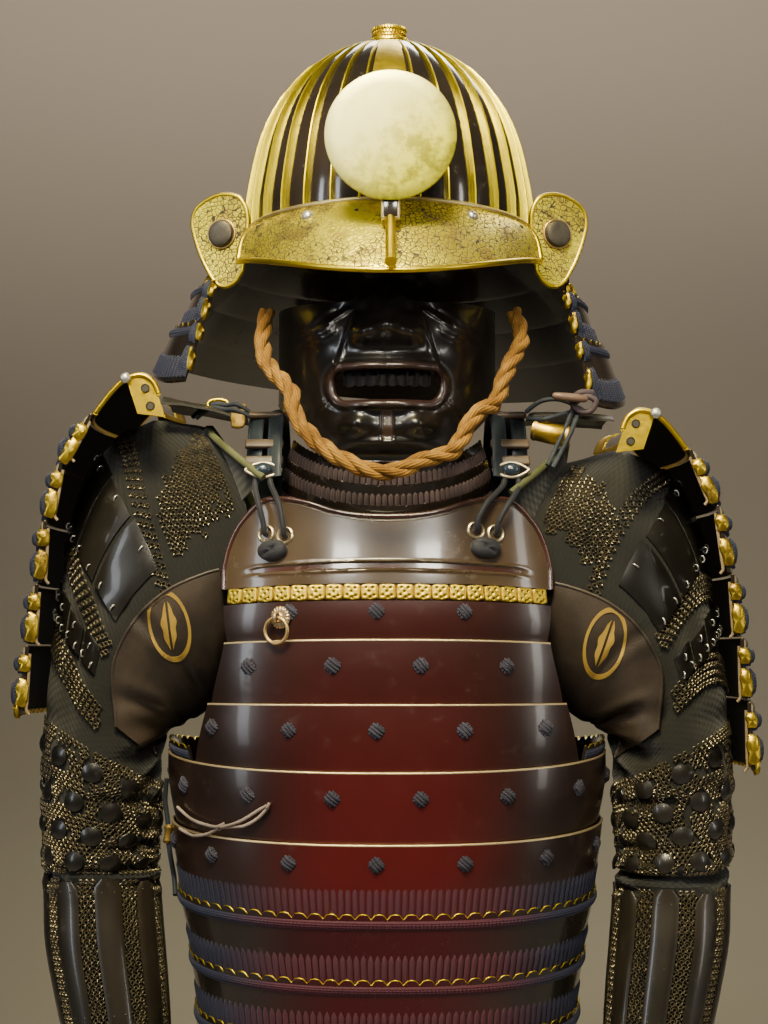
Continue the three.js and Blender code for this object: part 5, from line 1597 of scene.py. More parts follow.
def maskSwelling(x, z):
    side = abs(x)
    out = sum(tall * math.exp(-((side - fx) / across) ** 2 - ((z - fz) / up) ** 2)
              for fx, fz, across, up, tall in maskSet["forms"])
    edge = mixed(43, 29, (z - 20) / 44)  # raised field between nose and lip, with crisp sides
    field = smoothStep(edge - side, -1.4, 1.6) * smoothStep(z, 14, 24) * (1 - smoothStep(z, 60, 72))
    out += field * (5.2 + 1.6 * ridge(side - edge + 2.2, 2.0))
    away = lipDistance(x, z)
    if away < 12:
        out += (3.2 * math.exp(-((away - 2.4) / 3.0) ** 2)
                + 1.5 * ridge(away - 5.6, 0.9) - 0.9 * ridge(away - 8.0, 1.6))
    reach = math.hypot(side - 58, (z - 68) * 1.15)  # wrinkles below the cheekbone
    low = smoothStep(64 - z, 0, 8) * smoothStep(side, 38, 46)
    for radius in (14.5, 18.5, 22.5):
        out += low * (1.1 * ridge(reach - radius, 0.8) - 0.8 * ridge(reach - radius - 1.6, 0.9))
    lid = (z - 47) - (68 - side) * 0.66
    out += 2.2 * ridge(lid, 1.5) * smoothStep(side, 26, 32) * (1 - smoothStep(side, 62, 72))
    out -= 2.6 * ridge(lid - 6, 4.0) * smoothStep(side, 30, 40) * (1 - smoothStep(side, 60, 80))
    fold = (side - 47) + (z + 2) * 0.62 + 0.012 * (z + 8) ** 2  # creases beyond the corners of the mouth
    hold = smoothStep(z, -24, -16) * (1 - smoothStep(z, -2, 4))
    out += hold * (1.2 * ridge(fold, 1.1) - 1.0 * ridge(fold - 3, 1.2) + 0.9 * ridge(fold - 6, 1.0))
    strip = (1 - smoothStep(side, 3.2, 4.6)) * smoothStep(z, -36, -32) * (1 - smoothStep(z, -10, -7))
    out -= 1.3 * strip
    out += 0.8 * ridge(side - 5.0, 0.9) * smoothStep(z, -36, -32) * (1 - smoothStep(z, -10, -7))
    out -= 5.0 * smoothStep(-37 - z, 0, 7) * (1 - smoothStep(side, 28, 44))
    return out


def maskPoint(x, z, back):
    depth = tableAt(maskSet["levels"], z)[0]
    y = -depth * math.sqrt(1 - (x / maskSet["width"]) ** 2) - maskSwelling(x, z)
    return Vector((x * (1 - back / maskSet["width"]), y + back, z))


def makeMask():
    wide, centre, tall = maskSet["lipWide"], maskSet["lipCentre"], maskSet["lipTall"]
    def lipLine(x, up):
        corner = maskSet["upperCorner"] if up > 0 else tall
        inside = max(0.0, abs(x) - (wide - corner))
        return centre + up * (tall - corner + math.sqrt(max(0.0, corner ** 2 - inside ** 2))) if (
            abs(x) < wide) else centre
    reach = maskSet["width"] * math.sin(math.radians(maskSet["reach"]))
    half = [wide * share for share in spread(0, 0.76, 26)]
    half += [33.2, 34.6, 36, 37.2, 38.3, 39.3, 40.1, 40.8, 41.3, 41.7, 41.9, 42.0]  # closer at the corners
    half += [wide + (reach - wide) * share for share in spread(0, 1, 29)[1:]]
    half = sorted(set(half))
    xs = [-x for x in reversed(half[1:])] + half
    upShares = [0, 0.01, *spread(0.03, 1, 50)]
    downShares = [*spread(0, 0.97, 42), 0.99, 1]
    def top(x):
        return 78 + 11 * math.exp(-((x / 14) ** 2)) + 6 * (x / maskSet["width"]) ** 2
    def bottom(x):
        return -48 + 58 * (abs(x) / maskSet["width"]) ** 2.6
    blocks = []
    for shares, first, last in ((upShares, top, lambda x: lipLine(x, 1)),
                                (downShares, lambda x: lipLine(x, -1), bottom)):
        blocks.append([[(x, mixed(first(x), last(x), s)) for x in xs] for s in shares])
    bm = bmesh.new()
    lip = bm.verts.layers.float.new("lip")
    stain = bm.verts.layers.float.new("stain")
    grids = []
    for back in (0.0, maskSet["thick"]):
        for block in blocks:
            grid = []
            for row in block:
                line = []
                for x, z in row:
                    vert = bm.verts.new(maskPoint(x, z, back) * mm)
                    away = lipDistance(x, z)
                    vert[lip] = 1 - smoothStep(away, 4.6, 5.6)
                    vert[stain] = (1 - smoothStep(abs(x), 3.4, 5.0)) * smoothStep(z, -34, -30) * (
                        1 - smoothStep(z, -10, -7))
                    line.append(vert)
                grid.append(line)
            grids.append(grid)
    columns = len(xs)
    def skin(grid, flip, index):
        for row in range(len(grid) - 1):
            for column in range(columns - 1):
                quad = [grid[row][column], grid[row + 1][column], grid[row + 1][column + 1],
                        grid[row][column + 1]]
                bm.faces.new(reversed(quad) if flip else quad).material_index = index
    for number, grid in enumerate(grids):
        skin(grid, number > 1, 1 if number > 1 else 0)
    def join(lineA, lineB):
        for column in range(len(lineA) - 1):
            bm.faces.new((lineA[column], lineA[column + 1], lineB[column + 1], lineB[column]))
    mouth = [column for column, x in enumerate(xs) if abs(x) <= wide + 1e-6]
    join(grids[0][0], grids[2][0])
    join(grids[3][-1], grids[1][-1])
    join([grids[2][-1][c] for c in mouth], [grids[0][-1][c] for c in mouth])
    join([grids[1][0][c] for c in mouth], [grids[3][0][c] for c in mouth])
    for end in (0, -1):
        for block in (0, 1):
            outer = [row[end] for row in grids[block]]
            inner = [row[end] for row in grids[block + 2]]
            join(inner, outer) if end == 0 else join(outer, inner)
    bmesh.ops.remove_doubles(bm, verts=bm.verts, dist=1e-6)
    bmesh.ops.recalc_face_normals(bm, faces=bm.faces)
    mesh = bpy.data.meshes.new("faceMask")
    bm.to_mesh(mesh)
    bm.free()
    settle(addObject("faceMask", smoothed(mesh, 75), look["maskLacquer"], look["blackLacquer"]),
           ["face_mask"])
    edge = [maskPoint(x, bottom(x), 1.6) for x in xs[::2]]
    settle(sweepMany("maskRim", [edge], 2.2, look["rimLacquer"], 10))


def makeTeeth():
    teeth = {"half": 34, "top": 28, "edge": 9.5, "back": 6.4, "thick": 1.6, "width": 8.4}
    us = spread(-teeth["half"], teeth["half"], 84)
    def face(x, z, back):
        bite = (x / teeth["width"]) % 1
        swell = 1.4 * math.sqrt(max(0.0, 1 - (2 * bite - 1) ** 2))
        depth = tableAt(maskSet["levels"], 9.5)[0] * math.sqrt(1 - (x / maskSet["width"]) ** 2)
        return Vector((x, -depth - 6 + teeth["back"] + back - swell * (back < 1), z))
    def low(x):
        bite = (x / teeth["width"]) % 1
        return teeth["edge"] + 1.6 * (abs(2 * bite - 1) ** 3)
    shares = spread(0, 1, 6)
    outer = [[face(x, mixed(teeth["top"], low(x), s), 0) for x in us] for s in shares]
    inner = [[face(x, mixed(teeth["top"], low(x), s), teeth["thick"]) for x in us] for s in shares]
    wallGroup("maskTeeth", [(outer, inner)], look["toothMetal"], ["mask_teeth"], angle=60)


def makeThroat():
    levels, rise = [(-50, 80, 108), (-66, 86, 104), (-82, 90, 99), (-104, 92, 95)], 44
    def point(angle, z, out):
        width, front = tableAt(levels, z)
        turn = math.radians(angle)
        return Vector(((width + out) * math.sin(turn), -(front + out) * math.cos(turn),
                       z + rise * (1 - math.cos(turn))))
    for number, (top, foot) in enumerate(((-50.5, -65.6), (-66, -81.6), (-82, -104)), 1):
        table, length = [(0.0, 0.0)], 0.0
        for angle in spread(0, 66, 66)[1:]:
            length += (point(angle, top, 2) - point(table[-1][0], top, 2)).length
            table.append((angle, length))
        tall = top - foot
        def surface(u, drop, out, table=table, top=top, tall=tall):
            angle = math.copysign(angleAtArc(table, abs(u)), u)
            return point(angle, top - drop, 1.6 * (1 - min(1, drop / tall)) + out)
        shape = dict(laceShape, thick=1.8, headTall=1.8, pitch=7.0, ribPitch=4.6, ribWidth=4.0, ribTall=1.5,
                     ribHeight=tall * 0.62, goldRadius=0.4)
        row = lacedLame(surface, -length, length, tall, foot=0, shape=shape, band=False)
        settleLaced("throatLame%d" % number, [row], "blackLacquer",
                    ["throat_lame_%d" % number], "plumSilk", "rimLacquer", shape=shape)


makeNeckGuard()
makeMask()
makeTeeth()
makeThroat()
print("armour: neck guard, mask and throat made")


# sleeves
sleeveSet = {"drop": 30, "rowLength": 48, "wall": 2.2, "splintRows": (7.6, 12.7), "splintPitch": 43.2,
             "splintStart": -22.4, "splintWide": 24, "splintCount": 5, "linkPitch": 4.5,
             "rings": [(0, 126, -190, 147, -10, 71, 0, 27), (1, 134, -226, 194, -4, 79, 0, 19),
                       (2, 148, -243, 238, -34, 81, 0, 12), (3, 167, -253, 261, -90, 74, 0, 4),
                       (4, 184, -264, 272, -160, 65, 0, 0), (5, 189, -295, 281, -232, 57, 0, 0),
                       (6, 189, -332, 284, -300, 53, 2, 0), (7, 192, -362, 283, -352, 50, 4, 0),
                       (8, 190, -392, 280, -393, 49, 3, 0), (9, 186, -430, 277, -434, 48, -4, 0),
                       (10, 181, -475, 266, -482, 45, -13, 0), (11, 178, -522, 253, -531, 40, -22, 0),
                       (12, 181, -572, 242, -582, 34, -30, 0), (13, 187, -616, 240, -626, 29, -36, 0)],
           # creases: from row and degrees, to row and degrees, half width, depth
           "creases": [(2.9, 12, 4.3, 74, 6, 4.5), (3.6, -6, 5.1, 62, 7, 6.5), (4.3, -24, 5.5, 38, 6, 5),
                       (2.1, 38, 3.0, 98, 5, 2.6), (3.1, -18, 4.7, -78, 7, 5.5), (4.0, -12, 5.3, -62, 6, 4.8),
                       (2.0, -44, 3.1, -100, 6, 2.8), (1.1, 96, 4.7, 118, 9, 2.8),
                       (0.7, 148, 4.2, 163, 9, 2.6),
                       (0.9, 216, 4.6, 204, 10, 3.4), (1.3, 252, 4.9, 264, 8, 2.6),
                       (7.36, -28, 7.55, 122, 5, 6.5),
                       (7.62, 104, 7.30, 206, 5, 4.2), (6.6, -34, 6.95, 72, 5, 3.8),
                       (8.0, -44, 7.82, 52, 4.5, 3.6),
                       (7.0, 218, 7.35, 334, 6, 3.6), (6.2, 238, 6.0, 318, 7, 2.6),
                       (5.6, 18, 5.95, 92, 5, 3.2),
                       (5.3, -34, 5.7, 22, 6, 4.2), (5.9, 120, 6.3, 186, 6, 2.2),
                       (4.9, 108, 5.2, 170, 7, 2.4),
                       (5.1, 214, 5.5, 288, 7, 2.8), (7.9, 228, 8.2, 300, 5, 2.4),
                       (9.1, -62, 9.7, -24, 5, 2.2),
                       (10.3, 214, 10.9, 258, 6, 2.0), (11.0, -76, 11.5, -28, 5, 2.0),
                       (12.5, -40, 12.62, 104, 3, 1.6),
                       (12.4, 150, 12.55, 300, 3.5, 1.8)]}


def sleevePoint(side, row, degrees, out):
    innerX, innerZ, outerX, outerZ, depth, y, bow = tableAt(sleeveSet["rings"], row)
    if side > 0:
        outerZ -= sleeveSet["drop"] * max(0.0, 1 - row / 6)
    turn = math.radians(degrees)
    acrossX, acrossZ = outerX - innerX, outerZ - innerZ
    length = math.hypot(acrossX, acrossZ)
    reach = (length / 2 + out) * math.cos(turn) / length
    return Vector((side * ((innerX + outerX) / 2 - acrossX * reach - bow * math.sin(turn) ** 2),
                   y - (depth + out) * math.sin(turn), (innerZ + outerZ) / 2 - acrossZ * reach))


def sleeveCrease(side, row, degrees):
    total, step = 0.0, sleeveSet["rowLength"]
    for index, (rowA, degA, rowB, degB, width, depth) in enumerate(sleeveSet["creases"]):
        shift = 0.12 * math.sin(index * 2.3 + side)
        if not min(rowA, rowB) - 0.8 < row - shift < max(rowA, rowB) + 0.8:
            continue
        mid = (degA + degB) / 2
        here = (degrees - mid + 180) % 360 - 180 + mid
        ax, ay = degA * 1.05, (rowA + shift) * step
        bx, by = degB * 1.05, (rowB + shift) * step
        px, py = here * 1.05 - ax, row * step - ay
        dx, dy = bx - ax, by - ay
        length = math.hypot(dx, dy)
        along = (px * dx + py * dy) / length ** 2
        if not -0.15 < along < 1.15:
            continue
        bend = 3.5 * math.sin(along * math.pi) * math.sin(index * 1.7)
        away = abs((px * dy - py * dx) / length + bend)
        fade = max(0.0, math.sin((along + 0.15) / 1.3 * math.pi)) ** 0.7
        depth *= (1 + 0.25 * math.sin(index * 5.1 + side * 2)) * fade
        groove, lips = math.exp(-(away / width) ** 2), math.exp(-((away - 1.9 * width) / width) ** 2)
        total += 0.42 * depth * lips - depth * groove
    return total


def sleeveSurface(side, calm=1.0):  # u in degrees, v in millimetres down the arm
    def surface(u, v, out):
        row = v / sleeveSet["rowLength"]
        return sleevePoint(side, row, u, out + calm * sleeveCrease(side, row, u))
    return surface


def softWrinkle(side, row, degrees):
    spot = Vector((degrees * 0.035, row * 1.9, side * 4.0))
    return 1.0 * noise.noise(spot) + 0.45 * noise.noise(spot * 2.7)


def headEdge(side, steps):  # the cloth's upper front edge, from the shoulder down to the strap
    drop = 0 if side < 0 else 12
    points = [(149, -14, -12 - drop), (142, -40, -21 - drop), (128, -64, -34 - drop), (113, -81, -47 - drop),
              (98, -90, -59 - drop)]
    return smoothRoute([Vector((side * x, y, z)) for x, y, z in points], steps)


def makeSleeveHead(name, side):  # the corner of the cloth that reaches in to the strap
    upper = headEdge(side, 8)
    lower = [sleevePoint(side, 0.06, turn, -0.4) for turn in spread(171, 106, len(upper) - 1)]
    rows = []
    for share in spread(0, 1, 12):
        row = []
        for step, (a, b) in enumerate(zip(upper, lower)):
            swell = 3.0 * math.sin(share * math.pi) * math.sin(step / (len(upper) - 1) * math.pi)
            row.append(a.lerp(b, share) + Vector((0, -swell, 0.3 * swell)))
        rows.append(row)
    back = [[point + Vector((0, 2.0, 0)) for point in row] for row in rows]
    return wallGroup("sleeveHead" + name, [(rows, back)], look["sleeveCloth"], angle=60)


def makeSleeveCloth(name, side):
    rows = [*spread(0, 5.2, 72), *spread(5.2, 8.2, 30)[1:], *spread(8.2, 13, 24)[1:]]
    turns = [360 * i / 92 for i in range(92)]
    relief = []
    for row in rows:
        line = []
        for turn in turns:
            wave = softWrinkle(side, row, turn if turn < 180 else 360 - turn)
            line.append(max(-7.0, min(3.2, sleeveCrease(side, row, turn) + wave)))
        relief.append(line)
    outer = [[sleevePoint(side, row, turn, deep) for turn, deep in zip(turns, line)]
             for row, line in zip(rows, relief)]
    inner = [[sleevePoint(side, row, turn, deep - sleeveSet["wall"]) for turn, deep in zip(turns, line)]
             for row, line in zip(rows, relief)]
    mesh = wallMesh("sleeve" + name, outer, inner, True, 60, (0.30, 0.66))
    sleeve = addObject("sleeve" + name, mesh, look["sleeveCloth"])
    settle(sleeve, ["sleeve_" + name.lower()])
    head = makeSleeveHead(name, side)
    edge = list(reversed(headEdge(side, 26)))
    edge += [sleevePoint(side, 0.0, turn, -0.6) for turn in spread(172, 420, 66)]
    bound = sweepMany("sleeveBinding" + name, [edge], 3.0, look["oliveSilk"], 8)
    cuff = [sleevePoint(side, 13.0, turn, -0.6) for turn in spread(0, 360, 60)]
    bottom = sweepMany("cuffBinding" + name, [cuff], 2.2, look["facingHide"], 10)
    settle(bound)
    settle(bottom)


def makeFacing(name, side):
    rows = spread(0.8, 4.6, 50)
    def edge(row, share):  # the leather's two edges, curved as it was cut
        low = 20 - 9 * math.sin(smoothStep(row, 0.8, 4.6) * math.pi)
        high = 80 + 5 * math.sin((row - 0.8) / 3.8 * math.pi) - 10 * smoothStep(row, 3.6, 4.6)
        return mixed(low, high, share)
    def relief(row, turn):
        fold = (1.7 * math.sin(row * 2.3 + turn * 0.055 + side)
                + 1.1 * noise.noise(Vector((row * 1.1, turn * 0.03, 5))))
        return 0.4 * sleeveCrease(side, row, turn) + fold
    def point(row, share, out):
        turn = edge(row, share)
        base = max(relief(row, turn), sleeveCrease(side, row, turn) + 1.2)
        return sleevePoint(side, row, turn, base + out)
    shares = spread(0, 1, 30)
    outer = [[point(row, s, 1.9) for s in shares] for row in rows]
    inner = [[point(row, s, 0.4) for s in shares] for row in rows]
    panel = wallGroup("sleeveFacing" + name, [(outer, inner)], look["facingHide"],
                      ["sleeve_facing_" + name.lower()], angle=60)
    welts = [[point(row, s, 1.3) for row in rows] for s in (0.0, 1.0)]
    piping = sweepMany("facingPiping" + name, welts, 1.5, look["facingHide"], 6)
    settle(piping)
    makeBadge(name, side, point)


def seekOn(point, x, z, rows, shares):  # the place on a panel that shows at this x and z from the front
    row, share = sum(rows) / 2, sum(shares) / 2
    for _ in range(14):
        here = point(row, share, 1.9)
        dRow = point(row + 0.02, share, 1.9) - here
        dShare = point(row, share + 0.01, 1.9) - here
        det = dRow.x * dShare.z - dShare.x * dRow.z
        ex, ez = x - here.x, z - here.z
        if abs(det) < 1e-9:
            break
        row += max(-0.5, min(0.5, (ex * dShare.z - dShare.x * ez) / det * 0.02))
        share += max(-0.2, min(0.2, (dRow.x * ez - ex * dRow.z) / det * 0.01))
        row = min(rows[1], max(rows[0], row))
        share = min(shares[1], max(shares[0], share))
    return row, share


def makeBadge(name, side, point):  # gilt ring and plain pointed leaf, gilded on thin leather
    badge = {"x": side * 173, "z": -176 if side < 0 else -190, "half": 16.5, "tall": 29, "lean": 12 * side}
    def spotAt(dx, dz, out):
        lean = math.radians(badge["lean"])
        x = badge["x"] + dx * math.cos(lean) + dz * math.sin(lean)
        z = badge["z"] - dx * math.sin(lean) + dz * math.cos(lean)
        row, share = seekOn(point, x, z, (0.9, 4.5), (0.02, 0.98))
        return point(row, share, out)
    def ringRow(size, out):
        return [spotAt(badge["half"] * size * math.sin(t), badge["tall"] * size * math.cos(t), out)
                for t in [2 * math.pi * i / 56 for i in range(56)]]
    outer = [ringRow(size, 2.5) for size in (1.0, 0.95, 0.9, 0.86)]
    inner = [ringRow(size, 2.0) for size in (1.0, 0.95, 0.9, 0.86)]
    ring = addObject("badgeRing" + name, wallMesh("badgeRing" + name, outer, inner, True, 60),
                     look["badgeGilt"])
    settle(ring)
    leaves = []
    for lean in (-1, 1):
        def leaf(out):
            rows = []
            for v in spread(-1, 1, 26):
                wide = 0.30 * (1 - abs(v) ** 1.8)
                notch = 0.05 * math.sin(v * 9) * (1 - abs(v))
                rows.append([spotAt(badge["half"] * (lean * (0.06 + s * (wide + notch)) + 0.12 * v),
                                    badge["tall"] * 0.66 * v, out) for s in spread(0, 1, 5)])
            return rows
        leaves.append((leaf(2.5), leaf(2.0)))
    wallGroup("badgeLeaf" + name, leaves, look["badgeGilt"], angle=60)


def linkMesh():  # one flat ring of mail with the two small links that join it to its neighbours
    points, faces, sides = [], [], 5
    for corner in range(sides):
        turn = 2 * math.pi * corner / sides
        points += [Vector((out * math.cos(turn), out * math.sin(turn), up))
                   for out, up in ((1.35, 0.1), (2.45, 0.1), (1.9, 1.05))]
        ahead = (corner + 1) % sides
        for edge in range(3):
            following = (edge + 1) % 3
            faces.append((corner * 3 + edge, corner * 3 + following, ahead * 3 + following, ahead * 3 + edge))
    for along, aside in ((Vector((1, 0, 0)), Vector((0, 0.55, 0))),
                         (Vector((0, -1, 0)), Vector((0.55, 0, 0)))):
        first = len(points)
        up = Vector((0, 0, 1))
        points += [along * 1.4 + aside + up * 0.8, along * 1.4 - aside + up * 0.8, along * 3.1 + up * 1.4,
                   along * 3.1 + up * 0.2]
        faces += [tuple(first + corner for corner in face)
                  for face in ((0, 1, 2), (0, 3, 1), (0, 2, 3), (1, 3, 2))]
    link = meshFrom("mailLink", points, faces)
    bm = bmeshOf(link)
    bmesh.ops.recalc_face_normals(bm, faces=bm.faces)
    bm.to_mesh(link)
    bm.free()
    return smoothed(link, 80)


def mailField(side, rows, degrees, keep=None):
    surface, places = sleeveSurface(side), []
    step, pitch = sleeveSet["rowLength"], sleeveSet["linkPitch"]
    low, high = degrees
    middle = (low + high) / 2
    tall = (surface(middle, rows[1] * step, 0) - surface(middle, rows[0] * step, 0)).length
    count = max(1, round(tall / pitch))
    for index in range(count):
        row = mixed(rows[0], rows[1], (index + 0.5) / count)
        wide = sum((surface(mixed(low, high, (i + 1) / 8), row * step, 0)
                    - surface(mixed(low, high, i / 8), row * step, 0)).length for i in range(8))
        across = max(1, round(wide / pitch))
        for column in range(across):
            turn = mixed(low, high, (column + 0.5 + (0.25 if index % 2 else -0.25)) / across)
            if keep and not keep(row, turn):
                continue
            spot, out, up = facingOut(surface, turn, row * step)
            places.append((spot + out * 0.9, out, up, (1, 1, 1)))
    return places


def makeForearm(name, side):
    first, last = sleeveSet["splintRows"]
    first += 0.25 if side > 0 else 0
    surface, step = sleeveSurface(side, 0.35), sleeveSet["rowLength"]
    walls, mail = [], []
    for index in range(sleeveSet["splintCount"]):
        start = sleeveSet["splintStart"] + sleeveSet["splintPitch"] * index
        rows = spread(first + (0.1 if index % 2 else 0), last, 26)
        def ends(row):  # a splint narrows to a rounded point at either end
            share = (row - rows[0]) / (rows[-1] - rows[0])
            close = 1 - max(0.0, 1 - share * 20) ** 2 * 0.55 - max(0.0, 1 - (1 - share) * 20) ** 2 * 0.75
            return start + sleeveSet["splintWide"] / 2, sleeveSet["splintWide"] / 2 * close * (
                1 + 0.12 * (1 - share))
        shares = [-1, -0.97, -0.88, -0.72, *spread(-0.5, 0.5, 6), 0.72, 0.88, 0.97, 1]
        def grid(base, arch):
            lines = []
            for row in rows:
                middle, half = ends(row)
                lines.append([surface(middle + half * s, row * step, base + arch * (
                    1.35 * (1 - abs(s) ** 3.2) + 0.9 * math.exp(-((s - 0.62) / 0.09) ** 2))) for s in shares])
            return lines
        walls.append((grid(2.0, 1), grid(0.6, 0)))
        low, high = start + sleeveSet["splintWide"] + 0.5, start + sleeveSet["splintPitch"] - 0.5
        if index < sleeveSet["splintCount"] - 1:
            mail += mailField(side, (first, last), (low, high))
    mail += mailField(side, (first, last), (sleeveSet["splintStart"] - 20, sleeveSet["splintStart"] - 0.5))
    mail += mailField(side, (first, last), (low, low + 17))
    wallGroup("forearmSplints" + name, walls, look["splintLacquer"],
              ["forearm_splints_" + name.lower()], angle=50)
    settle(placeMany("forearmMail" + name, mail, linkMesh(), look["mail"], 0.25, 21))
    rings = []
    for index in range(sleeveSet["splintCount"]):
        middle = sleeveSet["splintStart"] + sleeveSet["splintPitch"] * index + sleeveSet["splintWide"] / 2
        for row in (first + 0.32, (first + last) / 2, last - 0.25):
            for shift in (-6, 6):
                spot, out, up = facingOut(surface, middle + shift, row * step)
                rings.append((spot + out * 3.0, out, up, (0.5, 0.5, 0.5)))
    dome = latheMesh("splintPin", [(0, -1), (1.8, -1), (1.8, 0.3), (1.1, 1.0), (0, 1.2)], 10)
    settle(placeMany("splintPins" + name, rings, dome, look["darkIron"]))


def makeUpperArm(name, side):
    surface, step = sleeveSurface(side, 0.5), sleeveSet["rowLength"]
    drop = 0.0 if side < 0 else 0.05
    walls, loops, domes, mail = [], [], [], []
    for rowA, rowB, pitch, low, high in ((1.95, 3.15, 25, 92, 268), (3.72, 4.16, 19, 94, 266)):
        count = int((high - low) / pitch)
        for index in range(count):
            a, b = low + pitch * index + 1.2, low + pitch * (index + 1) - 1.2
            rows = spread(rowA + drop + 0.05 * (index % 2), rowB + drop, 10)
            def swell(row, s):  # a plate's crown, which starts low at its top edge
                near = min(1, max(0, (row - rows[0]) / (rows[-1] - rows[0])) * 8 + 0.2)
                return 1.5 * (1 - s * s) ** 0.6 * math.sin(near * math.pi / 2)
            def grid(base, arch):
                return [[surface(mixed(a, b, (s + 1) / 2), row * step, base + arch * swell(row, s))
                         for s in spread(-1, 1, 8)] for row in rows]
            walls.append((grid(1.9, 1), grid(0.5, 0)))
            for row, s in ((rowA + drop + 0.12, 0.0), (rowB + drop - 0.10, -0.55), (rowB + drop - 0.12, 0.6)):
                spot, out, up = facingOut(surface, mixed(a, b, (s + 1) / 2), row * step)
                loops.append((spot + out * 3.2, out, up, (1, 1, 1)))
    lean = lambda row, turn: row + 0.22 * math.sin(math.radians(turn) * 2 + side)
    def slanted(rowA, rowB, low, high):
        places, arm = [], sleeveSurface(side)
        count = max(1, round((rowB - rowA) * step / sleeveSet["linkPitch"]))
        across = max(1, round((high - low) * 1.12 / sleeveSet["linkPitch"]))
        for index in range(count):
            for column in range(across):
                turn = mixed(low, high, (column + 0.5 + (0.25 if index % 2 else -0.25)) / across)
                row = lean(mixed(rowA, rowB, (index + 0.5) / count), turn)
                spot, out, up = facingOut(arm, turn, row * step)
                places.append((spot + out * 1.0, out, up, (1, 1, 1)))
        return places
    mail += slanted(3.26 + drop, 3.62 + drop, 90, 272)
    mail += slanted(4.28 + drop, 4.70 + drop, 86, 276)
    mail += slanted(1.62, 1.9, 84, 276)
    def ragged(row, turn):  # worn away in patches along its edges
        middle = 116 - 20 * (row - 0.9)
        worn = noise.noise(Vector((turn * 0.16, row * 6.0, side * 3.0))) + 0.5 * noise.noise(
            Vector((turn * 0.4, row * 15.0, side)))
        return abs(turn - middle) / (25 - 9 * row) + worn * 0.6 < 1.0
    mail += mailField(side, (0.22, 1.6), (56, 158), keep=ragged)
    def oval(row, turn, wide, tall):
        spot, out, up = facingOut(surface, turn, row * step)
        domes.append((spot + out * 1.0, out, up, (wide, tall, 1.0)))
    centres = []
    for ring in range(4):
        for index in range(10):
            centres.append((5.55 + ring * 0.56, 18 + 36 * index + (18 if ring % 2 else 0)))
    for row, turn in centres:
        oval(row, turn, 1.0, 0.92)
    def lattice(row, turn):
        for rowC, turnC in centres:
            away = (turn - turnC + 180) % 360 - 180
            if (away / 11.5) ** 2 + ((row - rowC) / 0.185) ** 2 < 1:
                return False
        worn = noise.noise(Vector((turn * 0.11, row * 3.1, side * 7.0)))
        return worn < 0.28
    mail += mailField(side, (5.22, 7.52), (0, 360), keep=lattice)
    wallGroup("armPlates" + name, walls, look["plateLacquer"], angle=50)
    loop = tubeMesh("plateLoop", [[Vector((0, 2.6, -1.5)), Vector((0, 2.4, 0.6)), Vector((0, 1.0, 1.3)),
                                   Vector((0, -1.0, 1.3)), Vector((0, -2.4, 0.6)), Vector((0, -2.6, -1.5))]],
                    0.75, 6, 80)
    settle(placeMany("armLoops" + name, loops, loop, look["silver"], 0.3, 13))
    dome = latheMesh("armDome", [(0, -1), (8.6, -1), (9.0, -0.2), (8.7, 0.7), (7.6, 1.2), (4.5, 2.6),
                                 (0, 3.3)], 16)
    settle(placeMany("armDomes" + name, domes, dome, look["plateLacquer"], 0.1, 17))
    settle(placeMany("armMail" + name, mail, linkMesh(), look["mail"], 0.35, 19))


def makeHandPlate(name, side):
    table = [(-634, 24, -66), (-655, 30, -74), (-685, 31, -76), (-712, 28, -72), (-728, 15, -66)]
    def point(z, share, back):
        half, y = tableAt(table, z)
        ridges = 0.8 * math.exp(-((share - 0.0) / 0.05) ** 2) if back < 1 else 0
        return Vector((side * (216 + half * share), y + 16 * share ** 2 + back - ridges, z))
    rows, shares = spread(-634, -728, 28), spread(-1, 1, 32)
    outer = [[point(z, s, 0) for s in shares] for z in rows]
    inner = [[point(z, s, 2) for s in shares] for z in rows]
    lower = name.lower()
    wallGroup("handPlate" + name, [(outer, inner)], look["splintLacquer"],
              ["hand_plate_" + lower], angle=50)
    rim = [point(z, -1, 1) for z in rows] + [point(rows[-1], s, 1) for s in shares[1:-1]]
    rim += [point(z, 1, 1) for z in reversed(rows)] + [point(rows[0], s, 1) for s in reversed(shares[1:-1])]
    settle(sweepMany("handPlateRim" + name, [rim + rim[:1]], 1.6, look["rimLacquer"], 8))
    cords = []
    for share in (-0.5, 0.0, 0.5):
        cuff = sleevePoint(side, 12.9, 90 + 34 * share * side, 0.4)
        low = point(-641, share, 0) + Vector((0, -1.6, 0))
        cords.append([cuff + Vector((0, -1.0, 4)), cuff + Vector((0, -2.0, -2)), low + Vector((0, -0.6, 6)),
                      low,
                      low + Vector((0, 3.4, -1))])
    cords = [smoothRoute(route, 6) for route in cords]
    settle(sweepMany("handCords" + name, cords, 1.6, look["blueCord"], 8))


for sleeveName, sleeveSide in (("Right", -1), ("Left", 1)):
    makeSleeveCloth(sleeveName, sleeveSide)
    makeFacing(sleeveName, sleeveSide)
    makeForearm(sleeveName, sleeveSide)
    makeUpperArm(sleeveName, sleeveSide)
    makeHandPlate(sleeveName, sleeveSide)
print("armour: sleeves made")


# shoulder guards
guardSet = {"half": 104, "bulge": 14, "thick": 3,
            "Right": [(229, -10), (252, -48), (264, -94), (270, -144), (277, -192), (284, -246)],
            "Left": [(234, -38), (255, -82), (266, -136), (273, -186), (278, -236), (283, -290)],
            "top": [(50, 17), (46, 26), (36, 32), (23, 29), (11, 18), (-1, 2)]}


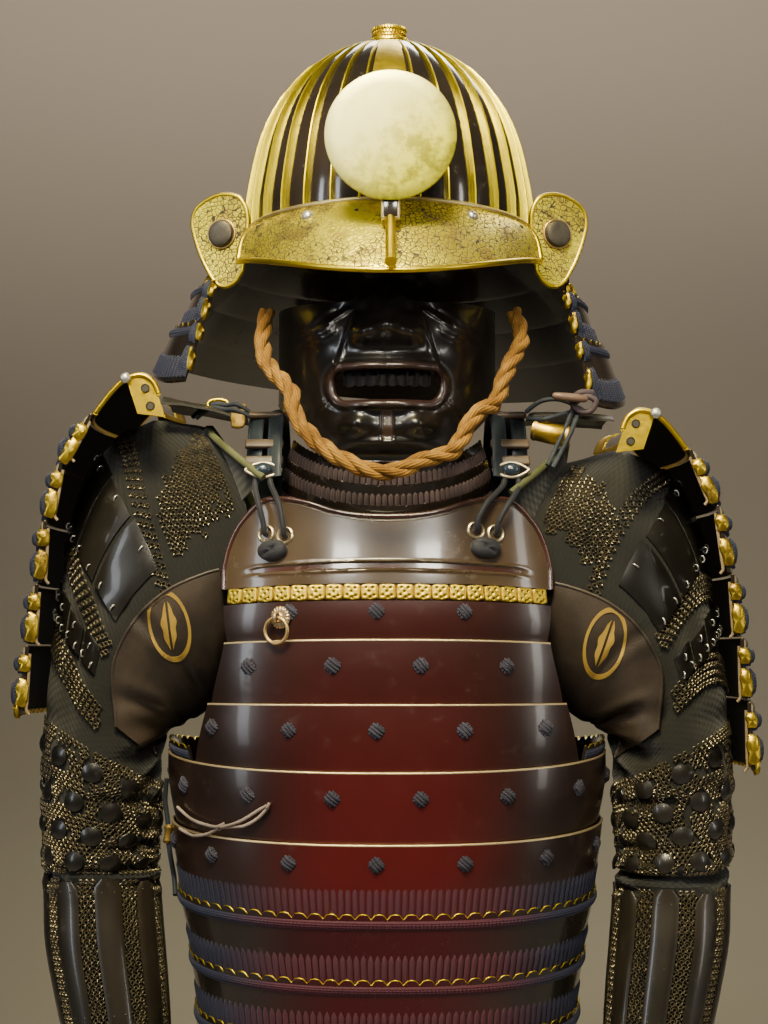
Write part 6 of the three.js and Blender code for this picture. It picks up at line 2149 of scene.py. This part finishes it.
def makeGuardLames(name, side):
    edge, half = guardSet[name], guardSet["half"]
    rows, ribsUp, ribsLow, heads, puffs, lines, feet = [], [], [], [], [], [], []
    for index in range(len(edge) - 1):
        (topX, topZ), (nextX, nextZ) = edge[index], edge[index + 1]
        tall = topZ - nextZ - 1.5
        def surface(u, drop, out, topX=topX, topZ=topZ, nextX=nextX, tall=tall):
            along, share = u / half, drop / tall
            x = mixed(topX + 2.5, nextX, share) + guardSet["bulge"] * (1 - along ** 2) + out
            return Vector((side * x, u, topZ - drop))
        shape = dict(laceShape, bandTop=0.5, bandTall=8.5, bandOut=1.5, bandRib=2.6, thick=guardSet["thick"])
        rows.append(lacedLame(surface, -half, half, tall, False, foot=0, shape=shape, heads=False))
        count = int(2 * half / laceShape["ribPitch"])
        for step in range(count):
            u = mixed(-half + 3, half - 3, step / (count - 1))
            for drop, group in ((15.5, ribsUp), (mixed(23, tall, 0.5), ribsLow)):
                spot, out, up = facingOut(surface, u, drop)
                group.append((spot + out * guardSet["thick"], out, up, (1, 1, 1)))
        for end in (-1, 1):
            facing = Vector((0, end, 0))
            for drop, size in ((14, 0.6), (mixed(22, tall, 0.5), 1.0)):
                spot = surface(end * (half - 0.6), drop, guardSet["thick"] * 0.75)
                up = (surface(end * half, drop - 3, 0) - surface(end * half, drop + 3, 0)).normalized()
                wobble = 1 + 0.16 * noise.noise(Vector((index * 2.1, drop, side * end)))
                heads.append((spot + facing * 0.8, facing, up, (wobble, size * wobble, 1)))
                outward = Vector((side, 0, 0))
                bulged = surface(end * (half - 7), drop, guardSet["thick"] + 1.6)
                puffs.append((bulged, (outward + facing * 0.25).normalized(), up, (1, size, 1)))
            inner = [surface(end * (half - 1), d, -1.2 - 1.8 * (d / tall)) for d in spread(6, tall - 2, 8)]
            tip = inner[-1] + Vector((side * -2.4, 0, -3.0))
            lines.append(smoothRoute([*inner, tip], 3))
    (lastX, lastZ) = edge[-1]
    for u in spread(-half + 5, half - 5, 16):
        x = lastX + 1.0 + guardSet["bulge"] * (1 - (u / half) ** 2)
        feet.append((Vector((side * (x + 2.2), u, lastZ + 4)), Vector((side, 0, 0)), Vector((0, 0, 1)),
                     (1.35, 0.62, 0.8)))
    walls = [row["wall"] for row in rows]
    lower = name.lower()
    wallGroup("guardLames" + name, walls, look["blackLacquer"],
              ["shoulder_guard_lames_" + lower],
              angle=50, second=look["liningHide"])
    wallGroup("guardBands" + name, [row["band"] for row in rows], look["bandGilt"], angle=60)
    settle(placeMany("guardLacingUpper" + name, ribsUp, ribMesh(4.9, 13, 2.4), look["blueSilk"], 0.03, 5))
    settle(placeMany("guardLacingLower" + name, ribsLow, ribMesh(4.9, 21, 2.6), look["blueSilk"], 0.03, 6))
    head = lumpMesh("guardHead", 9.4, 23, 2.6, 2.7, 0.7)
    settle(placeMany("guardHeads" + name, heads + feet, head, look["headGilt"], 0.08, 8))
    settle(placeMany("guardPuffs" + name, puffs, puffMesh(13, 21, 4.2), look["blueCord"], 0.05, 9))
    settle(sweepMany("guardInnerEdges" + name, lines, 1.3, look["tanHide"], 6))
    settle(sweepMany("guardTrims" + name, [row["gold"] for row in rows], 0.7, look["edgeGilt"], 4))


def makeGuardTop(name, side):
    edge, half = guardSet[name], guardSet["half"]
    section = smoothRoute([Vector((edge[0][0] - inward, 0, edge[0][1] + up))
                           for inward, up in guardSet["top"]], 6)
    def point(index, along, depth):
        ahead = section[min(index + 1, len(section) - 1)] - section[max(index - 1, 0)]
        ahead.normalize()
        down = Vector((ahead.z, 0, -ahead.x))
        down = down if down.z < 0 or ahead.z < 0 else -down
        spot = section[index] + down * depth
        return Vector((side * (spot.x + guardSet["bulge"] * (1 - along ** 2)), half * along, spot.z))
    indices, lower = range(len(section)), name.lower()
    def grid(low, high, count, depth):
        return [[point(i, a, depth) for a in spread(low, high, count)] for i in indices]
    wallGroup("guardTop" + name, [(grid(-0.99, 0.99, 36, 0), grid(-0.99, 0.99, 36, 2.6))],
              look["blackLacquer"],
              ["shoulder_guard_top_" + lower], angle=50, second=look["liningHide"])
    caps = [(grid(a, b, 10, -0.9), grid(a, b, 10, 0.2)) for a, b in ((-0.995, -0.80), (0.80, 0.995))]
    wallGroup("guardTopCaps" + name, caps, look["guardGilt"], angle=50)
    rims = [[point(i, a, 1.0) for i in indices] for a in (-0.99, 0.99)]
    rims += [[point(i, a, 1.2) for a in spread(-0.99, 0.99, 50)] for i in (0, len(section) - 1)]
    settle(sweepMany("guardTopRims" + name, rims, 2.2, look["guardGilt"], 8))
    fronts = []
    for end in (-1, 1):
        chord = [point(i, 0.985 * end, 1.6) for i in range(3, len(section) - 12)]
        low = Vector((-side * 9, 0, -27))
        base = [chord[0].lerp(chord[-1], k / (len(chord) - 1))
                + low * min(1, 0.86 + 0.14 * k / (len(chord) - 1))
                for k in range(len(chord))]
        shift = Vector((0, 1.8 * end, 0))
        fronts.append(([chord, base], [[p - shift for p in chord], [p - shift for p in base]]))
    wallGroup("guardTopEnds" + name, fronts, look["guardGilt"], angle=50)
    holes, knobs = [], []
    for end in (-1, 1):
        facing = Vector((0, end, 0))
        middle = point(len(section) // 2 - 4, 0.985 * end, 4.0)
        for drop in (7, 21):
            holes.append((middle + Vector((-side * drop * 0.3, end * 0.6, -drop)), facing, Vector((0, 0, 1)),
                          (1.15, 1.15, 1)))
        knobs.append((point(len(section) - 13, 0.985 * end, 1.0) + facing * 2.0, facing, Vector((0, 0, 1)),
                      (1, 1, 1)))
    hole = latheMesh("fittingHole", [(0, -0.6), (2.7, -0.6), (3.1, 0.2), (2.6, 0.7), (2.2, 0.1), (0, 0.1)],
                     18)
    settle(placeMany("guardTopHoles" + name, holes, hole, look["darkIron"]))
    knob = latheMesh("fittingKnob", [(0, -1.5), (3.2, -1.5), (2.2, 0.4), (2.6, 1.4), (3.9, 2.4), (4.2, 3.6),
                                     (3.4, 5.0), (1.8, 5.8), (0, 6.0)], 18)
    settle(placeMany("guardTopKnobs" + name, knobs, knob, look["silver"]))


# shoulder straps and their fastenings
strapSet = {"inner": 84, "outer": 113, "thick": 4, "slope": 5, "trunk": 148,
            "path": [(82, -62), (80.5, -40), (70, -18), (50, -4), (15, 2), (-20, 1), (-48, -8), (-68, -24),
                     (-80, -42),
                     (-86, -58)]}


def strapCurve(x):
    return (1 - (x / strapSet["trunk"]) ** 2.4) ** (1 / 2.4)


strapRoute = smoothRoute([Vector((0, y, z)) for y, z in strapSet["path"]], 8)


def strapPoint(side, index, share, out):
    ahead = (strapRoute[min(index + 1, len(strapRoute) - 1)] - strapRoute[max(index - 1, 0)]).normalized()
    normal = Vector((0, ahead.z, -ahead.y))
    x = mixed(strapSet["inner"], strapSet["outer"], share)
    place = strapRoute[index]
    y = place.y * strapCurve(x) / strapCurve(strapSet["inner"])
    lifted = normal * -out * (1 if normal.z < 0 else -1)
    return Vector((side * x, y, place.z - strapSet["slope"] * share)) + lifted


def makeStraps(name, side):
    walls, seams = [], []
    for low, high in ((0.0, 0.42), (0.56, 1.0)):
        shares = [low, low + 0.02, *spread(low + 0.06, high - 0.06, 6), high - 0.02, high]
        middle, half = (low + high) / 2, (high - low) / 2
        def grid(out, arch):
            return [[strapPoint(side, i, s, out + arch * (1 - abs((s - middle) / half) ** 4)) for s in shares]
                    for i in range(len(strapRoute))]
        walls.append((grid(2.2, 1.5), grid(0.2, 0)))
        for s in (low + 0.05, high - 0.05):
            seams.append([strapPoint(side, i, s, 3.0) for i in range(len(strapRoute))])
    wallGroup("shoulderStrap" + name, walls, look["strapHide"],
              ["shoulder_strap_" + name.lower()],
              angle=50)
    settle(sweepMany("strapSeams" + name, seams, 0.45, look["blueCord"], 4))
    pads, last = [], len(strapRoute) - 1
    for index in (last - 26, last - 13, last - 7):
        spot = strapPoint(side, index, 0.5, 4.4)
        ahead = (strapPoint(side, index + 1, 0.5, 4.4) - spot).normalized()
        out = (strapPoint(side, index, 0.5, 8) - spot).normalized()
        pads.append((spot, out, -ahead, (1, 1, 1)))
    clasp = boxMesh("strapClasp", (31, 8.5, 4.6), 1.6)
    settle(placeMany("strapClasps" + name, pads, clasp, look["claspHide"], 0.03, 2))


def chestSpot(x, z, out):
    angle = math.copysign(trunkAngle(abs(x), z), x)
    return trunkPoint(angle, z, out)


def chestFacing(x, z, out):
    spot = chestSpot(x, z, out)
    across = chestSpot(x + 1, z, out) - chestSpot(x - 1, z, out)
    up = chestSpot(x, z + 1, out) - chestSpot(x, z - 1, out)
    normal = across.cross(up).normalized()
    return spot, normal if normal.y < 0 else -normal, up.normalized()


def makeFastenings():
    lens, balls, cords, eyelets, knots = [], [], [], [], []
    for side, holes, knot in ((-1, ((-94, -103.6), (-79, -105.2)), (-88.5, -117.4)),
                               (1, ((84, -103.4), (68.5, -101.2)), (76, -115.5))):
        index = len(strapRoute) - 4
        spot = strapPoint(side, index, 0.5, 6.5)
        out = (strapPoint(side, index, 0.5, 12) - spot).normalized()
        up = (strapPoint(side, index - 2, 0.5, 6.5) - spot).normalized()
        right = up.cross(out)
        for arc in (-1, 1):
            lens.append([spot + right * (14.5 * s) + up * (arc * 6.2 * (1 - s * s))
                         for s in spread(-1, 1, 16)])
        balls.append((spot + out * 0.6, out, up, (1, 1, 1)))
        for turn, (x, z) in enumerate(holes):
            shift = (1 if turn else -1) * -side * 4.5
            end, facing, _ = chestFacing(x, z, 3.2)
            route = [spot + Vector((shift, 0, -3)) + out * -1, spot + Vector((shift * 1.4, -1.5, -12)),
                     spot.lerp(end, 0.55) + Vector((shift * 0.9, -7, 0)),
                     end + facing * 3.6 + Vector((0, 0, 6)),
                     end + facing * 1.6, end - facing * 2.5]
            cords.append(smoothRoute(route, 7))
            eyelets.append((end - facing * 1.6, facing, Vector((0, 0, 1)), (1, 1, 1)))
        place, facing, rise = chestFacing(*knot, 2.0)
        knots.append((place + facing * 1.6, facing, rise, (-side, 1, 1)))
    settle(sweepMany("lensRims", lens, 1.35, look["lensMetal"], 8))
    ball = lumpMesh("fastenerBall", 15, 11.5, 5.6, 0.2, 1.0, 18)
    settle(placeMany("fastenerBalls", balls, ball, look["ballLacquer"]))
    settle(sweepMany("breastCords", cords, 2.3, look["dustyCord"], 12))
    bead = [(5.2, -0.8), (7.0, -0.8), (7.4, 0.2), (6.9, 1.5), (6.0, 1.9), (5.2, 1.5), (4.6, 0.4)]
    settle(placeMany("cordEyelets", eyelets, latheMesh("cordEyelet", bead, 30), look["lensMetal"]))
    bean = lumpMesh("beanKnot", 25, 16.5, 6.0, 0.3, 0.95, 26)
    for vert in bean.vertices:
        x, y, z = vert.co / mm
        line = y - 0.34 * x - 1.5 * math.sin(x * 0.22)
        cut = math.exp(-(line / 1.1) ** 2) * (1 - (x / 12.5) ** 2)
        vert.co.z -= 3.2 * mm * max(0.0, cut) * (z > 0)
    settle(placeMany("beanKnots", knots, bean, look["dustyCord"], 0.0, 1))


def makeBreastRing():
    ring = {"turn": -0.48076, "mount": Vector((-82.913, -114.628, -170)),
            "centre": Vector((-85.87, -120.30, -180)),
            "radius": 10, "wire": 1.5}
    out = Vector((math.sin(ring["turn"]), -math.cos(ring["turn"]), 0))
    up = Vector((0, 0, 1))
    wire = [(ring["radius"] + ring["wire"] * math.cos(t), ring["wire"] * math.sin(t))
            for t in [2 * math.pi * i / 14 for i in range(14)]]
    hoop = latheMesh("breastRing", wire, 72)
    placed(hoop, stand(ring["centre"], out, up))
    settle(addObject("breastRing", hoop, look["brass"]), ["breast_ring"], "breast_ring")
    rose = latheMesh("ringRose", [(0, 0), (8.8, 0), (9.0, 0.5), (8.7, 1.2), (7.6, 2.2), (5.8, 2.5),
                                  (4.2, 2.3),
                                  (3.8, 3.1), (2.6, 3.9), (0, 4.1)], 96, 50)
    for vert in rose.vertices:
        x, y, z = vert.co / mm
        radius = math.hypot(x, y)
        petal = abs(math.sin(math.atan2(y, x) * 9))
        if radius > 4.0:
            vert.co.z -= (1 - petal ** 0.5) * 0.9 * mm * (z > 0.4)
            vert.co.x *= 1 - 0.05 * (1 - petal)
            vert.co.y *= 1 - 0.05 * (1 - petal)
    placed(rose, stand(ring["mount"], out, up))
    settle(addObject("ringRose", rose, look["roseBrass"]), ["ring_staple"])
    eye = latheMesh("ringEye", [(3.5 + 0.95 * math.cos(t), 1.7 * math.sin(t))
                                for t in [2 * math.pi * i / 12 for i in range(12)]], 28)
    across = up.cross(out)
    placed(eye, stand(ring["mount"] + out * 6.6, across, up))
    settle(addObject("ringEye", eye, look["roseBrass"]))


def makeSmallFittings():
    # gilt plates and ties beside the straps
    patches = []
    for side, place, size in ((-1, (-121, -56, -9), (0.75, 0.6, 1.0)),
                              (-1, (-118, -50, 1), (0.45, 0.3, 1.0))):
        patches.append((Vector(place), Vector((0.1 * side, -1, 0.3)), Vector((0, 0.2, 1)), size))
    patch = lumpMesh("strapPatch", 16, 26, 1.8, 1.6, 0.6, 28)
    settle(placeMany("strapPatches", patches, patch, look["patchGilt"], 0.1, 3))
    roll = [Vector((119, -58, -17)), Vector((133, -62, -21)), Vector((146, -60, -23))]
    settle(sweepMany("giltRoll", [smoothRoute(roll, 5)], 8.6, look["rollGilt"], 24))
    bands = [[roll[0].lerp(roll[2], s) + Vector((0, -1.6 * (1 - abs(2 * s - 1)), 0)),
              roll[0].lerp(roll[2], s + 0.08) + Vector((0, -1.6 * (1 - abs(2 * s - 1)), 0))]
              for s in (0.0, 0.90)]
    settle(sweepMany("giltRollBands", bands, 9.3, look["brass"], 24))
    loopPlace = Vector((-138, -44, 5))
    loop = [loopPlace + Vector((8.5 * math.cos(t), 0.8 * math.sin(t), 4.2 * math.sin(t))) for t in
            spread(0, 2 * math.pi, 24)]
    settle(sweepMany("tieLoop", [loop], 1.4, look["gilt"], 10))
    for name, side, rise in (("Right", -1, 0), ("Left", 1, -15)):
        # leather flaps from the straps to the guards
        def flap(out):
            return [[Vector((side * mixed(118, 184, s), y, 1 + 12 * s ** 0.8 + rise * s - 5 * abs(y / 50) ** 3
                             + 2.2 * noise.noise(Vector((s * 3, y * 0.05, side))) + out))
                             for y in spread(-54, 40, 20)]
                    for s in spread(0, 1, 16)]
        wallGroup("shoulderFlap" + name, [(flap(0), flap(-2.0))], look["flapHide"],
                  angle=60)
    ties = [[(-112, -50, -2), (-122, -52, 4), (-131, -47, 4), (-140, -44, 5), (-152, -36, 2),
             (-160, -30, -4)],
            [(-112, -54, -6), (-123, -56, -1), (-132, -50, 0), (-143, -46, 2), (-156, -40, -6)],
            [(113, -50, -2), (124, -54, 6), (138, -54, 8), (152, -50, 4), (164, -40, -2)],
            [(114, -56, -8), (126, -68, -10), (140, -66, -6), (152, -54, -2)],
            [(150, -60, 0), (144, -66, -16), (136, -72, -32), (128, -78, -48)],
            [(155, -58, -2), (149, -66, -18), (141, -72, -34), (132, -80, -50)]]
    routes = [smoothRoute([Vector(p) for p in tie], 7) for tie in ties]
    settle(sweepMany("shoulderTies", routes, 1.9, look["darkCord"], 10))
    knot = [(152, -62, 4), (160, -66, 9), (168, -66, 5), (164, -64, -3), (154, -63, -2), (149, -62, 6),
            (156, -66, 12),
            (166, -64, 12)]
    settle(sweepMany("toggleLoop", [smoothRoute([Vector(p) for p in knot], 8)], 2.4, look["toggleSilk"], 10))
    spindle = [(0, -14.5), (1.8, -14.2), (3.0, -12), (3.4, -5), (3.4, 5), (3.0, 12), (1.8, 14.2), (0, 14.5)]
    toggle = latheMesh("shoulderToggle", spindle, 20)
    placed(toggle, stand(Vector((147, -70, 7.5)), Vector((1, 0.05, -0.10)), Vector((0, 0, 1))))
    settle(addObject("shoulderToggle", toggle, look["toggleHide"]))
    # the pale looped cord at the waist and the toggle at its side
    def waistSpot(x, z, out):
        return chestSpot(x, z, out + 6.5)
    upper = [(-160, -320, 1), (-148, -328, 1), (-134, -331.5, 2), (-122, -332, 3.4), (-108, -327, 2),
             (-96, -319, 1.6),
             (-88.5, -314.5, 2)]
    lower = [(-158, -337, 1), (-146, -341, 1), (-133, -338, 1.5), (-122, -332.5, 2), (-107, -331, 1),
             (-95, -324, 1),
             (-87.5, -315.5, 1.4)]
    strands = [smoothRoute([waistSpot(*p) for p in line], 8) for line in (upper, lower)]
    tie = [waistSpot(-125, -334.5, 1), waistSpot(-123.6, -332, 4.6), waistSpot(-121, -329.5, 1)]
    tip = [waistSpot(-89, -317.2, 1), waistSpot(-87.4, -315, 2.6), waistSpot(-86.6, -312.6, 1.4)]
    settle(sweepMany("waistCord", [*strands, smoothRoute(tie, 5), smoothRoute(tip, 5)], 1.25,
                     look["paleCord"], 10))
    peg = latheMesh("waistToggle", [(0, -8), (2.6, -7.6), (3.8, -5.4), (3.0, -1.2), (3.4, 3.0), (4.2, 5.4),
                                    (2.8, 7.6),
                                    (0, 8)], 20)
    place = trunkPoint(-84, -345, 9.5)
    placed(peg, stand(place, Vector((0.12, 0.05, 1)), Vector((0, -1, 0))))
    settle(addObject("waistToggle", peg, look["patchGilt"]))
    side = [smoothRoute([trunkPoint(-84, -300, 7), trunkPoint(-85, -318, 9.5), trunkPoint(-84.5, -332, 9),
                         place + Vector((0, 0, 4))], 6),
            smoothRoute([place - Vector((0, 0, 4)), trunkPoint(-84, -366, 9), trunkPoint(-86, -380, 8),
                         trunkPoint(-83, -394, 8.5)], 6)]
    settle(sweepMany("sideTies", side, 2.1, look["darkCord"], 10))


for guardName, guardSide in (("Right", -1), ("Left", 1)):
    makeGuardLames(guardName, guardSide)
    makeGuardTop(guardName, guardSide)
    makeStraps(guardName, guardSide)
makeFastenings()
makeBreastRing()
makeSmallFittings()
print("armour: guards, straps and fittings made")


# floor, backdrop and light
def makeStage():
    floorFinish = Finish("floor", roughness=0.9)
    cloud = floorFinish.grain(1.2, 2.0)
    floorFinish.wear(Base_Color=floorFinish.mix(cloud, (0.50, 0.465, 0.43), (0.54, 0.505, 0.47)))
    clear = floorFinish.add("ShaderNodeBsdfTransparent")  # the sweep's back lets a view from behind through
    behind = floorFinish.add("ShaderNodeNewGeometry", output="Backfacing")
    shown = floorFinish.add("ShaderNodeMixShader", None, {0: behind, 1: floorFinish.surface(), 2: clear})
    floorFinish.links.new(shown.socket, floorFinish.nodes["Material Output"].inputs["Surface"])
    low = cadBox[0][2] / mm - 2
    route = [(-2400, low), (1500, low)]
    route += [(1500 + 900 * math.sin(t), low + 900 * (1 - math.cos(t)))
              for t in spread(0, math.pi / 2, 12)[1:]]
    route.append((2400, 3200))
    points = [Vector((x, y, z)) for y, z in route for x in (-3600, 3600)]
    faces = [(2 * i, 2 * i + 1, 2 * i + 3, 2 * i + 2) for i in range(len(route) - 1)]
    floor = addObject("floorSweep", smoothed(meshFrom("floorSweep", points, faces), 60), floorFinish)


def addLight(name, place, aim, size, power, colour, cone=180):
    data = bpy.data.lights.new(name, "AREA")
    data.shape = "RECTANGLE"
    data.size, data.size_y = size
    data.energy = power
    data.color = colour
    data.spread = math.radians(cone)
    lamp = bpy.data.objects.new(name, data)
    lamp.location = Vector(place)
    lamp.rotation_euler = (Vector(aim) - Vector(place)).to_track_quat("-Z", "Y").to_euler()
    scene.collection.objects.link(lamp)


makeStage()
addLight("helmetLight", (-0.15, -1.05, 1.20), (0, -0.1, 0.20), (0.55, 0.35), 9.5, (1.0, 0.88, 0.50), 70)
for side in (-1, 1):
    addLight("maskLight%d" % side, (0.27 * side, -1.35, 0.48), (0, -0.13, 0.0), (0.20, 0.14), 0.20,
             (1.0, 0.94, 0.82), 34)
addLight("bodyLight", (-0.5, -1.5, 1.3), (0, 0, -0.25), (1.2, 0.5), 2.4, (1.0, 0.92, 0.78), 60)
addLight("leftWindow", (-2.1, -1.5, 0.3), (0, 0, -0.25), (0.35, 2.0), 1.8, (0.90, 0.95, 1.0), 50)
addLight("rightWindow", (2.2, -1.2, 0.2), (0, 0, -0.25), (0.30, 1.8), 1.4, (1.0, 0.95, 0.86), 50)
addLight("edgeLight", (0.3, 1.3, 1.5), (0, 0, -0.1), (1.6, 0.6), 5.0, (1.0, 0.93, 0.82), 60)
addLight("backdropLight", (0, 0.9, 1.7), (0, 2.4, 1.15), (3.0, 0.4), 9, (1.0, 0.83, 0.62), 78)
world = bpy.data.worlds.new("studio")
world.use_nodes = True
world.node_tree.nodes["Background"].inputs["Color"].default_value = (0.56, 0.56, 0.56, 1)
world.node_tree.nodes["Background"].inputs["Strength"].default_value = 0.075
scene.world = world

print("armour: stage set")
